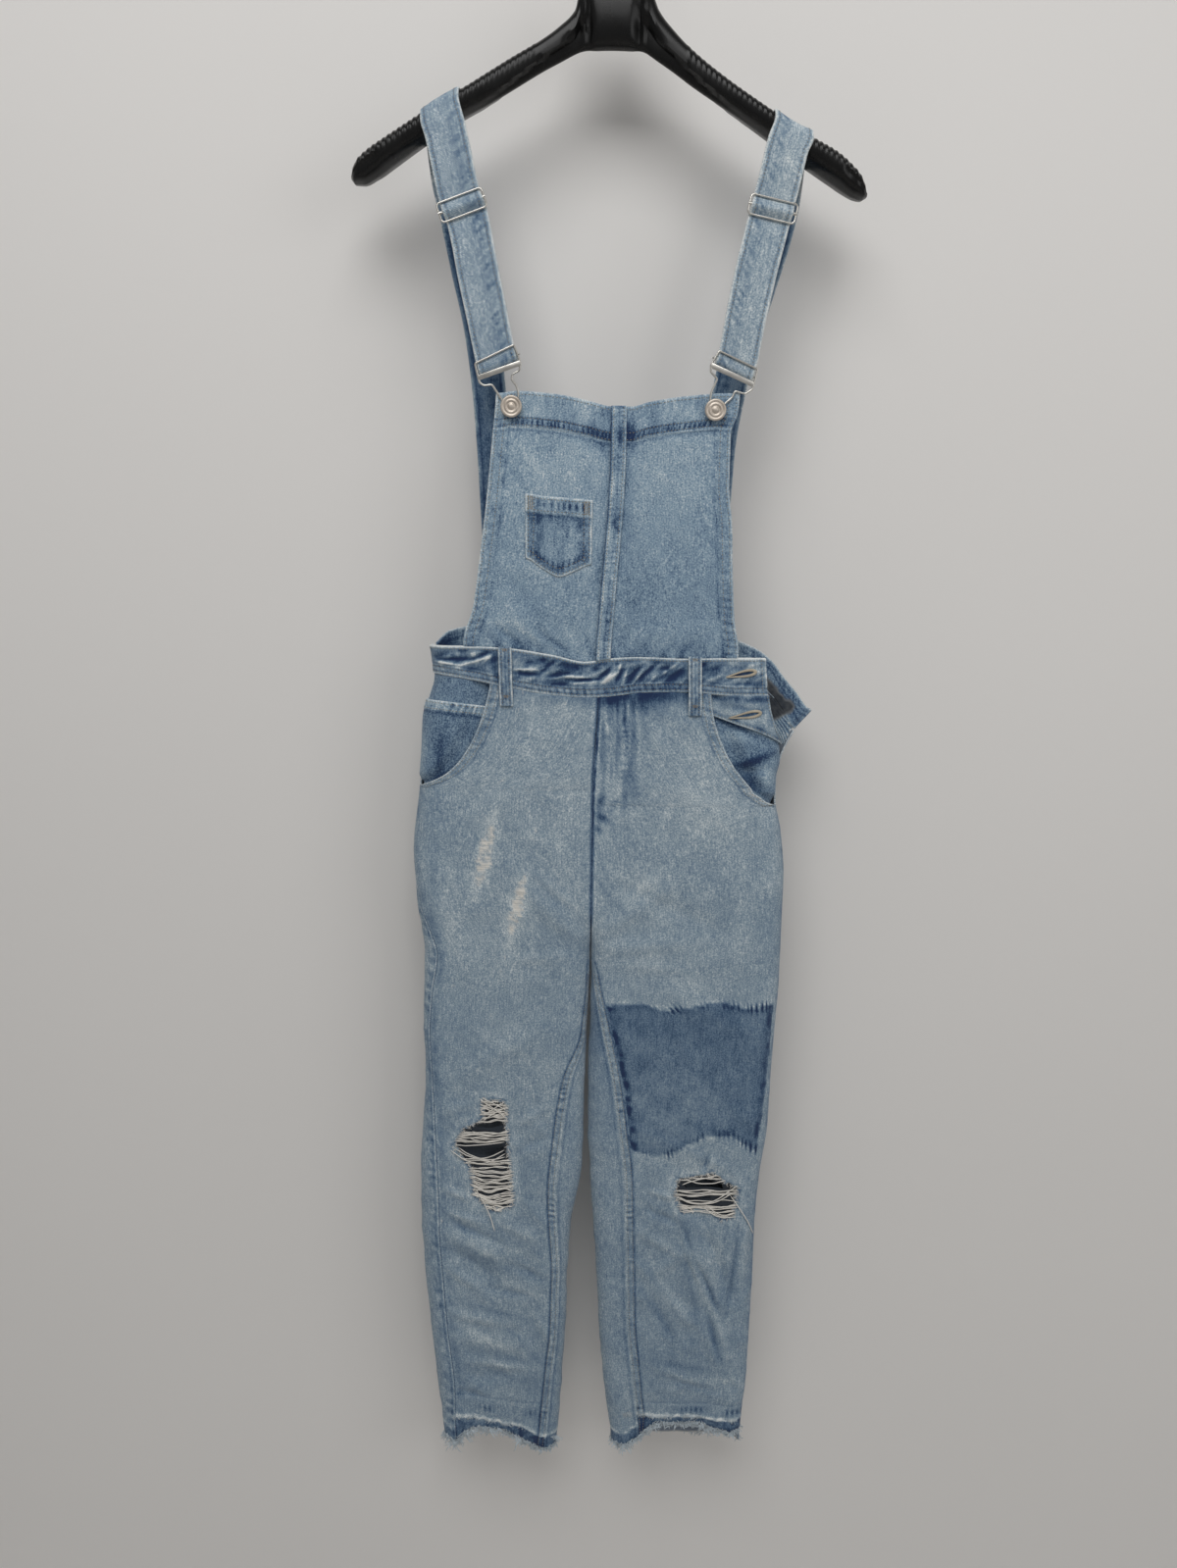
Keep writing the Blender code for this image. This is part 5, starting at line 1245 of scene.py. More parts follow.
def traced_line(sheet, across, heights):
    """Points and normals of a sheet along a line given by places across and heights."""
    points, out = [], []
    for x, z in zip(across, heights):
        away = (sheet.x - x) ** 2 + (sheet.z - z) ** 2
        at = np.unravel_index(np.argmin(away), away.shape)
        points.append((x, sheet.points[at][1], z))
        out.append(sheet.out[at])
    return np.array(points), np.array(out)


class Sewing:
    """Stitches and threads gathered for one joined mesh."""

    def __init__(self):
        self.verts, self.faces, self.count = [], [], 0

    def add(self, verts, faces):
        self.verts.append(verts)
        self.faces += (np.array(faces) + self.count).tolist()
        self.count += len(verts)

    def sew(self, line, sheet, distances, look=None, **which):
        """Rows of stitches these distances in from a sheet's side or end."""
        for distance in distances:
            self.stitches(line(sheet, distance, **which), **(look or {}))

    def stitches(self, line, pitch=STITCH, width=None, height=0.45):
        """Short lozenges of thread laid end to end along a line of points and normals."""
        points, out = line
        width = width or settings().sewing.width / MM
        run = run_along(points)
        count = int(run[-1] / pitch)
        if count < 1:
            return
        starts = (np.arange(count) + 0.14) * pitch
        ends = starts + pitch * 0.74
        a, b = sampled(run, points, starts), sampled(run, points, ends)
        middle, up = (sampled(run, values, (starts + ends) / 2) for values in (points, out))
        up /= np.linalg.norm(up, axis=1, keepdims=True)
        side = np.cross(b - a, up)
        side /= np.linalg.norm(side, axis=1, keepdims=True)
        lifted = up * STITCH_LIFT
        rings = np.stack(
            (
                a + lifted - up * 0.1, b + lifted - up * 0.1,
                middle + side * width / 2 + lifted, middle + up * height + lifted,
                middle - side * width / 2 + lifted, middle - up * 0.15 + lifted,
            ),
            axis=1,
        )
        sides = [(0, 3, 2), (0, 4, 3), (0, 5, 4), (0, 2, 5), (1, 2, 3), (1, 3, 4), (1, 4, 5), (1, 5, 2)]
        faces = (np.arange(count)[:, None, None] * 6 + np.array(sides)).reshape(-1, 3)
        self.add(rings.reshape(-1, 3), faces)

    def threads(self, lines, radius):
        """Tapered four-sided threads along lines of points: an array of lines, points and places."""
        lines = np.asarray(lines, float)
        radius = np.broadcast_to(np.asarray(radius, float), len(lines))
        number, steps = lines.shape[:2]
        along = np.gradient(lines, axis=1)
        along /= np.linalg.norm(along, axis=2, keepdims=True) + 1e-9
        side = np.cross(along, (0.31, 0.9, 0.29))
        side /= np.linalg.norm(side, axis=2, keepdims=True) + 1e-9
        up = np.cross(side, along)
        taper = np.full(steps, 1.0)
        taper[[0, -1]] = 0.25
        r = radius[:, None, None] * taper[None, :, None]
        rings = np.stack((lines + side * r, lines + up * r, lines - side * r, lines - up * r), axis=2)
        base = (np.arange(number)[:, None] * steps + np.arange(steps - 1)[None, :]) * 4
        base = base.reshape(-1, 1)
        quads = []
        for n in range(4):
            m = (n + 1) % 4
            quads.append(np.concatenate([base + n, base + m, base + m + 4, base + n + 4], axis=1))
        starts = (np.arange(number) * steps * 4)[:, None] + np.array([[3, 2, 1, 0]])
        stops = ((np.arange(number) + 1) * steps * 4 - 4)[:, None] + np.array([[0, 1, 2, 3]])
        faces = np.concatenate(quads + [starts, stops])
        self.add(rings.reshape(-1, 3), faces)

    def build(self, name, finish, slot):
        mesh = bpy.data.meshes.new(name)
        mesh.from_pydata((np.concatenate(self.verts) * MM).tolist(), [], self.faces)
        mesh.materials.append(finish)
        mesh.shade_smooth()
        shape = bmesh.new()
        shape.from_mesh(mesh)
        bmesh.ops.recalc_face_normals(shape, faces=shape.faces[:])
        shape.to_mesh(mesh)
        shape.free()
        return on_root(new_object(name, mesh))


# ---------------------------------------------------------------- finishes

def group(name, inputs, outputs):
    """A new shader group with its input and output nodes, or the one already made."""
    found = bpy.data.node_groups.get(name)
    if found:
        return found, None, None
    made = bpy.data.node_groups.new(name, "ShaderNodeTree")
    for label, kind, value in inputs:
        socket = made.interface.new_socket(label, in_out="INPUT", socket_type=kind)
        if value is not None:
            socket.default_value = value
    for label, kind in outputs:
        made.interface.new_socket(label, in_out="OUTPUT", socket_type=kind)
    return made, made.nodes.new("NodeGroupInput"), made.nodes.new("NodeGroupOutput")


class Nodes:
    """Adds and links nodes of one tree."""

    def __init__(self, tree):
        self.tree = tree

    def add(self, kind, values=(), **settings):
        node = self.tree.nodes.new(kind)
        for key, value in settings.items():
            setattr(node, key, value)
        for socket, value in dict(values).items():
            self.feed(value, node.inputs[socket])
        return node

    def feed(self, value, socket):
        if isinstance(value, bpy.types.NodeSocket):
            self.tree.links.new(value, socket)
        else:
            socket.default_value = (*value, 1.0) if socket.type == "RGBA" else value

    def math(self, operation, a, b=None, clamp=False):
        node = self.add("ShaderNodeMath", operation=operation, use_clamp=clamp)
        self.feed(a, node.inputs[0])
        if b is not None:
            self.feed(b, node.inputs[1])
        return node.outputs[0]

    def noise(self, vector, scale, detail=2.0, rough=0.5):
        """Noise centred on zero, about -0.5 to 0.5."""
        node = self.add(
            "ShaderNodeTexNoise", {"Vector": vector, "Scale": scale, "Detail": detail, "Roughness": rough}
        )
        return self.math("SUBTRACT", node.outputs["Fac"], 0.5)

    def mix(self, share, a, b):
        node = self.add("ShaderNodeMix", data_type="RGBA")
        self.feed(share, node.inputs[0])
        self.feed(a, node.inputs[6])
        self.feed(b, node.inputs[7])
        return node.outputs[2]


def twill_group():
    """Diagonal twill lines and uneven warp yarns, from a UV map in metres."""
    tree, start, end = group(
        "Denim twill",
        [("Vector", "NodeSocketVector", None), ("Pitch", "NodeSocketFloat", 0.0012)],
        [("Line", "NodeSocketFloat"), ("Yarn", "NodeSocketFloat"), ("Height", "NodeSocketFloat")],
    )
    if start is None:
        return tree
    add = Nodes(tree)
    bent = add.add("ShaderNodeTexNoise", {"Vector": start.outputs["Vector"], "Scale": 260.0})
    parts = add.add("ShaderNodeSeparateXYZ", {"Vector": start.outputs["Vector"]})
    slant = add.math("ADD", parts.outputs["X"], add.math("MULTIPLY", parts.outputs["Y"], 0.62))
    turns = add.math("DIVIDE", slant, start.outputs["Pitch"])
    turns = add.math("ADD", turns, add.math("MULTIPLY", bent.outputs["Fac"], 1.5))
    line = add.math("SINE", add.math("MULTIPLY", turns, 2 * math.pi))
    stretched = add.add(
        "ShaderNodeMapping", {"Vector": start.outputs["Vector"], "Scale": (760.0, 95.0, 1.0)}
    )
    yarn = add.noise(stretched.outputs["Vector"], 1.0, 1.0)
    height = add.math("ADD", add.math("MULTIPLY", line, 0.5), yarn)
    add.feed(line, end.inputs["Line"])
    add.feed(yarn, end.inputs["Yarn"])
    add.feed(height, end.inputs["Height"])
    return tree


def wash_group():
    """Cloudy mottling and the speckle of worn denim, centred on zero."""
    tree, start, end = group(
        "Denim mottle",
        [
            ("Vector", "NodeSocketVector", None),
            ("Clouds", "NodeSocketFloat", 0.16),
            ("Blotches", "NodeSocketFloat", 0.26),
            ("Speckle", "NodeSocketFloat", 0.90),
        ],
        [("Value", "NodeSocketFloat"), ("Grain", "NodeSocketFloat")],
    )
    if start is None:
        return tree
    add = Nodes(tree)
    vector = start.outputs["Vector"]
    clouds = add.math("MULTIPLY", add.noise(vector, 24.0, 3.0), start.outputs["Clouds"])
    blotches = add.math("MULTIPLY", add.noise(vector, 130.0, 3.0, 0.6), start.outputs["Blotches"])
    grain = add.noise(vector, 730.0, 2.0, 0.6)
    speckle = add.math("MULTIPLY", grain, start.outputs["Speckle"])
    total = add.math("ADD", add.math("ADD", clouds, blotches), speckle)
    add.feed(total, end.inputs["Value"])
    add.feed(grain, end.inputs["Grain"])
    return tree


def material(name, roughness, metallic=0.0, **inputs):
    """A new material, its shader and its nodes, or the one already made and no shader."""
    found = bpy.data.materials.get(name)
    if found:
        return found, None, None
    made = bpy.data.materials.new(name)
    made.use_nodes = True
    shader = made.node_tree.nodes["Principled BSDF"]
    for label, value in (("Roughness", roughness), ("Metallic", metallic), *inputs.items()):
        shader.inputs[label.replace("_", " ")].default_value = value
    return made, shader, Nodes(made.node_tree)


def denim(name, stops, grain=(0.15, 0.22, 0.80), twill=0.10):
    """Washed denim: stops are the colours from deep indigo to worn white."""
    made, shader, add = material(
        name, 0.92, Sheen_Weight=0.12, Sheen_Roughness=0.6, Specular_IOR_Level=0.2
    )
    if shader is None:
        return made
    place = add.add("ShaderNodeTexCoord")
    cloth = add.add("ShaderNodeUVMap", uv_map="cloth")
    wash = add.add("ShaderNodeAttribute", attribute_name="wash")
    fray_and_hollow_shade = add.add("ShaderNodeAttribute", attribute_name="fray_and_hollow_shade")
    mottle = add.add("ShaderNodeGroup", node_tree=wash_group())
    add.feed(place.outputs["Object"], mottle.inputs["Vector"])
    for label, value in zip(("Clouds", "Blotches", "Speckle"), grain):
        mottle.inputs[label].default_value = value
    weave = add.add("ShaderNodeGroup", node_tree=twill_group())
    add.feed(cloth.outputs["UV"], weave.inputs["Vector"])
    level = add.math("ADD", wash.outputs["Fac"], mottle.outputs["Value"])
    level = add.math("ADD", level, add.math("MULTIPLY", weave.outputs["Yarn"], SLUBS))
    level = add.math("ADD", level, add.math("MULTIPLY", weave.outputs["Line"], twill), clamp=True)
    ramp = add.add("ShaderNodeValToRGB", {"Fac": level})
    elements = ramp.color_ramp.elements
    while len(elements) < len(stops):
        elements.new(0.5)
    for element, (place_on_ramp, colour) in zip(elements, stops):
        element.position = place_on_ramp
        element.color = (*colour, 1.0)
    streak = add.add(
        "ShaderNodeMapping", {"Vector": place.outputs["Object"], "Scale": (90.0, 90.0, 1100.0)}
    )
    weft = add.noise(streak.outputs["Vector"], 1.0, 2.0)
    bare = add.add("ShaderNodeValToRGB", {"Fac": add.math("ADD", weft, 0.5)})
    for element, place_on_ramp, colour in zip(bare.color_ramp.elements, (0.32, 0.62), (WEFT_SHADE, WEFT_PALE)):
        element.position = place_on_ramp
        element.color = (*colour, 1.0)
    share = add.math("ADD", fray_and_hollow_shade.outputs["Fac"], add.math("MULTIPLY", mottle.outputs["Grain"], 0.5))
    share = add.math("MULTIPLY", share, fray_and_hollow_shade.outputs["Fac"], clamp=True)
    colour = add.mix(share, ramp.outputs["Color"], bare.outputs["Color"])
    # Negative values paint the cloth in the deep shade of a hollow.
    hollow = add.math("MULTIPLY", fray_and_hollow_shade.outputs["Fac"], -1.0, clamp=True)
    colour = add.mix(hollow, colour, HOLLOW_SHADE)
    add.feed(colour, shader.inputs["Base Color"])
    height = add.math("MULTIPLY", mottle.outputs["Grain"], 0.8)
    height = add.math("ADD", weave.outputs["Height"], height)
    bump = add.add("ShaderNodeBump", {"Height": height, "Strength": 0.45, "Distance": 0.0003})
    add.feed(bump.outputs["Normal"], shader.inputs["Normal"])
    return made


def clouded(add, shader, scale, detail, spread, level, dark, pale):
    """Mixes two colours in clouds into the base colour, and returns the clouds."""
    place = add.add("ShaderNodeTexCoord").outputs["Object"]
    clouds = add.noise(place, scale, detail)
    share = add.math("ADD", add.math("MULTIPLY", clouds, spread), level, clamp=True)
    add.feed(add.mix(share, dark, pale), shader.inputs["Base Color"])
    return place, clouds


def toned(colour, share):
    return tuple(channel * share for channel in colour)


def thread_finish(name, colour, dark=0.55):
    made, shader, add = material(name, 0.8, Sheen_Weight=0.2)
    if shader:
        clouded(add, shader, 160.0, 3.0, 1.6, 0.6, toned(colour, dark), colour)
    return made


def metal_finish(name, colour, worn, roughness=0.3, metallic=1.0):
    """Plated wire: a little tarnish in clouds, brighter where it rubs."""
    made, shader, add = material(name, roughness, metallic)
    if shader:
        _, patches = clouded(add, shader, 110.0, 2.0, 1.5, 0.45, colour, worn)
        rough = add.math("ADD", add.math("MULTIPLY", patches, 0.12), roughness)
        add.feed(rough, shader.inputs["Roughness"])
    return made


def moulded_plastic(name, colour):
    """Plastic with faint scuffs and a fine grain."""
    made, shader, add = material(name, 0.36, Specular_IOR_Level=0.27)
    if shader:
        place, scuffs = clouded(add, shader, 60.0, 4.0, 1.5, 0.4, colour, toned(colour, 1.5))
        rough = add.math("ADD", add.math("MULTIPLY", scuffs, 0.16), 0.27)
        add.feed(rough, shader.inputs["Roughness"])
        grain = add.noise(place, 1400.0, 2.0)
        bump = add.add("ShaderNodeBump", {"Height": grain, "Strength": 0.06, "Distance": 0.0002})
        add.feed(bump.outputs["Normal"], shader.inputs["Normal"])
    return made


def wall_finish(name, colour):
    """Softly clouded paint. Seen from behind, the wall lets the view through."""
    made, shader, add = material(name, 0.9)
    if shader:
        clouded(add, shader, 1.4, 2.0, 1.0, 0.5, toned(colour, 0.94), colour)
        back = add.add("ShaderNodeNewGeometry").outputs["Backfacing"]
        clear = add.add("ShaderNodeBsdfTransparent").outputs["BSDF"]
        seen = add.add("ShaderNodeMixShader", {0: back, 1: shader.outputs["BSDF"], 2: clear})
        surface_input = made.node_tree.nodes["Material Output"].inputs["Surface"]
        add.feed(seen.outputs["Shader"], surface_input)
    return made


# ---------------------------------------------------------------- legs

def roping(distance, run, width, pitch, seed):
    """Uneven slanting puckers along a hem, from -1, dark, to a faint 0.4, by the distance in."""
    wave = np.sin(2 * np.pi * (run + 0.2 * distance) / pitch + 4.5 * drift(run, pitch * 1.9, seed))
    strength = np.clip(0.5 + 0.9 * drift(run, pitch * 3.1, seed + 7), 0.05, 1.2)
    band = smooth_step(distance / 1.2) * until(distance, width, 2.0)
    puckers = strength * np.where(wave > 0, 0.4 * wave, wave)
    return (puckers + 0.55 * cloud(run, distance, 2.4, seed + 9)) * band


def bars(run, pitch, seed):
    """Uneven dark bars side by side along a hem, from 0 to about 1.2."""
    wave = 0.5 + 0.5 * np.sin(2 * np.pi * run / pitch + 2.2 * drift(run, pitch * 2.3, seed))
    return wave**2 * np.clip(0.75 + 0.8 * drift(run, pitch * 2.9, seed + 5), 0.1, 1.2)


def crumple(x, z, size, seed):
    """Soft creases of worn cloth, about -1 to 1, with sharper ridges than hollows."""
    bent = x + 0.7 * size * cloud(x, z, size * 1.9, seed + 3)
    return 0.9 - 2.4 * np.abs(cloud(bent, z * 0.75 + 0.35 * x, size, seed))


def leg_tone(sheet, half, marks):
    """Wash by height, with soft clouds and the listed marks."""
    x, z = sheet.x, sheet.z
    clouds = 0.045 * billow(x, z, 46.0, 3) + 0.035 * billow(x, z * 0.3, 9.0, 8)
    tone = LEG_TONES.read(half, z) + clouds + 0.018 * crumple(x, z, 24.0, 9)
    return tone + between(1.0, 1.5, smooth_step((SHIN - z) / 60)) * strokes(marks, x, z)


def worn_line(half, x):
    """Height of the worn fold line of a let-down hem."""
    return WORN_LINES[half].read("height", x) + 1.2 * drift(x, 5.0, 21)


def hem_wear(sheet, half):
    """The worn fold line of a let-down hem, the dark cloth under it and the frayed edge."""
    x, z = sheet.x, sheet.z
    lines = WORN_LINES[half]
    under, old = worn_line(half, x) - z, lines.read("stitch", x) - z
    deep = 0.14 + lines.read("deep", x)
    dashes = 0.5 + 0.5 * np.sin(2 * np.pi * x / 5.2 + 2 * drift(x, 14.0, 24))
    dashes *= np.clip(0.5 + 1.4 * drift(x, 11.0, 44), 0, 1.3)
    sheet.wash += 0.42 * bell(under + 0.5, 2.1) * (0.75 + 0.6 * cloud(x, z, 3.5, 22))
    sheet.wash -= deep * smooth_step((under - 1.2) / 1.5) * (1 + 0.6 * cloud(x, z, 4.0, 23))
    sheet.wash -= 0.36 * dashes * bell(old - lines.read("band", x), 3.8)
    sheet.wash += stripes(old, (-0.10, 0, 1.0), (0.06, 2.0, 1.2))
    sheet.fray_to(0.9 * until(sheet.from_foot - 1.8 - 1.4 * cloud(x, z, 2.6, 25), 0, 1.8))
    return 0.5 * bell(under, 1.6) - 0.3 * bell(old, 1.2)


def patch_tone(sheet):
    """The darker square let into the left knee, with a ladder of stitches round it."""
    x, z = sheet.x, sheet.z
    below = PATCH_EDGES.read("top", x) - z
    above = z - PATCH_EDGES.read("foot", x)
    outer = PATCH_SIDE.read("across", z) - x
    inner = sheet.from_far_side - PATCH_INSET
    depth = np.minimum(np.minimum(below, above), np.minimum(outer, inner))
    depth = depth + 0.9 * cloud(x, z, 4.0, 31)
    within = smooth_step((depth + 0.8) / 1.6)

    cross = bell(np.minimum(np.abs(below), np.abs(above)) - 0.5, 4.2)
    ladder = (1.35 * bars(x, 4.4, 32) - 0.30) * cross
    ladder *= smooth_step((inner + 2) / 3) * smooth_step((outer + 2) / 3)
    ladder *= smooth_step((below + 7) / 2) * smooth_step((above + 7) / 2)
    rim = bell(depth - 2.5, 3.5) * (1 + 0.8 * cloud(x, z, 5.0, 33))
    side_rim = bell(inner - 3.0, 3.6) * (0.9 + 0.9 * cloud(x * 0, z, 7.0, 34))
    side_rim += 0.6 * bell(outer - 4.0, 3.5) * (0.9 + 0.9 * cloud(x, z, 6.0, 35))
    blobs = np.clip(0.25 + 1.5 * cloud(x * 0.7, z, 5.4, 34), 0, 1.2) * bell(inner - 3.0, 3.6)
    edge_blobs = np.clip(0.1 + 1.5 * cloud(x, z * 0.7, 5.0, 40), 0, 1.1) * bell(outer - 3.0, 3.4)

    fade = 0.235 + 0.06 * billow(x, z, 30.0, 36) - 0.07 * spot(x, z, 70, -1095, 30, 30)
    fade += 0.05 * cloud(x, z, 9.0, 37) + 0.05 * cloud(x, z * 0.15, 2.6, 38)
    fade += 0.08 * rim + 0.06 * side_rim + 0.55 * blobs + 0.30 * edge_blobs
    sheet.wash -= within * (fade + 0.05 * smooth_step((z + 1090) / 90) + 0.08 * cross)
    sheet.wash -= 0.50 * ladder * np.clip(0.8 + drift(x, 9.0, 39), 0.2, 1.4)
    return 0.25 * within + 0.25 * ladder


def knee_wear(sheet, half):
    """Where the warp has gone: a ragged pale rim, and painted shade in the hollows behind the bare threads."""
    x, z = sheet.x, sheet.z
    away = edge_distance(KNEE_RIPS[half], x, z)[0]
    away = np.where(inside(KNEE_RIPS[half], x, z), away, -away)
    ragged = away + 1.8 * cloud(x, z, 2.2, 41) + 1.0 * cloud(x, z, 5.0, 45)
    worn = smooth_step((ragged + 0.4) / 1.0) * np.clip(0.5 + 1.2 * cloud(x, z, 2.6, 46), 0, 1)
    hollow = smooth_step((ragged - 0.2) / 1.2)
    dark = bell(away + 1.4, 2.2) * np.clip(0.3 + cloud(x, z, 2.6, 42), 0, 1)
    # The hollows get negative values, painted in deep shade.
    sheet.fray_and_hollow_shade = np.where(hollow > 0.05, -hollow, np.maximum(sheet.fray_and_hollow_shade, 0.8 * worn))
    sheet.wash += 0.08 * bell(away + 5.0, 4.5) - 0.34 * dark
    return -1.1 * hollow


def abrasions(sheet):
    """Two leaf-shaped rubbed spots on the right thigh."""
    x, z = sheet.x, sheet.z
    relief = np.zeros(x.shape)
    for *ends, half_width in THIGH_SPOTS:
        along, _, _, away = nearest(*ends, x, z, clipped=False)
        swell = np.sqrt(np.clip(4 * along * (1 - along), 0, 1)) * half_width
        depth = swell - away + 2.4 * cloud(x, z, 3.4, 51)
        rubbed = smooth_step(depth / 2.4) * (0.80 + 0.9 * cloud(x * 0.6, z, 2.4, 52))
        sheet.fray_to(np.clip(rubbed, 0, 1))
        near = (along > -0.2) & (along < 1.2)
        sheet.wash += 0.10 * bell(np.minimum(depth, 0) / 5.0, 1.0) * near
        relief += 0.25 * rubbed * cloud(x, z, 1.7, 53)
    return relief


def felled_edge(sheet, distance, run, width, seed, puckered=0.10, worn=0.10):
    """A felled or bound edge: worn on its rim, dark beside it, unevenly puckered along it."""
    puckers = roping(distance, run, width, 6.5, seed)
    on = until(distance, width, 0.8)
    sheet.wash += 1.8 * puckered * puckers - 0.06 * on * bell(distance - width / 2, 1.3)
    sheet.wash += stripes(
        distance, (1.4 * worn, 0, 1.0), (0.6 * worn, width, 0.9), (-0.22, width + 1.6, 1.1)
    )
    grooves = stripes(distance, (1, 1.8, 0.6), (1, width - 1.4, 0.6))
    return 0.45 * on + 0.2 * puckers - 0.22 * grooves * on


def fly_front(sheet):
    """Puckers of the fly on the left front, between the centre seam and its curved stitching."""
    x, z = sheet.x, sheet.z
    height = smooth_step((z - FLY_FOOT) / 16)
    zone = bell(x - 17.0, 20.0) * height
    ladder = np.sin(2 * np.pi * z / 5.5 + 5.0 * cloud(x, z, 9.0, 17))
    streaks = 0.55 * cloud(x * 1.7, z * 0.16, 8.0, 18) + 0.6 * cloud(x * 3.4, z * 0.3, 8.0, 121)
    placed = strokes(FLY_MARKS, x, z) * (1 + 0.8 * cloud(x, z * 0.5, 3.5, 30))
    line = bell(x - FLY_STITCH.read("across", z) + 2.0, 4.5) * height
    pinched = np.minimum(0.2, ladder * np.clip(0.5 + cloud(x, z, 12.0, 19), 0, 1))
    sheet.wash += zone * (-0.05 + 0.03 * ladder + 0.34 * np.minimum(streaks, 0.2)) + 1.9 * placed
    # Painted shade under the waistband.
    sheet.wash -= 0.16 * spot(x, z, 34, -684, 40, 9) * (0.9 + cloud(x, z * 0.5, 6.0, 120))
    sheet.wash += line * (0.17 * pinched + 0.01)
    shallow = placed > -0.2  # the darkest marks are tone only
    return 0.35 * zone * streaks + 0.15 * line * ladder + 2.0 * placed * shallow


def waist_shade_and_gathers(sheet):
    """Painted shade under the front waistband, where the cloth hangs gathered; returns the gathers' relief."""
    x, z, top = sheet.x, sheet.z, sheet.v
    shade = BAND_SHADE.read("shade", x)
    sheet.wash -= 1.7 * shade * bell(top, 7.0) * (1 + 0.6 * cloud(x, z * 0.3, 6.0, 14))
    sheet.wash -= 0.8 * shade * bell(top, 18.0) * np.maximum(0, 0.4 + cloud(x, z * 0.2, 8.0, 20))
    return 0.5 * bell(top, 9.0) * cloud(x, z * 0.25, 6.5, 15)


def front_leg(half, sewing):
    foot = pocket_foot(half)
    nominal = spaced([(PANEL_TOP, 2.3), (foot + 0.6, 1.6), (foot - 1.0, 3.0), *KNEE_ROWS[half],
                      (HEM + 70, 1.8), (HEM, 1.8)])
    last = beyond_gap(half, seam_share(half, "inseam", nominal), nominal, -1)
    first = beyond_gap(half, seam_share(half, "side_seam", nominal), nominal, 1)
    z = nominal.copy()
    for _ in range(4):
        z = row_height("front", pocket_edge(half, z), nominal)
    upper = nominal > foot
    first = np.where(upper, share_at(half, "front", pocket_edge(half, z), z), first)
    s = between(first[:, None], last[:, None], np.linspace(0, 1, FRONT_QUADS + 1)[None, :])
    sheet = Sheet(panel_grid(half, nominal, s), FORWARD)
    x, z, run = sheet.x, sheet.z, sheet.v
    inner = sheet.from_far_side
    sheet.wash = leg_tone(sheet, half, LEG_MARKS)
    free = smooth_step(sheet.u / 6) * smooth_step(inner / 6)
    lively = smooth_step((-1000 - z) / 200)  # more creased below the thigh
    relief = 1.3 * strokes(CREASES["front"], x, z) * free * between(1.0, 1.7, lively)
    # Painted light on the ridges of the creases and painted shade in their hollows.
    sheet.wash += 0.045 * relief
    relief += free * between(0.30, 0.9, lively) * crumple(x, z, 27.0, 55)
    relief += free * between(0.14, 0.3, lively) * crumple(x, z, 11.0, 57)
    relief += 0.10 * billow(x, z, 6.0, 5)

    # The inner edge: the fly seam above the crotch, the felled inseam below it.
    below = smooth_step((CROTCH + 12 - z) / 24)
    relief += below * felled_edge(sheet, inner + FAR * (1 - below), run, 6.5, 11, 0.13, 0.08)
    # Above the crotch: painted shadow along the centre seam, and on the left front a thin painted highlight beside
    # it.
    sheet.wash -= below * 0.22 * bell(inner - 7.6, 1.0) + (1 - below) * 0.45 * bell(inner, 1.4)
    if half == "left":
        sheet.wash += (1 - below) * 0.10 * bell(inner - 3.0, 0.9)

    # The outer edge: the pocket opening's bound edge above, the plain side seam below.
    bound = upper[:, None] * np.ones(x.shape)
    to_pocket = np.where(bound > 0, sheet.u, FAR)
    to_seam = np.where(bound > 0, FAR, sheet.u)
    relief += bound * felled_edge(sheet, to_pocket, run, 9.0, 13)
    sheet.wash += stripes(to_seam, (0.10, 1.5, 0.9), (-0.36, 0, 1.1))
    sheet.wash -= 0.10 * bell(to_seam - 5, 4.0) * (1 + cloud(x, z, 7.0, 47))

    relief += waist_shade_and_gathers(sheet)
    if half == "left":
        relief += fly_front(sheet) + patch_tone(sheet)
        torn = np.clip(0.7 + 1.6 * cloud(x, z, 2.2, 48), 0, 1)
        sheet.fray_to(bell(to_pocket - 2.4, 3.0) * bell(z + 772, 12) * torn)
    else:
        relief += abrasions(sheet)
    relief += hem_wear(sheet, half) + knee_wear(sheet, half)
    sheet.raise_by(relief)
    sheet.cut = list(KNEE_GAPS[half])
    inseam = np.flatnonzero(~upper & (nominal < CROTCH - 20))
    sewing.sew(side_line, sheet, (1.8, 6.6), far=True, rows=inseam)
    sewing.sew(side_line, sheet, (1.8, 7.6), rows=np.flatnonzero(upper))
    return cloth_object(f"front_leg_{half}", sheet, CLOTH, lining=leg_lining())


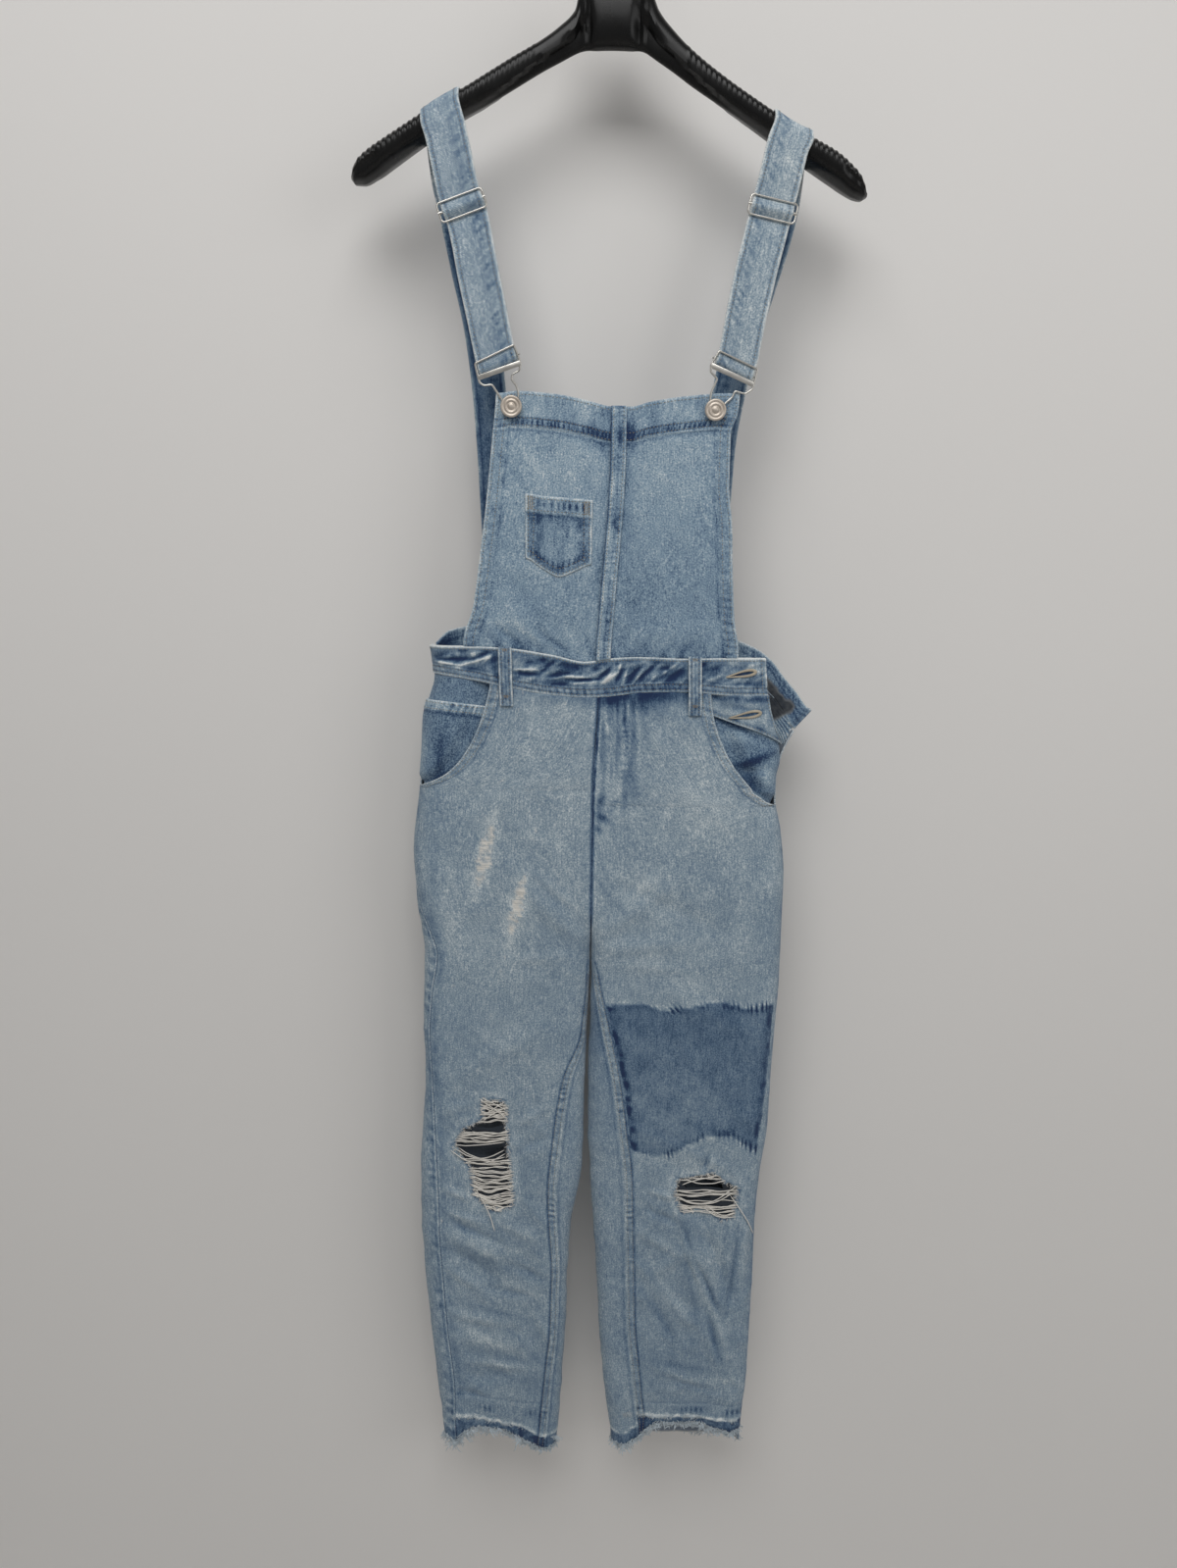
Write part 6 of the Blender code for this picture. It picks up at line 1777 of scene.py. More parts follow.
def back_leg(half, sewing):
    nominal = spaced([(PANEL_TOP, 3.4), (POCKET_END, 4.4), (HEM + 60, 2.8), (HEM, 2.8)])
    first = beyond_gap(half, seam_share(half, "inseam", nominal) + 1e-6, nominal, 1)
    last = beyond_gap(half, 2.0 + seam_share(half, "side_seam", nominal) - 1e-6, nominal, -1)
    s = between(first[:, None], last[:, None], np.linspace(0, 1, BACK_QUADS + 1)[None, :])
    sheet = Sheet(panel_grid(half, nominal, s), BACKWARD)
    x, z, run = sheet.x, sheet.z, sheet.v
    inner, outer = sheet.u, sheet.from_far_side
    sheet.wash = leg_tone(sheet, half, BACK_MARKS)
    free = smooth_step(inner / 6) * smooth_step(outer / 6)
    relief = strokes(CREASES["back"], x, z) * free * (sheet.points[..., 1] > 4)
    # Painted light on the ridges of the creases and painted shade in their hollows.
    sheet.wash += 0.045 * relief
    relief += free * (0.5 * crumple(x, z, 27.0, 56) + 0.2 * crumple(x, z, 11.0, 58))
    relief += 0.1 * billow(x, z, 6.0, 6)
    above = smooth_step((z - CROTCH + 12) / 24)
    sheet.wash += (1 - above) * stripes(inner, (0.12, 0, 1.2), (-0.20, 2.2, 1.2))
    sheet.wash += stripes(outer, (0.14, 0, 1.3), (-0.2, 2.2, 1.2))
    sheet.wash += 0.24 * roping(outer, run, 9.0, 11.0, 59)
    if half == "left":
        relief += above * felled_edge(sheet, inner + FAR * (1 - above), run, 8.0, 12)
        # Painted shade on the back panel where it shows between the legs.
        sheet.wash -= 0.17 * (sheet.points[..., 1] < 2.0) * bell(z + 1010, 90)
    yoke = BACK_YOKE.read("height", np.abs(x)) - z
    sheet.wash += stripes(yoke, (0.12, 0, 1.4), (-0.16, 2.4, 1.4))
    sheet.wash += 0.05 * roping(yoke + 4, x, 7.0, 6.5, 16)
    relief += 0.5 * until(yoke, 0, 0.9) * smooth_step((yoke + 14) / 12)
    edge = sheet.from_foot
    worn = 17 + 1.5 * drift(x, 6.0, 26)
    sheet.wash += 0.36 * bell(edge - worn, 1.8) * (0.8 + 0.4 * cloud(x, z, 4.0, 27))
    sheet.wash -= 0.22 * until(edge, worn - 3, 2.5) * (1 + 0.4 * cloud(x, z, 4.0, 28))
    sheet.fray_to(0.9 * until(edge, 1.0 + cloud(x, z, 2.6, 29), 1.5))
    sheet.raise_by(relief)
    if half == "left":
        sewing.sew(side_line, sheet, (1.8, 6.6), rows=np.flatnonzero(nominal > CROTCH + 6))
    across = np.linspace(12, 150, 70) * (-1 if half == "right" else 1)
    for rise in (1.6, 6.4):
        heights = BACK_YOKE.read("height", np.abs(across)) + rise
        sewing.stitches(traced_line(sheet, across, heights))
    return cloth_object(f"back_leg_{half}", sheet, CLOTH, lining=leg_lining())


# ---------------------------------------------------------------- hips and waist

def facing_depth(half, x, z):
    """How deep a pocket facing lies: under the front panel at the opening, level with it outside."""
    away = np.abs(x) - np.abs(pocket_edge(half, z)) - FACING_CLEAR
    deep = CLOTH + UNDER_GAP + FACING + LAYER_GAP
    return deep * (1 - 0.92 * smooth_step(away / FACING_RISE))


def hip_sheet(half, rows, lift, slant=0.0):
    """A facing or a patch behind the pocket opening, as its solid lies."""
    number = np.interp(np.linspace(0, 1, 70), np.linspace(0, 1, len(rows)), np.arange(len(rows)))
    nominal = np.interp(number, np.arange(len(rows)), rows)
    share = np.linspace(0, 1, 53)[None, :]
    direction = FACING_REACH if half == "right" else -FACING_REACH
    start = beyond_gap(half, np.zeros(nominal.shape), nominal, 1)
    limit = share_at(half, "front", pocket_edge(half, nominal) + direction, nominal)
    s = between(start[:, None], limit[:, None], share)
    level = nominal[:, None] + np.zeros(s.shape)
    z = row_height("front", ring_x(half, s, level)[0], level) - slant * number[:, None] * (1 - share)
    base = surface(half, s, z)
    depth = facing_depth(half, base[..., 0], z)
    return Sheet(base + normals_of(base, FORWARD) * (lift - depth)[..., None], FORWARD)


def hip_facing(half):
    rows = FACING_ROWS + ([-774.0] if half == "right" else [-776.0, -787.0])
    sheet = hip_sheet(half, rows, 0.0)
    x, z = sheet.x, sheet.z
    # Mostly painted light on the folds' ridges and painted shade in their hollows.
    marks = (2.3 if half == "left" else 1.9) * strokes(FACING_WEAR_AND_FOLD_SHADING[half], x, z)
    sheet.wash = FACING_TONE + 0.07 * billow(x, z, 22.0, 61) + marks
    sheet.raise_by(0.8 * strokes(FACING_FOLDS[half], x, z))
    return cloth_object(f"hip_facing_{half}", sheet, FACING, "blue_denim")


def coin_pocket(sewing):
    sheet = hip_sheet("right", FACING_ROWS[COIN_ROW:] + [-774.0], FACING + LAYER_GAP)
    x, z, top = sheet.x, sheet.z, sheet.v
    rope = roping(top, sheet.u, COIN_HEM, 7.0, 62)
    hem = until(top, COIN_HEM, 0.8)
    sheet.wash = between(COIN_TONE, 0.66, hem) + 0.28 * rope + 0.04 * billow(x, z, 14.0, 63)
    # The hem's rim is paler; the dark stripe under the hem is painted shadow.
    sheet.wash += stripes(top, (0.22, 0, 0.9), (-0.2, COIN_HEM + 2.0, 1.8))
    # Mostly painted light on the folds' ridges and painted shade in their hollows.
    sheet.wash += 1.5 * strokes(FACING_WEAR_AND_FOLD_SHADING["coin"], x, z)
    sheet.raise_by(0.5 * hem + 0.35 * rope + 0.5 * strokes(FACING_FOLDS["coin"], x, z))
    sewing.sew(end_line, sheet, (1.8, COIN_HEM - 1.4))
    return cloth_object("coin_pocket", sheet, FACING, "blue_denim")


def side_placket(sewing):
    """The buttonhole placket at the undone left side."""
    sheet = hip_sheet("left", PLACKET_ROWS, FACING + 3 * LAYER_GAP, PLACKET_SLANT)
    x, z, foot = sheet.x, sheet.z, sheet.from_foot
    # The marks are mostly painted light on the folds' ridges and painted shade in their hollows.
    sheet.wash = 0.66 + 0.05 * billow(x, z, 12.0, 64) + strokes(FACING_WEAR_AND_FOLD_SHADING["placket"], x, z)
    sheet.wash += 0.08 * bell(foot, 1.3) - 0.3 * bell(foot - 3.6, 2.0) * (0.7 + cloud(x, z, 5.0, 66))
    sheet.wash += stripes(sheet.u, (0.16, 0, 1.2), (-0.12, 3.0, 1.0)) + 0.10 * crumple(x, z, 12.0, 67)
    # Painted shade under the waistband along the placket's top.
    sheet.wash -= 0.36 * bell(sheet.v - 3.0, 3.4) * (0.8 + 0.8 * cloud(x, z, 5.0, 65))
    sheet.wash -= hole_shade(sheet, BUTTONHOLES[1])
    sheet.raise_by(0.35 * strokes(FACING_FOLDS["placket"], x, z) + 0.5 * bell(foot, 2.2))
    sewing.sew(end_line, sheet, (2.0,), foot=True)
    sewing.sew(side_line, sheet, (2.0,))
    return cloth_object("side_placket", sheet, FACING)


def hole_shade(sheet, ends):
    """The dark slit that shows through a buttonhole."""
    x1, z1, x2, z2 = ends
    return 0.62 * strokes([(x1 + 3, z1, x2 - 1, z2, 1.7, 1.0)], sheet.x, sheet.z)


def band_pucker(x, z):
    """The slanting puckers of the shrunken front waistband."""
    return sum(
        height * np.sin(2 * np.pi * (across * x + up * z) / length + phase)
        for across, up, length, phase, height in PUCKERS
    )


def front_waistband(sewing):
    levels = np.linspace(0.0, 1.0, 38)
    parts = []
    for half, s in (("right", np.linspace(-0.06, 0.97, 178)), ("left", np.linspace(0.97, 0.0, 178))):
        x = ring_x(half, s, FRONT_WAIST_RING)[0]
        low, high = WAIST_LINES.read("band_bottom", x), WAIST_LINES.read("band_top", x)
        z = between(low[None, :], high[None, :], levels[:, None])
        parts.append(surface(half, s[None, :] + np.zeros(z.shape), z))
    sheet = Sheet(np.concatenate(parts, axis=1)[::-1], FORWARD)
    x, z, top, hem = sheet.x, sheet.z, sheet.v, sheet.from_foot
    body = smooth_step(np.sin(np.pi * levels[::-1][:, None]) * 1.8)
    along, over = x * 0.88 + z * 0.47, z * 0.88 - x * 0.47
    fine = cloud(along * 0.30 + 3 * cloud(x, z, 9.0, 73), over, 3.4, 74)
    fine = fine + 0.5 * cloud(along * 0.4, over, 1.8, 71)
    placed, pucker = strokes(WAIST_CREASES, x, z), band_pucker(x, z)
    sheet.wash = 0.62 - 0.9 * WAIST_SHADE.read("shade", x)
    # Lighter on the crests of the creases and puckers and darker in their hollows: partly wear of the crests, partly
    # painted light and shade.
    sheet.wash += body * (0.26 * fine + 0.40 * placed + 0.06 * pucker)
    sheet.wash -= hole_shade(sheet, BUTTONHOLES[0])
    rope = roping(hem, sheet.u, 8.0, 6.0, 75)
    low = 0.66 - 0.9 * BAND_SHADE.read("shade", x) + 0.22 * rope
    sheet.wash = between(sheet.wash, low, until(hem, 6.5, 2.0))
    sheet.wash += stripes(
        hem, (0.24, 0, 1.0), (-0.26, 2.6, 0.8), (-0.26, 6.9, 0.8), (0.10, 8.4, 0.7), (-0.12, 10.0, 1.2)
    )
    sheet.wash += 0.50 * bell(top, 1.1)
    sheet.wash -= 0.30 * bell(top - 3.4, 1.6) * np.clip(0.3 + cloud(x, z, 6.0, 68), 0, 1)
    sheet.wash += stripes(sheet.from_far_side, (0.30, 0, 1.2), (-0.16, 5.0, 1.0))
    relief = 0.6 * pucker * body + (0.35 * fine + 0.9 * placed) * body
    relief = relief * smooth_step(np.minimum(top, hem) / 6) + 0.25 * rope
    relief -= stripes(hem, (0.3, 1.8, 0.6), (0.3, 6.6, 0.6))
    under_loop = np.maximum(*(until(np.abs(x - at), 6.5, 6) for at, _ in BELT_LOOPS.values()))
    relief = np.maximum(relief * (1 - 0.6 * under_loop), -1.4)
    sheet.raise_by(BAND_PROUD + relief)
    sewing.sew(end_line, sheet, (1.8, 6.6), foot=True)
    sewing.sew(end_line, sheet, (2.0,))
    sewing.sew(side_line, sheet, (4.0,), far=True)
    return cloth_object("waistband_front", sheet, BAND + relief)


def flare_hollow(sheet):
    """Painted shade inside the flaring end of the back waistband, given as negative values."""
    x, z = sheet.x, sheet.z
    within = edge_distance(FLARE_SHADE, x, z)[0] + 1.6 * cloud(x, z, 5.0, 118)
    shade = smooth_step(within / 5.5) * (0.96 + 0.04 * cloud(x, z, 3.0, 119))
    return np.where(inside(FLARE_SHADE, x, z), -shade, 0.0)


def back_waistband(sewing):
    levels = np.linspace(0.0, 1.0, 30)[::-1][:, None]
    parts = []
    for half, s in (("right", np.linspace(1.92, 1.03, 130)), ("left", np.linspace(1.03, 1.9999, 150))):
        ring = surface(half, s, BACK_WAIST_RING)
        lean = BACK_WAIST.read("lean", ring[:, 0])
        low = BACK_WAIST.read("band_bottom", ring[:, 0] - lean)
        high = BACK_WAIST.read("band_top", ring[:, 0])
        x = ring[None, :, 0] - lean[None, :] * (1 - levels)
        z = between(low[None, :], high[None, :], levels)
        parts.append(np.stack((x, ring[None, :, 1] + np.zeros(x.shape), z), axis=-1))
    sheet = Sheet(np.concatenate(parts, axis=1), BACKWARD)
    x, z = sheet.x, sheet.z
    hem = np.minimum(sheet.v, sheet.from_foot)
    rope = roping(hem, sheet.u, 7.0, 7.0, 76)
    sheet.wash = 0.60 + 0.12 * billow(x, z, 16.0, 77) + 0.16 * rope
    sheet.wash += stripes(hem, (0.30, 0, 1.2), (-0.14, 4.0, 1.0), (-0.24, 8.0, 1.4))
    sheet.wash -= 0.30 * spot(x, z, -153, -634, 12, 12)
    # Painted shade inside the flaring end, and a darker inner face near the right end and along the flaring end,
    # where the inside shows from the front.
    sheet.fray_and_hollow_shade_inside = flare_hollow(sheet)
    sheet.wash_inside = sheet.wash - 0.30 * bell(x + 153, 22) - 0.16 * (x > 140)
    relief = 0.25 * rope + 0.5 * np.sin(np.pi * levels) * cloud(x, z * 0.5, 11.0, 78)
    sheet.raise_by(BAND_PROUD + relief)
    for distance in (2.0, 6.6):
        sewing.sew(end_line, sheet, (distance,))
        sewing.sew(end_line, sheet, (distance,), foot=True)
    return cloth_object("waistband_back", sheet, BAND + relief, lining=blue_denim())


def side_underlap():
    """The strip behind the open placket that joins the back waistband's end to the back panel."""
    t = np.linspace(0, 1, 40)
    top, foot = (smooth_columns(np.linspace(0, 1, 4), line, t) for line in (UNDERLAP_TOP, UNDERLAP_FOOT))
    sheet = Sheet(between(top[None], foot[None], np.linspace(0, 1, 28)[:, None, None]), FORWARD)
    ribs = np.sin(2 * np.pi * (sheet.v + 0.25 * sheet.u) / 3.4)
    sheet.wash = 0.60 + 0.24 * ribs + 0.14 * cloud(sheet.x, sheet.z, 5.0, 79)
    sheet.wash += 0.2 * bell(sheet.from_far_side, 1.2)
    # Painted shade where the underlap lies in the flaring end.
    sheet.fray_and_hollow_shade = flare_hollow(sheet)
    sheet.raise_by(0.35 * ribs)
    return cloth_object("side_underlap", sheet, FACING, "blue_denim", blue_denim(), has_solid=False)


def belt_loop(half, sewing, tacks):
    across, drop = BELT_LOOPS[half]
    heights, stands = np.array(LOOP_ROWS[::-1]).T
    heights = heights - drop
    z = np.linspace(heights[-1], heights[0], 70)[:, None] + np.zeros((70, 19))
    off_middle = np.linspace(-0.5, 0.5, 19)[None, :] * LOOP_WIDTH
    x = across + (LOOP_ROWS[0][0] - z) * LOOP_SLANT + off_middle
    base = surface(half, share_at(half, "front", x, z), z)
    stand = np.interp(z, heights, stands) + LOOP_THICK
    sheet = Sheet(base + normals_of(base, FORWARD) * stand[..., None], FORWARD)
    edge = sheet.from_side
    sheet.wash = 0.68 + stripes(edge, (0.24, 0, 0.9), (-0.32, 2.0, 0.8)) + 0.14 * cloud(x, z, 3.0, 81)
    sheet.wash -= 0.24 * bell(off_middle, 0.8)
    sheet.wash -= 0.14 * bell(edge - 4.0, 1.6) * np.clip(0.4 + cloud(x, z * 0.4, 4.0, 84), 0, 1)
    relief = 0.25 * bell(off_middle, 1.6) + 0.12 * cloud(x, z, 2.5, 82)
    sheet.raise_by(relief * smooth_step(edge / 1.0))
    sewing.sew(side_line, sheet, (2.1, 8.9), look={"width": 0.7})
    tacks.sew(end_line, sheet, (1.4, 2.3, 3.2, 44.4, 45.3, 46.2), columns=slice(5, -5),
              look={"pitch": 1.6, "width": 1.1, "height": 0.6})
    return cloth_object(f"belt_loop_{half}", sheet, LOOP_THICK)


# ---------------------------------------------------------------- bib

def bib_panel(half, sewing):
    drop = spaced_by(((0, BIB_BAND - 1, 22), (BIB_BAND - 0.4, BIB_BAND + 0.8, 4),
                      (BIB_BAND + 2.5, BIB_HEIGHT, 96)))[:, None]
    nominal = BIB_FOOT + BIB_HEIGHT - drop[:, 0]
    direction = 1 if half == "right" else -1
    edge = BIB_SIDES.read(half, nominal)[:, None]
    seam = (BIB_SIDES.read("centre", nominal) - direction * SEAM_GAP / 2)[:, None]
    steps = spaced_by(((0, BIB_SIDE_HEM - 1, 8), (BIB_SIDE_HEM - 0.6, BIB_SIDE_HEM + 0.6, 4)))
    hem_x = edge + direction * steps[None, :]
    rest = between(hem_x[:, -1:], seam, np.linspace(0, 1, 64)[None, 1:])
    x = np.concatenate([hem_x, rest], axis=1)
    z = between(BIB_TOP.read("height", x), WAIST_LINES.read("band_top", x) + SEAM_GAP, drop / BIB_HEIGHT)
    inset, centre = np.abs(x - edge), np.abs(x - seam)
    hemmed = np.maximum(until(inset, BIB_SIDE_HEM - 0.7, 1.4), until(drop, BIB_BAND - 0.6, 1.2))
    sheet = Sheet(bib_points(x, z, FOLDED_HEM * hemmed), FORWARD)
    down, up = sheet.v, sheet.from_foot
    side_hem = roping(inset, down, BIB_SIDE_HEM, 8.0, 91)
    band_hem = 0.3 * roping(down, sheet.u, 7.0, 9.0, 93)
    dashes = bars(sheet.u, 4.1, 92) * bell(BIB_BAND - 4.6 - down, 2.5) * smooth_step(inset / 8)
    sheet.wash = BIB_TONES.read(half, z) + 0.05 * billow(x, z, 30.0, 94) + strokes(BIB_MARKS, x, z)
    sheet.wash += 0.14 * side_hem - 0.04 * (inset < BIB_SIDE_HEM) + 0.30 * band_hem
    sheet.wash -= (0.62 + 0.12 * bell(centre, 34)) * dashes
    sheet.wash += 0.10 * cloud(x, z * 0.2, 4.0, 105) * smooth_step((BIB_BAND - down) / 3)
    # The dark stripe just under the turned top hem is painted shade.
    sheet.wash += stripes(
        down - BIB_BAND, (-0.34, -8.0, 0.8), (-0.09, -4.6, 3.4), (-0.34, -2.0, 0.8), (0.14, 0, 1.0),
        (-0.20, 2.4, 1.6),
    )
    hollow = np.clip(0.45 + cloud(x, z * 0.3, 6.0, 106), 0, 1)
    sheet.wash -= 0.42 * bell(centre, 22) * bell(down - 20, 16) * hollow
    sheet.wash += 0.24 * bell(inset, 1.1) + 0.12 * bell(down, 1.2) + 0.014 * crumple(x, z, 20.0, 99)
    beside = 0.16 * bell(inset - BIB_SIDE_HEM - 2.2, 1.6) * (1 + cloud(x, z, 9.0, 107))
    sheet.wash += (0.05 * bell(inset - BIB_SIDE_HEM, 1.0) - beside) * (down > BIB_BAND)
    # Painted shade beside the raised centre strip.
    sheet.wash -= 0.10 * bell(centre - 7.0, 3.0) * (1 + 0.8 * cloud(x, z, 14.0, 100))
    sheet.wash -= 0.12 * bell(centre, 34) * bell(down - 22, 8)
    foot, gathers = bell(up, 11.0), cloud(x, z * 0.3, 8.0, 95)
    sheet.wash -= 0.24 * foot * (0.6 + 0.9 * gathers)
    relief = strokes(CREASES["bib"], x, z) + 0.10 * billow(x, z, 6.0, 96)
    relief += 6.0 * strokes(BIB_MARKS, x, z) + 0.22 * crumple(x, z, 20.0, 99)
    relief += 0.25 * side_hem + 0.22 * band_hem + 0.7 * foot * gathers
    relief *= smooth_step(up / 2.5)
    # Painted light on the raised creases and marks, painted shade in their hollows.
    sheet.wash += 0.03 * relief
    sheet.raise_by(relief)
    sewing.sew(side_line, sheet, (2.0, 8.6), rows=slice(2, None))
    sewing.sew(end_line, sheet, (2.2, BIB_BAND - 8.0, BIB_BAND - 2.0), columns=slice(6, None))
    return cloth_object(f"bib_{half}", sheet, CLOTH + FOLDED_HEM * hemmed, "blue_denim")


def bib_strip(sewing):
    share = np.linspace(0, 1, 130)[:, None]
    centre = BIB_SIDES.read("centre", BIB_FOOT + BIB_HEIGHT * (1 - share))
    x = centre + np.linspace(-0.5, 0.5, 19)[None, :] * BIB_STRIP
    top = BIB_TOP.read("height", x) + 0.8
    z = between(top, WAIST_LINES.read("band_top", x) + SEAM_GAP, share)
    sheet = Sheet(bib_points(x, z, FOLDED_HEM + LAYER_GAP + BIB_STRIP_THICK), FORWARD)
    edge, near, far = sheet.from_side, sheet.u, sheet.from_far_side
    rope = roping(edge, sheet.v, 4.5, 7.5, 97)
    sheet.wash = 0.64 + 0.16 * bell(edge, 0.9) + 0.12 * rope
    sheet.wash -= 0.26 * bars(sheet.v, 4.2, 108) * bell(far - 4.5, 3.6)
    sheet.wash += 0.12 * cloud(x, z * 0.3, 7.0, 98) + strokes(BIB_MARKS, x, z)
    # The dark line along the strip's near edge is painted shadow.
    sheet.wash += stripes(near, (-0.60, 0, 0.9), (0.16, 2.0, 0.8)) - 0.16 * bell(far - 6.0, 0.8)
    patches = stripes(z, (1, -446, 9), (1, -520, 12), (1, -606, 16))
    patches *= np.clip(0.6 + cloud(x, z, 4.0, 117), 0, 1.2)
    sheet.wash -= 0.34 * patches * bell(far - 4.0, 4.0)
    sheet.raise_by(0.2 * rope + 0.25 * bell(near - BIB_STRIP / 2, 2.4))
    sewing.sew(side_line, sheet, (2.0, BIB_STRIP - 2.0))
    return cloth_object("bib_centre_strip", sheet, BIB_STRIP_THICK, "blue_denim")


def bib_pocket(sewing, tacks):
    x = np.linspace(-71.0, -12.0, 50)[None, :]
    top = BIB_POCKET.read("top", x)
    step = top - POCKET_HEM
    hem = between(top, step, np.linspace(0, 1, 14)[:, None])
    body = between(step - HEM_STEP, BIB_POCKET.read("bottom", x), np.linspace(0, 1, 44)[:, None])
    z = np.concatenate([hem, body])
    x = x + np.zeros(z.shape)
    hemmed = until(top - z, POCKET_HEM, HEM_STEP)
    sheet = Sheet(bib_points(x, z, LAYER_GAP + FACING + FOLDED_HEM * hemmed), FORWARD)
    side, down, up, across = sheet.from_side, sheet.v, sheet.from_foot, sheet.u
    rim, on = np.minimum(side, up), smooth_step(side / 6)
    sheet.wash = 0.60 + 0.16 * billow(x, z * 0.25, 6.0, 101)
    sheet.wash += stripes(rim, (0.34, 0, 1.0), (-0.16, 2.6, 0.6), (-0.16, 7.4, 0.6)) + 0.26 * bell(down, 1.1)
    sheet.wash -= 0.62 * bars(across, 5.6, 102) * bell(down - POCKET_HEM / 2, 3.4) * on
    sheet.wash += stripes(down - POCKET_HEM, (0.10, 0, 0.9), (-0.26, 2.2, 1.5))
    streaks = np.clip(cloud(x * 1.2, z * 0.22, 4.5, 122), 0, 1) * smooth_step((rim - 2) / 3)
    ring = bell(rim - 10.0, 3.4) * np.clip(0.3 + 1.5 * cloud(x, z * 0.6, 4.0, 103), 0, 1.3)
    inner_ring = bell(rim - 5.0, 2.4) * np.clip(0.5 + cloud(x, z, 3.0, 109), 0, 1.2)
    dark = 0.26 * streaks + 0.16 * ring + 0.19 * inner_ring + 0.14 * bell(down - POCKET_HEM - 5, 5)
    sheet.wash -= smooth_step((down - POCKET_HEM - 1) / 2) * dark
    teeth = 0.5 + 0.5 * np.sin(2 * np.pi * across / 4.6 + 2.5 * drift(across, 7.0, 110))
    sheet.wash -= 0.42 * teeth**2 * bell(up - 8.5, 3.4) * on
    sheet.raise_by(0.25 * roping(down, across, POCKET_HEM, 8.0, 102) * smooth_step(side / 3))
    for distance in (2.0, 7.0):
        sewing.sew(side_line, sheet, (distance,), rows=slice(2, -3))
        sewing.sew(side_line, sheet, (distance,), far=True, rows=slice(2, -3))
        sewing.sew(end_line, sheet, (distance,), foot=True, columns=slice(2, -2))
    sewing.sew(end_line, sheet, (2.0, POCKET_HEM - 1.6))
    for columns in (slice(1, 7), slice(-7, -1)):
        tacks.sew(end_line, sheet, np.arange(1.2, POCKET_HEM - 0.8, 1.1), columns=columns,
                  look={"pitch": 1.8, "width": 1.0})
    return cloth_object("bib_pocket", sheet, FACING + FOLDED_HEM * hemmed, "blue_denim")


# ---------------------------------------------------------------- straps

def strap_rows(half):
    """Four points across the middle of the strap's wall, for each place along it."""
    runs = STRAPS[half]
    shares = np.array((-0.5, -0.17, 0.17, 0.5))
    across_x, slope, lift = runs["over"]

    def flat_row(x, y, z, degrees, width=STRAP_WIDTH):
        turn, reach = math.radians(degrees), shares * width
        return np.stack((x + reach * math.cos(turn), y + reach * 0, z + reach * math.sin(turn)), axis=-1)

    rows = []
    for x, y, z, degrees in runs["behind"]:
        width = between(STRAP_BEHIND_WIDTH, STRAP_WIDTH, smooth_step((z + 420) / 200))
        rows.append(flat_row(x, y, z, degrees, float(width)))
    for angle in STRAP_TURNS:
        x = across_x + shares * STRAP_WIDTH * math.cos(math.radians(slope))
        y, z = hanger_section(x, angle, STRAP_STAND)
        z = z + lift * np.maximum(0.0, shares * math.copysign(1, across_x))
        rows.append(np.stack((x, y, z), axis=-1))
    for row in (*runs["front"], runs["fold"], *runs["return"]):
        rows.append(flat_row(*row))
    return np.array(rows)


def strap(half, sewing):
    coarse = strap_rows(half)
    run = run_along((coarse[:, 1] + coarse[:, 2]) / 2)
    fine_run = np.unique(np.concatenate([np.arange(0, run[-1], 2.4), run]))
    grid = np.stack([smooth_columns(run, coarse[:, c], fine_run) for c in range(4)], axis=1)
    shares = np.linspace(0, 1, 27)
    base = np.stack([sampled((0, 0.33, 0.67, 1), row, shares) for row in grid])
    on_front = run[len(STRAPS[half]["behind"]) + len(STRAP_TURNS) + 8]
    front_row = int(np.argmin(np.abs(fine_run - on_front)))
    sheet = Sheet(base, FORWARD, (front_row / (len(base) - 1), 0.5))
    across, edge, length = sheet.u, sheet.from_side, sheet.v
    inner = sheet.from_far_side if half == "right" else across
    rope = roping(edge, length, 7.0, 9.0, 111)
    blotches = smooth_step(1.6 * np.sin(2 * np.pi * length / 9.0 + 3 * drift(length, 17.0, 112)) - 0.2)
    blotches *= np.clip(0.7 + 1.0 * cloud(across, length, 7.0, 115), 0, 1.2)
    sheet.wash = STRAP_TONE[half] + 0.05 * billow(across, length, 22.0, 113) + 0.05 * rope
    sheet.wash -= 0.27 * blotches * bell(inner - 9.0, 4.6) + 0.06 * bell(inner - 12.0, 3.5)
    sheet.wash += stripes(edge, (0.20, 0, 1.0), (-0.26, 3.4, 0.9))
    sheet.wash -= 0.05 * smooth_step((base[..., 2] + 200) / 80)
    # Darker where the strap hangs behind the bib: partly painted shade, partly a darker blue of the cloth.
    behind = smooth_step((base[..., 1] - 8) / 4) * smooth_step((-225 - base[..., 2]) / 30)
    sheet.wash -= behind * (0.34 + 0.14 * cloud(across, length * 0.3, 5.0, 116))
    relief = 0.2 * rope + stripes(edge, (0.25, 2.5, 2.0), (-0.15, 3.4, 0.6))
    relief = 0.6 * (relief + 0.15 * cloud(across, length, 9.0, 114))
    sheet.raise_by(STRAP / 2 + relief)
    sewing.sew(side_line, sheet, (3.4,))
    sewing.sew(side_line, sheet, (3.4,), far=True)
    return cloth_object(f"strap_{half}", sheet, STRAP + relief, lining=light_denim())


# ---------------------------------------------------------------- knees, spots and hems

def outline_span(outline, z):
    """Where a level line crosses an outline: its lowest and highest places across."""
    found = []
    for (x1, z1), (x2, z2) in zip(outline, outline[1:] + outline[:1]):
        if (z1 > z) != (z2 > z):
            found.append(x1 + (x2 - x1) * (z - z1) / (z2 - z1))
    return (min(found), max(found)) if len(found) > 1 else None


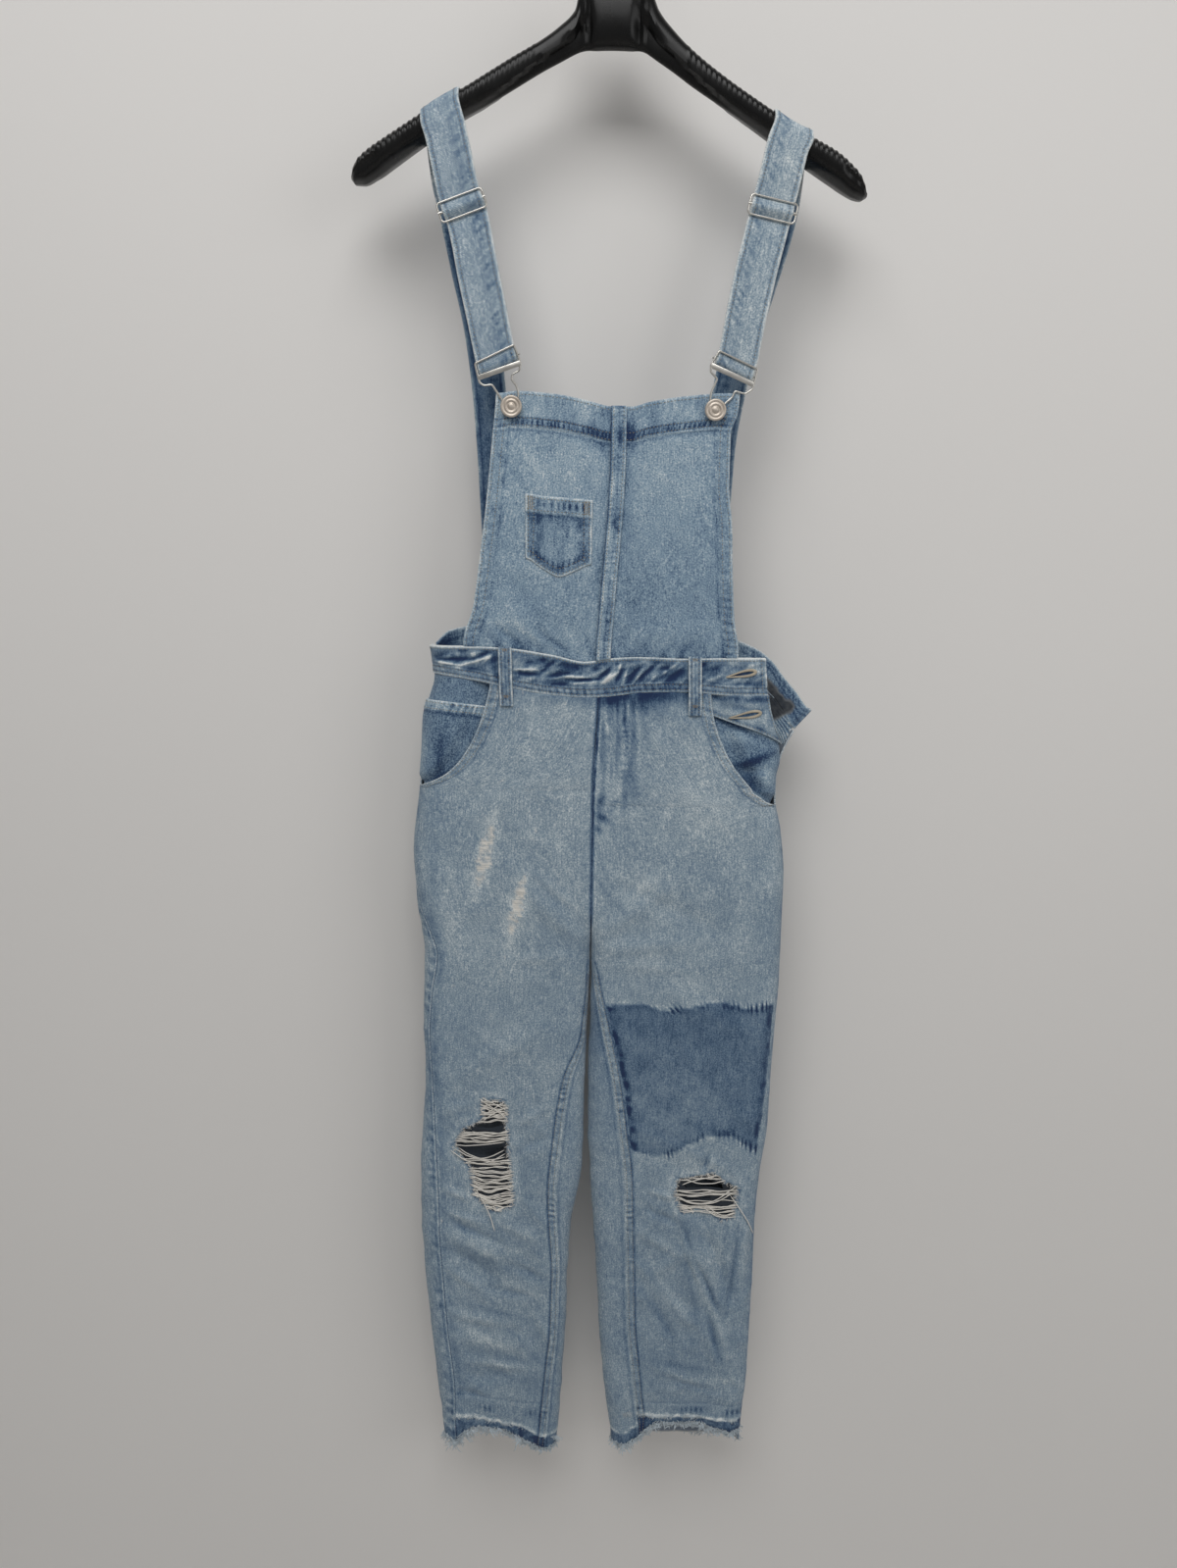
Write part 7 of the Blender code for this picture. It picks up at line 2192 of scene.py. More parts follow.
def face_y(sheet, x, z):
    """y of a sheet's outer face at places across and heights, by its nearest points."""
    x, z = np.broadcast_arrays(np.asarray(x, float), np.asarray(z, float))
    heights = sheet.z[:, sheet.z.shape[1] // 2]
    order = np.argsort(heights)
    rows = np.clip(np.searchsorted(heights[order], z.ravel()), 0, len(heights) - 1)
    y = []
    for px, row in zip(x.ravel(), order[rows]):
        by_place = np.argsort(sheet.x[row])
        y.append(np.interp(px, sheet.x[row][by_place], sheet.points[row, by_place, 1]))
    return np.array(y).reshape(x.shape)


def strands(seed, count, columns):
    """Repeatable values from -1 to 1, one row for each strand."""
    return lattice(np.arange(count)[:, None], np.arange(columns)[None, :], seed)


def rip_threads(half, sheet, yarn):
    """The pale weft that still spans a worn knee, in sagging, crossing bundles."""
    outline = KNEE_RIPS[half]
    top, foot = max(z for _, z in outline) - 1.5, min(z for _, z in outline) + 1.5
    levels = []
    z0 = top
    while z0 > foot:
        bundle = len(levels)
        levels.append(z0)
        z0 -= RIP_PITCH * (1 + 0.35 * float(lattice(np.array(bundle), np.array(3), 200)))
    t = np.linspace(0, 1, THREAD_STEPS)
    lines, radius = [], []
    for bundle, z0 in enumerate(levels):
        shared = strands(201 + bundle, 1, 6)[0]
        count = 3 if shared[0] > -0.4 else 2
        for strand, r in enumerate(strands(260 + bundle, count, 6)):
            start = z0 + 0.7 * (strand - 1) + 0.3 * r[0]
            span = outline_span(outline, start)
            if span is None or span[1] - span[0] < 4:
                continue
            if any(inside(gap, np.array(sum(span) / 2), np.array(start)) for gap in KNEE_GAPS[half][:2]):
                continue
            low = smooth_step((-1128 - z0) / 10) if half == "right" else 0.4
            sag = (1.0 + 0.9 * shared[1]) * (1 + 2.2 * low) + 0.4 * r[1]
            x = between(span[0] - 2.4 + 2.2 * r[2], span[1] + 2.4 + 2.2 * r[3], t)
            z = start - sag * np.sin(np.pi * t) + 2.2 * shared[2] * (t - 0.5) + 1.0 * r[4] * (t - 0.5)
            z = z + 0.8 * np.sin(8 * t + 6 * shared[3]) + 0.45 * np.sin(15 * t + 6 * r[5])
            z = z + 0.5 * r[3] * np.sin(5 * t)
            lift = 0.9 + 0.5 * strand / 2 + 0.5 * np.sin(np.pi * t) * (1 + r[1])
            lines.append(np.stack((x, face_y(sheet, x, z) - lift, z), axis=-1))
            radius.append(0.54 + 0.1 * r[0])
    for x1, z1, x2, z2, sag, bend in LOOSE_YARNS[half]:
        x = between(x1, x2, t) + bend * np.sin(np.pi * t)
        z = between(z1, z2, t) - sag * np.sin(np.pi * t)
        lines.append(np.stack((x, face_y(sheet, x, z) - 1.9 - 0.5 * np.sin(np.pi * t), z), axis=-1))
        radius.append(0.56)
    yarn.threads(lines, radius)


def fuzz(sheet, places, reach, seed, yarn, radius=0.2, outward=1.0):
    """Short curling fibres from places on a sheet."""
    random = strands(seed, len(places), 6)
    t = np.linspace(0, 1, 5)[None, :]
    start = np.array(places, float)
    x = start[:, :1] + random[:, :1] * reach * t
    x = x + 0.6 * np.sin(5 * t + 6 * random[:, 1:2])
    z = start[:, 1:] + random[:, 2:3] * reach * t - 0.4 * reach * t**2
    y = face_y(sheet, start[:, 0], start[:, 1])[:, None] + 0.3
    y = y - outward * (0.4 + np.abs(random[:, 3:4])) * reach * 0.35 * np.sin(2.2 * t)
    yarn.threads(np.stack((x, y, z), axis=-1), radius * (1 + 0.3 * random[:, 4]))


def rim_fuzz(half, sheet, yarn):
    """Ragged ends round the knee and on the rubbed spots."""
    places = []
    for n, (a, b) in enumerate(zip(KNEE_RIPS[half], KNEE_RIPS[half][1:] + KNEE_RIPS[half][:1])):
        count = int(math.hypot(a[0] - b[0], a[1] - b[1]) / 0.9)
        for k in range(count):
            share = (k + 0.5) / count
            wander = lattice(np.array(k), np.array(n), 211)
            places.append((between(a[0], b[0], share) + wander, between(a[1], b[1], share) - wander))
    fuzz(sheet, places, 3.4, 212, yarn, radius=0.2)
    if half == "right":
        for x1, z1, x2, z2, width in THIGH_SPOTS:
            t = 0.5 + 0.5 * strands(213, 90, 2)
            swell = np.sqrt(4 * t[:, 0] * (1 - t[:, 0])) * width * 1.5
            x = between(x1, x2, t[:, 0]) + swell * (t[:, 1] - 0.5)
            fuzz(sheet, list(zip(x, between(z1, z2, t[:, 0]))), 2.4, 214, yarn, radius=0.15, outward=0.6)


def hem_fringe(sheet, seed, yarn, reach):
    """Fibres hanging from a raw hem, gathered into a few fluffier tufts."""
    points = sheet.points[-1]
    run = run_along(points)
    at = np.arange(0.3, run[-1], 0.33)
    base, out = sampled(run, points, at), sampled(run, sheet.out[-1], at)
    random = strands(seed, len(at), 6)
    tuft = 0.6 + 0.9 * np.maximum(0, drift(base[:, 0], 11.0, seed + 1))
    for across in FRINGE_BALLS:
        tuft = tuft + 0.7 * bell(base[:, 0] - across, 7.0)
    length = reach * tuft[:, None] * (0.8 + 0.5 * random[:, :1])
    t = np.linspace(0, 1, 5)[None, :]
    x = base[:, :1] + random[:, 1:2] * length * 1.1 * t + 0.7 * np.sin(6 * t + 6 * random[:, 2:3])
    z = base[:, 2:] + 2.4 + 2.4 * random[:, 3:4] - length * t * (0.75 + 0.5 * random[:, 5:6])
    z = z + 0.8 * np.cos(7 * t + 6 * random[:, 3:4])
    y = base[:, 1:2] + out[:, 1:2] * (0.4 + (1.4 + random[:, 4:5]) * 1.3 * np.sin(2.4 * t))
    yarn.threads(np.stack((x, y, z), axis=-1), 0.46 * (1 + 0.3 * random[:, 5]))


def worn_line_fuzz(half, sheet, yarn):
    """Fluff along the worn fold line of a let-down hem."""
    keys = WORN_LINES[half].keys
    x = np.arange(keys[0] + 3, keys[-1] - 3, 0.28)
    keep = 0.6 + 1.3 * drift(x, 9.0, 231) > 0.15
    places = np.stack((x, worn_line(half, x) + 1.2 * strands(233, len(x), 1)[:, 0]), axis=-1)[keep]
    fuzz(sheet, places, 3.2, 232, yarn, radius=0.26, outward=0.7)


# ---------------------------------------------------------------- metal and hanger

def deselect_all():
    if bpy.context.object and bpy.context.object.mode != "OBJECT":
        bpy.ops.object.mode_set(mode="OBJECT")
    bpy.ops.object.select_all(action="DESELECT")


def make_active(piece):
    deselect_all()
    piece.select_set(True)
    bpy.context.view_layer.objects.active = piece


def finish_piece(piece, finish, node, smooth=50.0):
    """Applies the piece's place, turns its faces out, and gives it its finish and body."""
    make_active(piece)
    bpy.ops.object.transform_apply(location=True, rotation=True, scale=True)
    bpy.ops.object.mode_set(mode="EDIT")
    bpy.ops.mesh.select_all(action="SELECT")
    bpy.ops.mesh.remove_doubles(threshold=0.000002)
    bpy.ops.mesh.normals_make_consistent(inside=False)
    bpy.ops.object.mode_set(mode="OBJECT")
    piece.data.materials.clear()
    piece.data.materials.append(finish)
    bpy.ops.object.shade_smooth_by_angle(angle=math.radians(smooth))
    return on_root(piece, node)


def smooth_path(points, count, closed):
    """A smooth curve through points, as many points again as asked."""
    points = np.array(points, float)
    if closed:
        points = np.concatenate([points[-2:], points, points[:2]])
    else:
        points = np.concatenate([2 * points[:1] - points[1:2], points, 2 * points[-1:] - points[-2:-1]])
    made = []
    last = len(points) - (4 if closed else 3)
    for i in range(1, last + 1):
        a, b, c, d = points[i - 1:i + 3]
        for t in np.linspace(0, 1, count, endpoint=False):
            made.append(0.5 * (2 * b + (c - a) * t + (2 * a - 5 * b + 4 * c - d) * t**2
                               + (3 * b - a - 3 * c + d) * t**3))
    if not closed:
        made.append(points[-2])
    return made


def wire(name, points, diameter, closed=False, sides=4):
    """A round wire along points in millimetres, as a mesh."""
    curve = bpy.data.curves.new(name, "CURVE")
    curve.dimensions = "3D"
    curve.bevel_depth = diameter / 2 * MM
    curve.bevel_resolution = sides
    curve.use_fill_caps = not closed
    spline = curve.splines.new("POLY")
    spline.points.add(len(points) - 1)
    for target, point in zip(spline.points, points):
        target.co = (*(c * MM for c in point), 1.0)
        target.radius = 1.0
    spline.use_cyclic_u = closed
    make_active(new_object(name, curve))
    bpy.ops.object.convert(target="MESH")
    return bpy.context.object


def join_pieces(name, pieces):
    deselect_all()
    for piece in pieces:
        piece.select_set(True)
    bpy.context.view_layer.objects.active = pieces[0]
    if len(pieces) > 1:
        bpy.ops.object.join()
    made = bpy.context.object
    made.name = name
    made.data.name = name
    return made


def turned(x, z, degrees, along, up):
    turn = math.radians(degrees)
    return (
        x + along * math.cos(turn) - up * math.sin(turn),
        FRAME_Y,
        z + along * math.sin(turn) + up * math.cos(turn),
    )


def slide(half, finish):
    """A wire slide with rounded corners, and the bar that the strap passes over."""
    x, z, degrees = FITTINGS[half]["slide"]
    length, height = SLIDE_SIZE
    points = []
    for along, up, start in ((1, 1, 0), (-1, 1, 90), (-1, -1, 180), (1, -1, 270)):
        for step in range(0, 91, 15):
            angle = math.radians(start + step)
            points.append(turned(
                x, z, degrees,
                along * (length / 2 - SLIDE_CORNER) + SLIDE_CORNER * math.cos(angle),
                up * (height / 2 - SLIDE_CORNER) + SLIDE_CORNER * math.sin(angle),
            ))
    frame_wire = wire(f"slide_{half}_frame", points, WIRE, closed=True)
    ends = [turned(x, z, degrees, along * length / 2, 0.0) for along in (-1, 1)]
    bar = wire(f"slide_{half}_bar", ends, WIRE)
    collars = []
    for along in (-1, 1):
        ring = [turned(x, z, degrees, along * (length / 2 - d), 0.0) for d in (-0.9, 2.2)]
        collars.append(wire(f"slide_{half}_collar", ring, WIRE + COLLAR))
    made = join_pieces(f"slide_{half}_wire", [frame_wire, bar] + collars)
    return finish_piece(made, finish, f"slide_{half}")


def buckle(half, finish):
    """A wire frame bent round the button's shank, its pressed flat bar, and the bar in the fold."""
    fitting = FITTINGS[half]
    (x1, z1), (x2, z2) = fitting["top_bar"]
    (x3, z3), (x4, z4) = fitting["flat_bar"]
    bx, bz = fitting["button"]
    path = [(x1, FRAME_Y, z1), (x2, FRAME_Y, z2), (x4, FRAME_Y, z4)]
    path += [(x, FRAME_Y, z) for x, z in fitting["inner_wire"]]
    inner_x, inner_z = fitting["inner_wire"][-1]
    outer_x, outer_z = fitting["outer_wire"][-1]
    start = math.degrees(math.atan2(inner_z - bz, inner_x - bx))
    stop = math.degrees(math.atan2(outer_z - bz, outer_x - bx))
    if half == "right":
        stop -= 360.0 if stop > start else 0.0
    else:
        stop += 360.0 if stop < start else 0.0
    for share in np.linspace(0.08, 0.92, 8):
        angle = math.radians(between(start, stop, share))
        path.append((bx + SHANK_LOOP * math.cos(angle), FRAME_Y, bz + SHANK_LOOP * math.sin(angle)))
    path += [(x, FRAME_Y, z) for x, z in reversed(fitting["outer_wire"])]
    path.append((x3, FRAME_Y, z3))
    frame_wire = wire(f"buckle_{half}_frame", rounded_corners(path, 1.6), WIRE, closed=True)

    length, slope = math.hypot(x4 - x3, z4 - z3), math.atan2(z4 - z3, x4 - x3)
    deselect_all()
    bpy.ops.mesh.primitive_cube_add(
        size=1.0, rotation=(0, -slope, 0),
        location=((x3 + x4) / 2 * MM, (FRAME_Y - 0.1) * MM, (z3 + z4) / 2 * MM),
        scale=((length + 0.6) * MM, FLAT_BAR[0] * MM, FLAT_BAR[1] * MM),
    )
    bar = bpy.context.object
    bpy.ops.object.transform_apply(location=False, rotation=False, scale=True)
    bevel = bar.modifiers.new("edges", "BEVEL")
    bevel.width = 0.55 * MM
    bevel.segments = 3
    bpy.ops.object.modifier_apply(modifier="edges")

    fold_x, fold_y, fold_z, degrees = STRAPS[half]["fold"]
    reach, turn = length / 2 - 0.6, math.radians(degrees)
    ends = [(fold_x + side * reach * math.cos(turn), fold_z + 3.9 + side * reach * math.sin(turn))
            for side in (-1, 1)]
    left_arm, right_arm = (
        (x + side * 0.9 * math.cos(turn), FRAME_Y, z + side * 0.9 * math.sin(turn))
        for side, (x, z) in zip((-1, 1), ends)
    )
    middle = [(x, fold_y + 0.1, z) for x, z in ends]
    fold_bar = wire(f"buckle_{half}_bar", [left_arm, *middle, right_arm], FOLD_BAR_WIRE)
    made = join_pieces(f"buckle_{half}_wire", [frame_wire, bar, fold_bar])
    return finish_piece(made, finish, f"buckle_{half}")


def rounded_corners(path, radius):
    """A closed path with each corner cut back and rounded."""
    made = []
    count = len(path)
    for i in range(count):
        here = np.array(path[i])
        before, after = np.array(path[i - 1]) - here, np.array(path[(i + 1) % count]) - here
        a = here + before / np.linalg.norm(before) * min(radius, np.linalg.norm(before) * 0.45)
        b = here + after / np.linalg.norm(after) * min(radius, np.linalg.norm(after) * 0.45)
        for t in np.linspace(0, 1, 5):
            made.append((1 - t) ** 2 * a + 2 * t * (1 - t) * here + t * t * b)
    return made


def spun_piece(name, profile, place, direction):
    """A profile of radius and height pairs spun about its axis, then turned to a direction."""
    deselect_all()
    bpy.ops.mesh.primitive_plane_add(size=1.0)
    made = bpy.context.object
    made.name = name
    shape = bmesh.new()
    verts = [shape.verts.new((radius * MM, 0.0, height * MM)) for radius, height in profile]
    for a, b in zip(verts, verts[1:]):
        shape.edges.new((a, b))
    shape.to_mesh(made.data)
    shape.free()
    bpy.ops.object.mode_set(mode="EDIT")
    bpy.ops.mesh.select_all(action="SELECT")
    bpy.ops.mesh.spin(steps=BUTTON_TURNS, angle=2 * math.pi, center=(0, 0, 0), axis=(0, 0, 1))
    bpy.ops.mesh.select_all(action="SELECT")
    bpy.ops.mesh.remove_doubles(threshold=0.000004)
    bpy.ops.object.mode_set(mode="OBJECT")
    made.location = Vector(place) * MM
    made.rotation_euler = Vector(direction).to_track_quat("Z", "Y").to_euler()
    return made


def bib_button_profile(r):
    return ((0.0, 5.8), (r * 0.12, 5.75), (r * 0.22, 5.55), (r * 0.28, 5.2), (r * 0.33, 4.8),
            (r * 0.40, 4.75), (r * 0.45, 5.2), (r * 0.52, 5.4), (r * 0.60, 5.35), (r * 0.65, 4.95),
            (r * 0.71, 4.85), (r * 0.77, 5.15), (r * 0.86, 5.3), (r * 0.93, 5.15), (r * 0.98, 4.8),
            (r, 4.3), (r * 0.97, 3.9), (r * 0.90, 3.75), (r * 0.36, 3.5), (r * 0.32, 3.2),
            (r * 0.31, 1.0), (r * 0.36, 0.3), (r * 0.36, 0.0), (0.0, 0.0))


def side_button_profile(r):
    return ((0.0, 4.4), (r * 0.3, 4.35), (r * 0.42, 4.2), (r * 0.5, 4.0), (r * 0.62, 4.05),
            (r * 0.8, 4.0), (r * 0.93, 3.75), (r * 0.99, 3.3), (r, 2.9), (r * 0.96, 2.4),
            (r * 0.38, 2.1), (r * 0.34, 1.8), (r * 0.33, 0.4), (r * 0.36, 0.0), (0.0, 0.0))


def fittings(finish, button_finish):
    made = []
    for half in ("right", "left"):
        made += [slide(half, finish), buckle(half, finish)]
        x, z = FITTINGS[half]["button"]
        foot = bib_points(np.array(x), np.array(z), FOLDED_HEM + LAYER_GAP)
        profile = bib_button_profile(BUTTON_DIAMETER / 2)
        button = spun_piece(f"bib_button_{half}_cap", profile, foot, FORWARD)
        made.append(finish_piece(button, button_finish, f"bib_button_{half}", smooth=60.0))
    for name, x, z, ring, proud in (
        ("side_button_waist", 172.0, -678.0, BACK_WAIST_RING, BAND_PROUD),
        ("side_button_hip", 163.0, -716.0, -716.0, 0.0),
    ):
        s = share_at("left", "back", x, ring)
        near = surface("left", np.array([[s, s - 0.004]]), np.array([[ring + 1], [ring - 1]]))
        out = normals_of(near, BACKWARD)[0, 0]
        point = surface("left", s, ring)
        foot = np.array((point[0], point[1], z)) + out * (proud + LAYER_GAP + 0.3)
        button = spun_piece(f"{name}_cap", side_button_profile(SIDE_BUTTON_DIAMETER / 2), foot, out)
        made.append(finish_piece(button, button_finish, name, smooth=60.0))
    return made


def hanger_hook(finish):
    radius = HOOK_RADIUS + HOOK_WIRE / 2
    neck = float(HANGER.read("top", 2)) + SEAM_GAP
    points = [(2.0, 0.0, neck), (2.0, 0.0, neck + 8), (1.4, 0.0, neck + 14), (-2.0, 0.0, neck + 20)]
    for degrees in range(228, -36, -12):
        turn = math.radians(degrees)
        points.append((radius * math.cos(turn), 0.0, -HOOK_RADIUS + radius * math.sin(turn)))
    made = wire("hook_wire", smooth_path(points, 4, False), HOOK_WIRE, sides=6)
    return finish_piece(made, finish, "hanger_hook")


def hanger_body(finish):
    """The moulded arms: a ring extruded through the stations, then ribbed on the shoulders."""
    stations = np.unique(np.concatenate([HANGER.keys, np.arange(-222, 223, 3.0), RIB_STATIONS]))
    sides = 40
    angles = np.arange(sides) * 360.0 / sides
    deselect_all()
    bpy.ops.mesh.primitive_circle_add(vertices=sides, radius=0.01, fill_type="NGON")
    made = bpy.context.object
    made.name = "hanger_arms"
    bpy.ops.object.mode_set(mode="EDIT")
    bpy.ops.mesh.select_all(action="SELECT")
    for _ in range(len(stations) - 1):
        bpy.ops.mesh.extrude_region_move(TRANSFORM_OT_translate={"value": (0, 0, 0.001)})
    bpy.ops.object.mode_set(mode="OBJECT")
    count = len(made.data.vertices)
    if count != sides * len(stations):
        raise RuntimeError("the hanger's rings don't match its stations")
    co = np.zeros(count * 3)
    made.data.vertices.foreach_get("co", co)
    co = co.reshape(-1, 3)
    turns = np.round(np.degrees(np.arctan2(co[:, 1], co[:, 0])) % 360, 1)
    order = np.lexsort((turns, np.round(co[:, 2], 5)))
    shaped = np.zeros((count, 3))
    for n, x in enumerate(stations):
        y, z = hanger_section(x, angles)
        middle, level = (z.max() + z.min()) / 2, (z - z.min()) / (z.max() - z.min())
        rib = rib_height(x)
        y = y * (1 + moulding(x, level) + RIB_SIDE * rib * smooth_step((level - 0.42) / 0.2))
        taller = 1 + float(smooth_step((abs(x) - 150) / 20))
        z = z + RIB_TOP * rib * smooth_step((z - middle + 2) / 5) * taller
        shaped[order[n * sides:(n + 1) * sides]] = np.stack((np.full(sides, x), y, z), axis=-1) * MM
    made.data.vertices.foreach_set("co", shaped.astype(np.float32).ravel())
    made.data.update()
    return finish_piece(made, finish, "hanger_body", smooth=38.0)


def rib_height(x):
    """Anti-slip ribs across the top of both shoulder ends."""
    away = abs(x)
    if not RIBS[0] < away < RIBS[1]:
        return 0.0
    return 0.5 - 0.5 * math.cos(2 * math.pi * (away - RIBS[0]) / RIB_PITCH)


def moulding(x, level):
    """How much the sides stand out: ridges beside the bare neck block, and a lip along the foot."""
    away = abs(x - 2.0)
    ridge = 0.22 * float(bell(away - 25.0, 2.2)) - 0.14 * float(bell(away - 20.5, 2.0))
    line = 0.34 * float(1 - smooth_step((away - 30.0) / 95.0))
    lip = smooth_step((line + 0.06 - level) / 0.06) * float(smooth_step((away - 14) / 10))
    facet = 0.14 * float(smooth_step((away - 196.0) / 10.0)) * smooth_step((0.62 - level) / 0.1)
    return ridge - 0.55 * lip - facet


# ---------------------------------------------------------------- buttonholes

def buttonhole(sewing, sheet, ends):
    """A thread-bound buttonhole, wider at its outer end, with its slit drawn nearly shut."""
    x1, z1, x2, z2 = ends
    angle, length = math.atan2(z2 - z1, x2 - x1), math.hypot(x2 - x1, z2 - z1)
    middle = np.array(((x1 + x2) / 2, (z1 + z2) / 2))
    turn = np.linspace(0, 2 * math.pi, 110, endpoint=False)
    taper = 0.32 + 0.68 * smooth_step((np.cos(turn) + 1) / 2)
    lines = []
    for share, proud in ((1.08, 0.3), (0.94, 0.95), (0.62, 1.05), (0.36, 0.5)):
        along = np.cos(turn) * (length / 2 - BUTTONHOLE_HEIGHT * (1 - share))
        up = np.sin(turn) * BUTTONHOLE_HEIGHT * taper * share
        x = middle[0] + along * math.cos(angle) - up * math.sin(angle)
        z = middle[1] + along * math.sin(angle) + up * math.cos(angle)
        lines.append(np.stack((x, face_y(sheet, x, z) - proud, z), axis=-1))
    sewing.threads(np.stack(lines, axis=1), 0.46)


# ---------------------------------------------------------------- stage

def camera():
    data = bpy.data.cameras.new("view")
    data.lens = FOCAL_PIXELS / LONG_SIDE_PIXELS * data.sensor_width
    data.clip_start, data.clip_end = 0.01, 50.0
    made = new_object("view", data)
    pitch, roll = math.radians(CAMERA_PITCH), math.radians(CAMERA_ROLL)
    forward = Vector((0, math.cos(pitch), -math.sin(pitch)))
    right, up = Vector((1, 0, 0)), Vector((0, math.sin(pitch), math.cos(pitch)))
    across = right * math.cos(roll) + up * math.sin(roll)
    above = up * math.cos(roll) - right * math.sin(roll)
    turn = Matrix((across, above, -forward)).transposed()
    made.matrix_world = Matrix.Translation(CAMERA_PLACE) @ turn.to_4x4()
    bpy.context.scene.camera = made
    return made


def sweep(colour):
    """A pale studio wall that curves into the floor."""
    deselect_all()
    bend = SWEEP_BEND
    profile = [(WALL_Y, WALL_TOP)]
    for n in range(13):
        turn = math.pi / 2 * n / 12
        profile.append((WALL_Y - bend + bend * math.cos(turn), FLOOR_Z + bend - bend * math.sin(turn)))
    profile.append((FLOOR_FRONT, FLOOR_Z))
    bpy.ops.mesh.primitive_plane_add(size=1.0)
    made = bpy.context.object
    made.name = "studio_sweep"
    shape = bmesh.new()
    rows = [[shape.verts.new((x, y, z)) for y, z in profile] for x in (-SWEEP_WIDTH, SWEEP_WIDTH)]
    for i in range(len(profile) - 1):
        shape.faces.new((rows[0][i], rows[0][i + 1], rows[1][i + 1], rows[1][i]))
    shape.to_mesh(made.data)
    shape.free()
    made.data.shade_smooth()
    made.data.materials.append(wall_finish("Studio wall", colour))
    return made


def soft_light(name, place, target, size, power):
    data = bpy.data.lights.new(name, "AREA")
    data.shape = "RECTANGLE"
    data.size, data.size_y = size
    data.energy = power
    made = new_object(name, data)
    made.location = place
    made.rotation_euler = (Vector(target) - Vector(place)).to_track_quat("-Z", "Y").to_euler()
    return made


def surroundings(level):
    """Even white light from all round."""
    world = bpy.data.worlds.new("studio")
    world.use_nodes = True
    light = world.node_tree.nodes["Background"]
    light.inputs["Color"].default_value = (1.0, 1.0, 1.0, 1.0)
    light.inputs["Strength"].default_value = level
    bpy.context.scene.world = world


# ---------------------------------------------------------------- settings

def colour_of(name, description, default):
    return bpy.props.FloatVectorProperty(
        name=name, description=description, subtype="COLOR", size=3, min=0.0, max=1.0, default=default
    )


class DenimColours(bpy.types.PropertyGroup):
    deep_indigo: colour_of("Deep indigo", "Denim that never lost its dye", DEEP_INDIGO)
    indigo: colour_of("Indigo", "Denim in the shelter of folds and hems", INDIGO)
    mid_blue: colour_of("Mid blue", "The darker wash of the legs", MID_BLUE)
    washed_blue: colour_of("Washed blue", "The main wash of the legs and straps", WASHED_BLUE)
    pale_blue: colour_of("Pale blue", "Rubbed cloth", PALE_BLUE)
    worn_white: colour_of("Worn white", "Edges with no dye left", WORN_WHITE)
    bib_mid: colour_of("Bib mid blue", "The darker wash of the bib", BIB_MID)
    bib_washed: colour_of("Bib washed blue", "The main wash of the bib", BIB_WASHED)
    bib_pale: colour_of("Bib pale blue", "Rubbed cloth of the bib", BIB_PALE)
    reverse_mid: colour_of("Reverse", "The wrong side of the denim", REVERSE_MID)
    reverse_pale: colour_of("Reverse pale", "The wrong side where it is worn", REVERSE_PALE)
    weft_pale: colour_of("Bare weft", "Threads where the dyed yarn has gone", WEFT_PALE)
    fringe: colour_of("Frayed hems", "Fibres of the raw hems", FRINGE)


class SewingSettings(bpy.types.PropertyGroup):
    thread: colour_of("Topstitching", "Colour of the stitches", STITCH_TAN)
    tacks: colour_of("Bartacks", "Colour of the bartacks", TACK_ORANGE)
    width: bpy.props.FloatProperty(
        name="Stitch width", description="Width of one stitch", default=0.0009, min=0.0003, max=0.002,
        unit="LENGTH", precision=4,
    )
    fringe: bpy.props.FloatProperty(
        name="Hem fringe", description="Length of the fibres at the raw hems", default=0.0066,
        min=0.001, max=0.012, unit="LENGTH", precision=4,
    )


class FittingSettings(bpy.types.PropertyGroup):
    nickel: colour_of("Nickel", "Plating of the slides, buckles and hook", NICKEL)
    rubbed_nickel: colour_of("Rubbed nickel", "Plating where it rubs", RUBBED_NICKEL)
    button: colour_of("Button metal", "Plating of the buttons", BUTTON_METAL)
    rubbed_button: colour_of("Rubbed button", "Buttons where they rub", RUBBED_BUTTON)
    plastic: colour_of("Hanger plastic", "Moulded plastic of the hanger", PLASTIC)
    roughness: bpy.props.FloatProperty(
        name="Metal roughness", description="How dull the metal is", default=0.30, min=0.05, max=0.9
    )


class StageSettings(bpy.types.PropertyGroup):
    wall: colour_of("Wall", "Colour of the studio wall and floor", WALL)
    key_power: bpy.props.FloatProperty(
        name="Key light", description="Power of the large light at the upper left", default=26.0,
        min=0.0, max=200.0, unit="POWER",
    )
    fill: bpy.props.FloatProperty(
        name="Fill", description="Strength of the even light all round", default=0.23, min=0.0, max=3.0
    )


class DungareeSettings(bpy.types.PropertyGroup):
    denim: bpy.props.PointerProperty(type=DenimColours)
    sewing: bpy.props.PointerProperty(type=SewingSettings)
    fittings: bpy.props.PointerProperty(type=FittingSettings)
    stage: bpy.props.PointerProperty(type=StageSettings)


def settings():
    return bpy.context.scene.dungarees


def light_denim():
    c = settings().denim
    return denim("Light wash denim", (
        (0.0, c.deep_indigo), (0.25, c.indigo), (0.5, c.mid_blue), (0.7, c.washed_blue),
        (0.85, c.pale_blue), (1.0, c.worn_white),
    ))


def blue_denim():
    c = settings().denim
    return denim("Blue wash denim", (
        (0.0, c.deep_indigo), (0.25, c.indigo), (0.5, c.bib_mid), (0.7, c.bib_washed),
        (0.85, c.bib_pale), (1.0, c.worn_white),
    ), grain=(0.15, 0.24, 1.16))


def wrong_side():
    c = settings().denim
    return denim("Denim wrong side", (
        (0.0, REVERSE_DARK), (0.3, c.reverse_mid), (0.7, c.reverse_mid), (1.0, c.reverse_pale),
    ), twill=0.07)


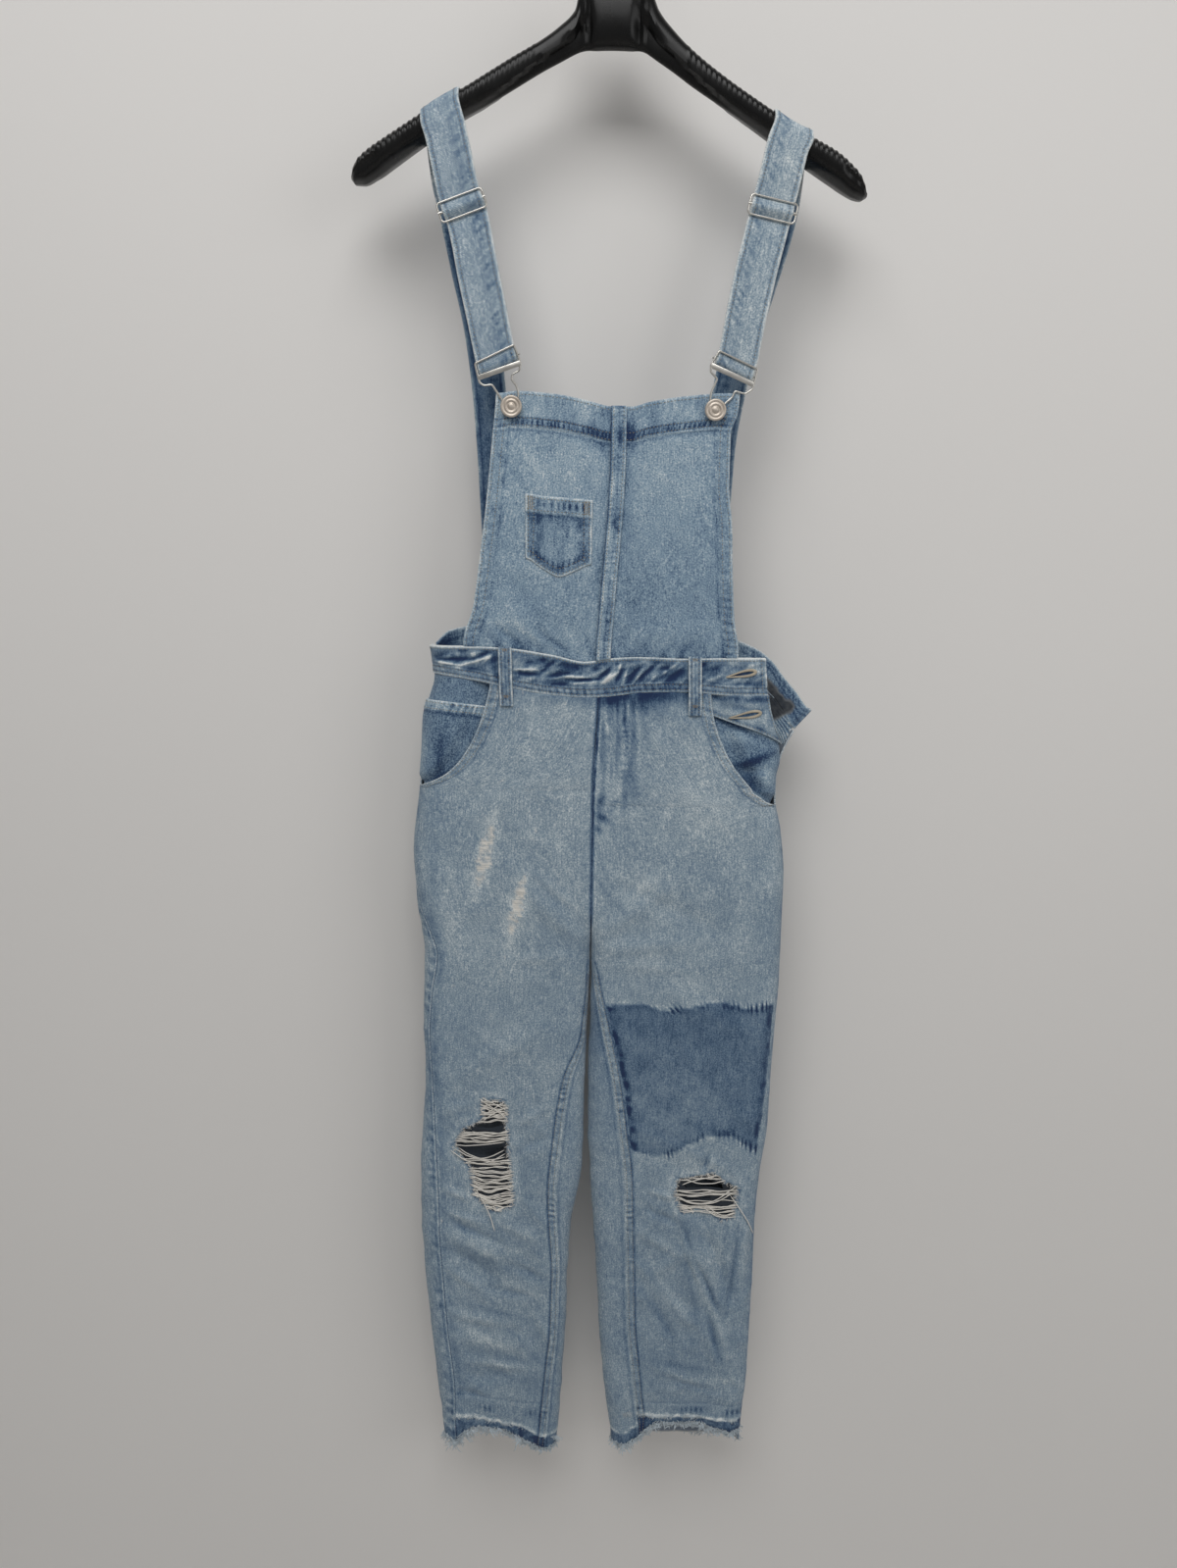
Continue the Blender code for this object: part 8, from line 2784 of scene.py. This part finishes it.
def leg_lining():
    stops = ((0.0, LINING_DARK), (0.5, LINING_DARK), (1.0, LINING_PALE))
    return denim("Inside of the legs", stops, twill=0.03)


def topstitching():
    return thread_finish("Topstitching thread", settings().sewing.thread)


def bartack_thread():
    return thread_finish("Bartack thread", settings().sewing.tacks)


def buttonhole_thread():
    return thread_finish("Buttonhole thread", HOLE_TAN, 0.7)


def bare_yarn():
    return thread_finish("Bare weft yarn", settings().denim.weft_pale, 0.8)


def fringe_yarn():
    return thread_finish("Frayed hem yarn", settings().denim.fringe, 0.45)


# ---------------------------------------------------------------- operators

class PieceMaker:
    """What the operators of the add-on share."""

    bl_options = {"REGISTER", "UNDO"}

    def execute(self, context):
        self.make()
        return {"FINISHED"}


class DUNGAREES_OT_legs(PieceMaker, bpy.types.Operator):
    """Make both legs with their worn knees, patch, let-down hems and sewing"""

    bl_idname = "dungarees.legs"
    bl_label = "Legs"

    def make(self):
        for half in ("right", "left"):
            sewing, yarn, fringe = Sewing(), Sewing(), Sewing()
            front, front_sheet = front_leg(half, sewing)
            back, back_sheet = back_leg(half, sewing)
            rip_threads(half, front_sheet, yarn)
            rim_fuzz(half, front_sheet, yarn)
            worn_line_fuzz(half, front_sheet, fringe)
            hem_fringe(front_sheet, 221, fringe, settings().sewing.fringe / MM)
            hem_fringe(back_sheet, 222, fringe, settings().sewing.fringe / MM)
            stitches = sewing.build(f"leg_stitches_{half}", topstitching(), "light_denim")
            threads = yarn.build(f"knee_yarn_{half}", bare_yarn(), "light_denim")
            hem = fringe.build(f"hem_fringe_{half}", fringe_yarn(), "light_denim")


class DUNGAREES_OT_hips(PieceMaker, bpy.types.Operator):
    """Make the hip facings, the coin pocket and the side placket"""

    bl_idname = "dungarees.hips"
    bl_label = "Hips"

    def make(self):
        sewing, worked = Sewing(), Sewing()
        facings = [hip_facing(half) for half in ("right", "left")]
        coin, placket = coin_pocket(sewing), side_placket(sewing)
        buttonhole(worked, placket[1], BUTTONHOLES[1])
        stitches = sewing.build("hip_stitches", topstitching(), "light_denim")
        hole = worked.build("hip_buttonhole", buttonhole_thread(), "light_denim")


class DUNGAREES_OT_waist(PieceMaker, bpy.types.Operator):
    """Make the puckered waistbands and the belt loops"""

    bl_idname = "dungarees.waist"
    bl_label = "Waist"

    def make(self):
        sewing, tacks, worked = Sewing(), Sewing(), Sewing()
        front, front_sheet = front_waistband(sewing)
        back, back_sheet = back_waistband(sewing)
        loops = [belt_loop(half, sewing, tacks) for half in ("right", "left")]
        buttonhole(worked, front_sheet, BUTTONHOLES[0])
        stitches = sewing.build("waist_stitches", topstitching(), "light_denim")
        tacked = tacks.build("loop_bartacks", bartack_thread(), "light_denim")
        hole = worked.build("waist_buttonhole", buttonhole_thread(), "light_denim")
        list(side_underlap())


class DUNGAREES_OT_bib(PieceMaker, bpy.types.Operator):
    """Make the bib's two panels, its centre strip and its pocket"""

    bl_idname = "dungarees.bib"
    bl_label = "Bib"

    def make(self):
        sewing, tacks = Sewing(), Sewing()
        panels = [bib_panel(half, sewing) for half in ("right", "left")]
        strip, pocket = bib_strip(sewing), bib_pocket(sewing, tacks)
        stitches = sewing.build("bib_stitches", topstitching(), "blue_denim")
        tacked = tacks.build("pocket_bartacks", bartack_thread(), "blue_denim")


class DUNGAREES_OT_straps(PieceMaker, bpy.types.Operator):
    """Make both shoulder straps over the hanger"""

    bl_idname = "dungarees.straps"
    bl_label = "Straps"

    def make(self):
        for half in ("right", "left"):
            sewing = Sewing()
            made = strap(half, sewing)
            stitches = sewing.build(f"strap_stitches_{half}", topstitching(), "light_denim")


class DUNGAREES_OT_fittings(PieceMaker, bpy.types.Operator):
    """Make the wire slides, the buckles and all four buttons"""

    bl_idname = "dungarees.fittings"
    bl_label = "Metal fittings"

    def make(self):
        look = settings().fittings
        dull = look.roughness + 0.16
        fittings(
            metal_finish("Nickel wire", look.nickel, look.rubbed_nickel, look.roughness),
            metal_finish("Button metal", look.button, look.rubbed_button, dull, 0.7),
        )


class DUNGAREES_OT_hanger(PieceMaker, bpy.types.Operator):
    """Make the moulded hanger and its hook"""

    bl_idname = "dungarees.hanger"
    bl_label = "Hanger"

    def make(self):
        look = settings().fittings
        hanger_body(moulded_plastic("Hanger plastic", look.plastic))
        hanger_hook(metal_finish("Hook steel", look.nickel, look.rubbed_nickel, look.roughness))


class DUNGAREES_OT_stage(PieceMaker, bpy.types.Operator):
    """Make the studio wall, the lights and the camera"""

    bl_idname = "dungarees.stage"
    bl_label = "Stage"

    def make(self):
        look = settings().stage
        sweep(look.wall)
        soft_light("key", *KEY_LIGHT, look.key_power)
        soft_light("side", *SIDE_LIGHT, look.key_power * SIDE_SHARE)
        surroundings(look.fill)
        bpy.context.scene.view_settings.view_transform = "Standard"
        camera()


class DUNGAREES_PT_panel(bpy.types.Panel):
    """Buttons that build the dungarees piece by piece"""

    bl_idname = "DUNGAREES_PT_panel"
    bl_label = "Dungarees"
    bl_space_type = "VIEW_3D"
    bl_region_type = "UI"
    bl_category = "Dungarees"

    def draw(self, context):
        look = context.scene.dungarees
        for title in look.__annotations__:
            block = getattr(look, title)
            box = self.layout.box()
            box.label(text=title.capitalize())
            for name in block.__annotations__:
                box.prop(block, name)
        column = self.layout.column(align=True)
        for maker in MAKERS:
            column.operator(maker.bl_idname)


MAKERS = (
    DUNGAREES_OT_hanger,
    DUNGAREES_OT_straps,
    DUNGAREES_OT_bib,
    DUNGAREES_OT_waist,
    DUNGAREES_OT_hips,
    DUNGAREES_OT_legs,
    DUNGAREES_OT_fittings,
    DUNGAREES_OT_stage,
)
CLASSES = (
    DenimColours, SewingSettings, FittingSettings, StageSettings, DungareeSettings, *MAKERS,
    DUNGAREES_PT_panel,
)


def register():
    for each in CLASSES:
        bpy.utils.register_class(each)
    bpy.types.Scene.dungarees = bpy.props.PointerProperty(type=DungareeSettings)


def unregister():
    del bpy.types.Scene.dungarees
    for each in reversed(CLASSES):
        bpy.utils.unregister_class(each)


def main():
    register()
    for maker in MAKERS:
        group_name, name = maker.bl_idname.split(".")
        getattr(getattr(bpy.ops, group_name), name)()


if __name__ == "__main__":
    main()
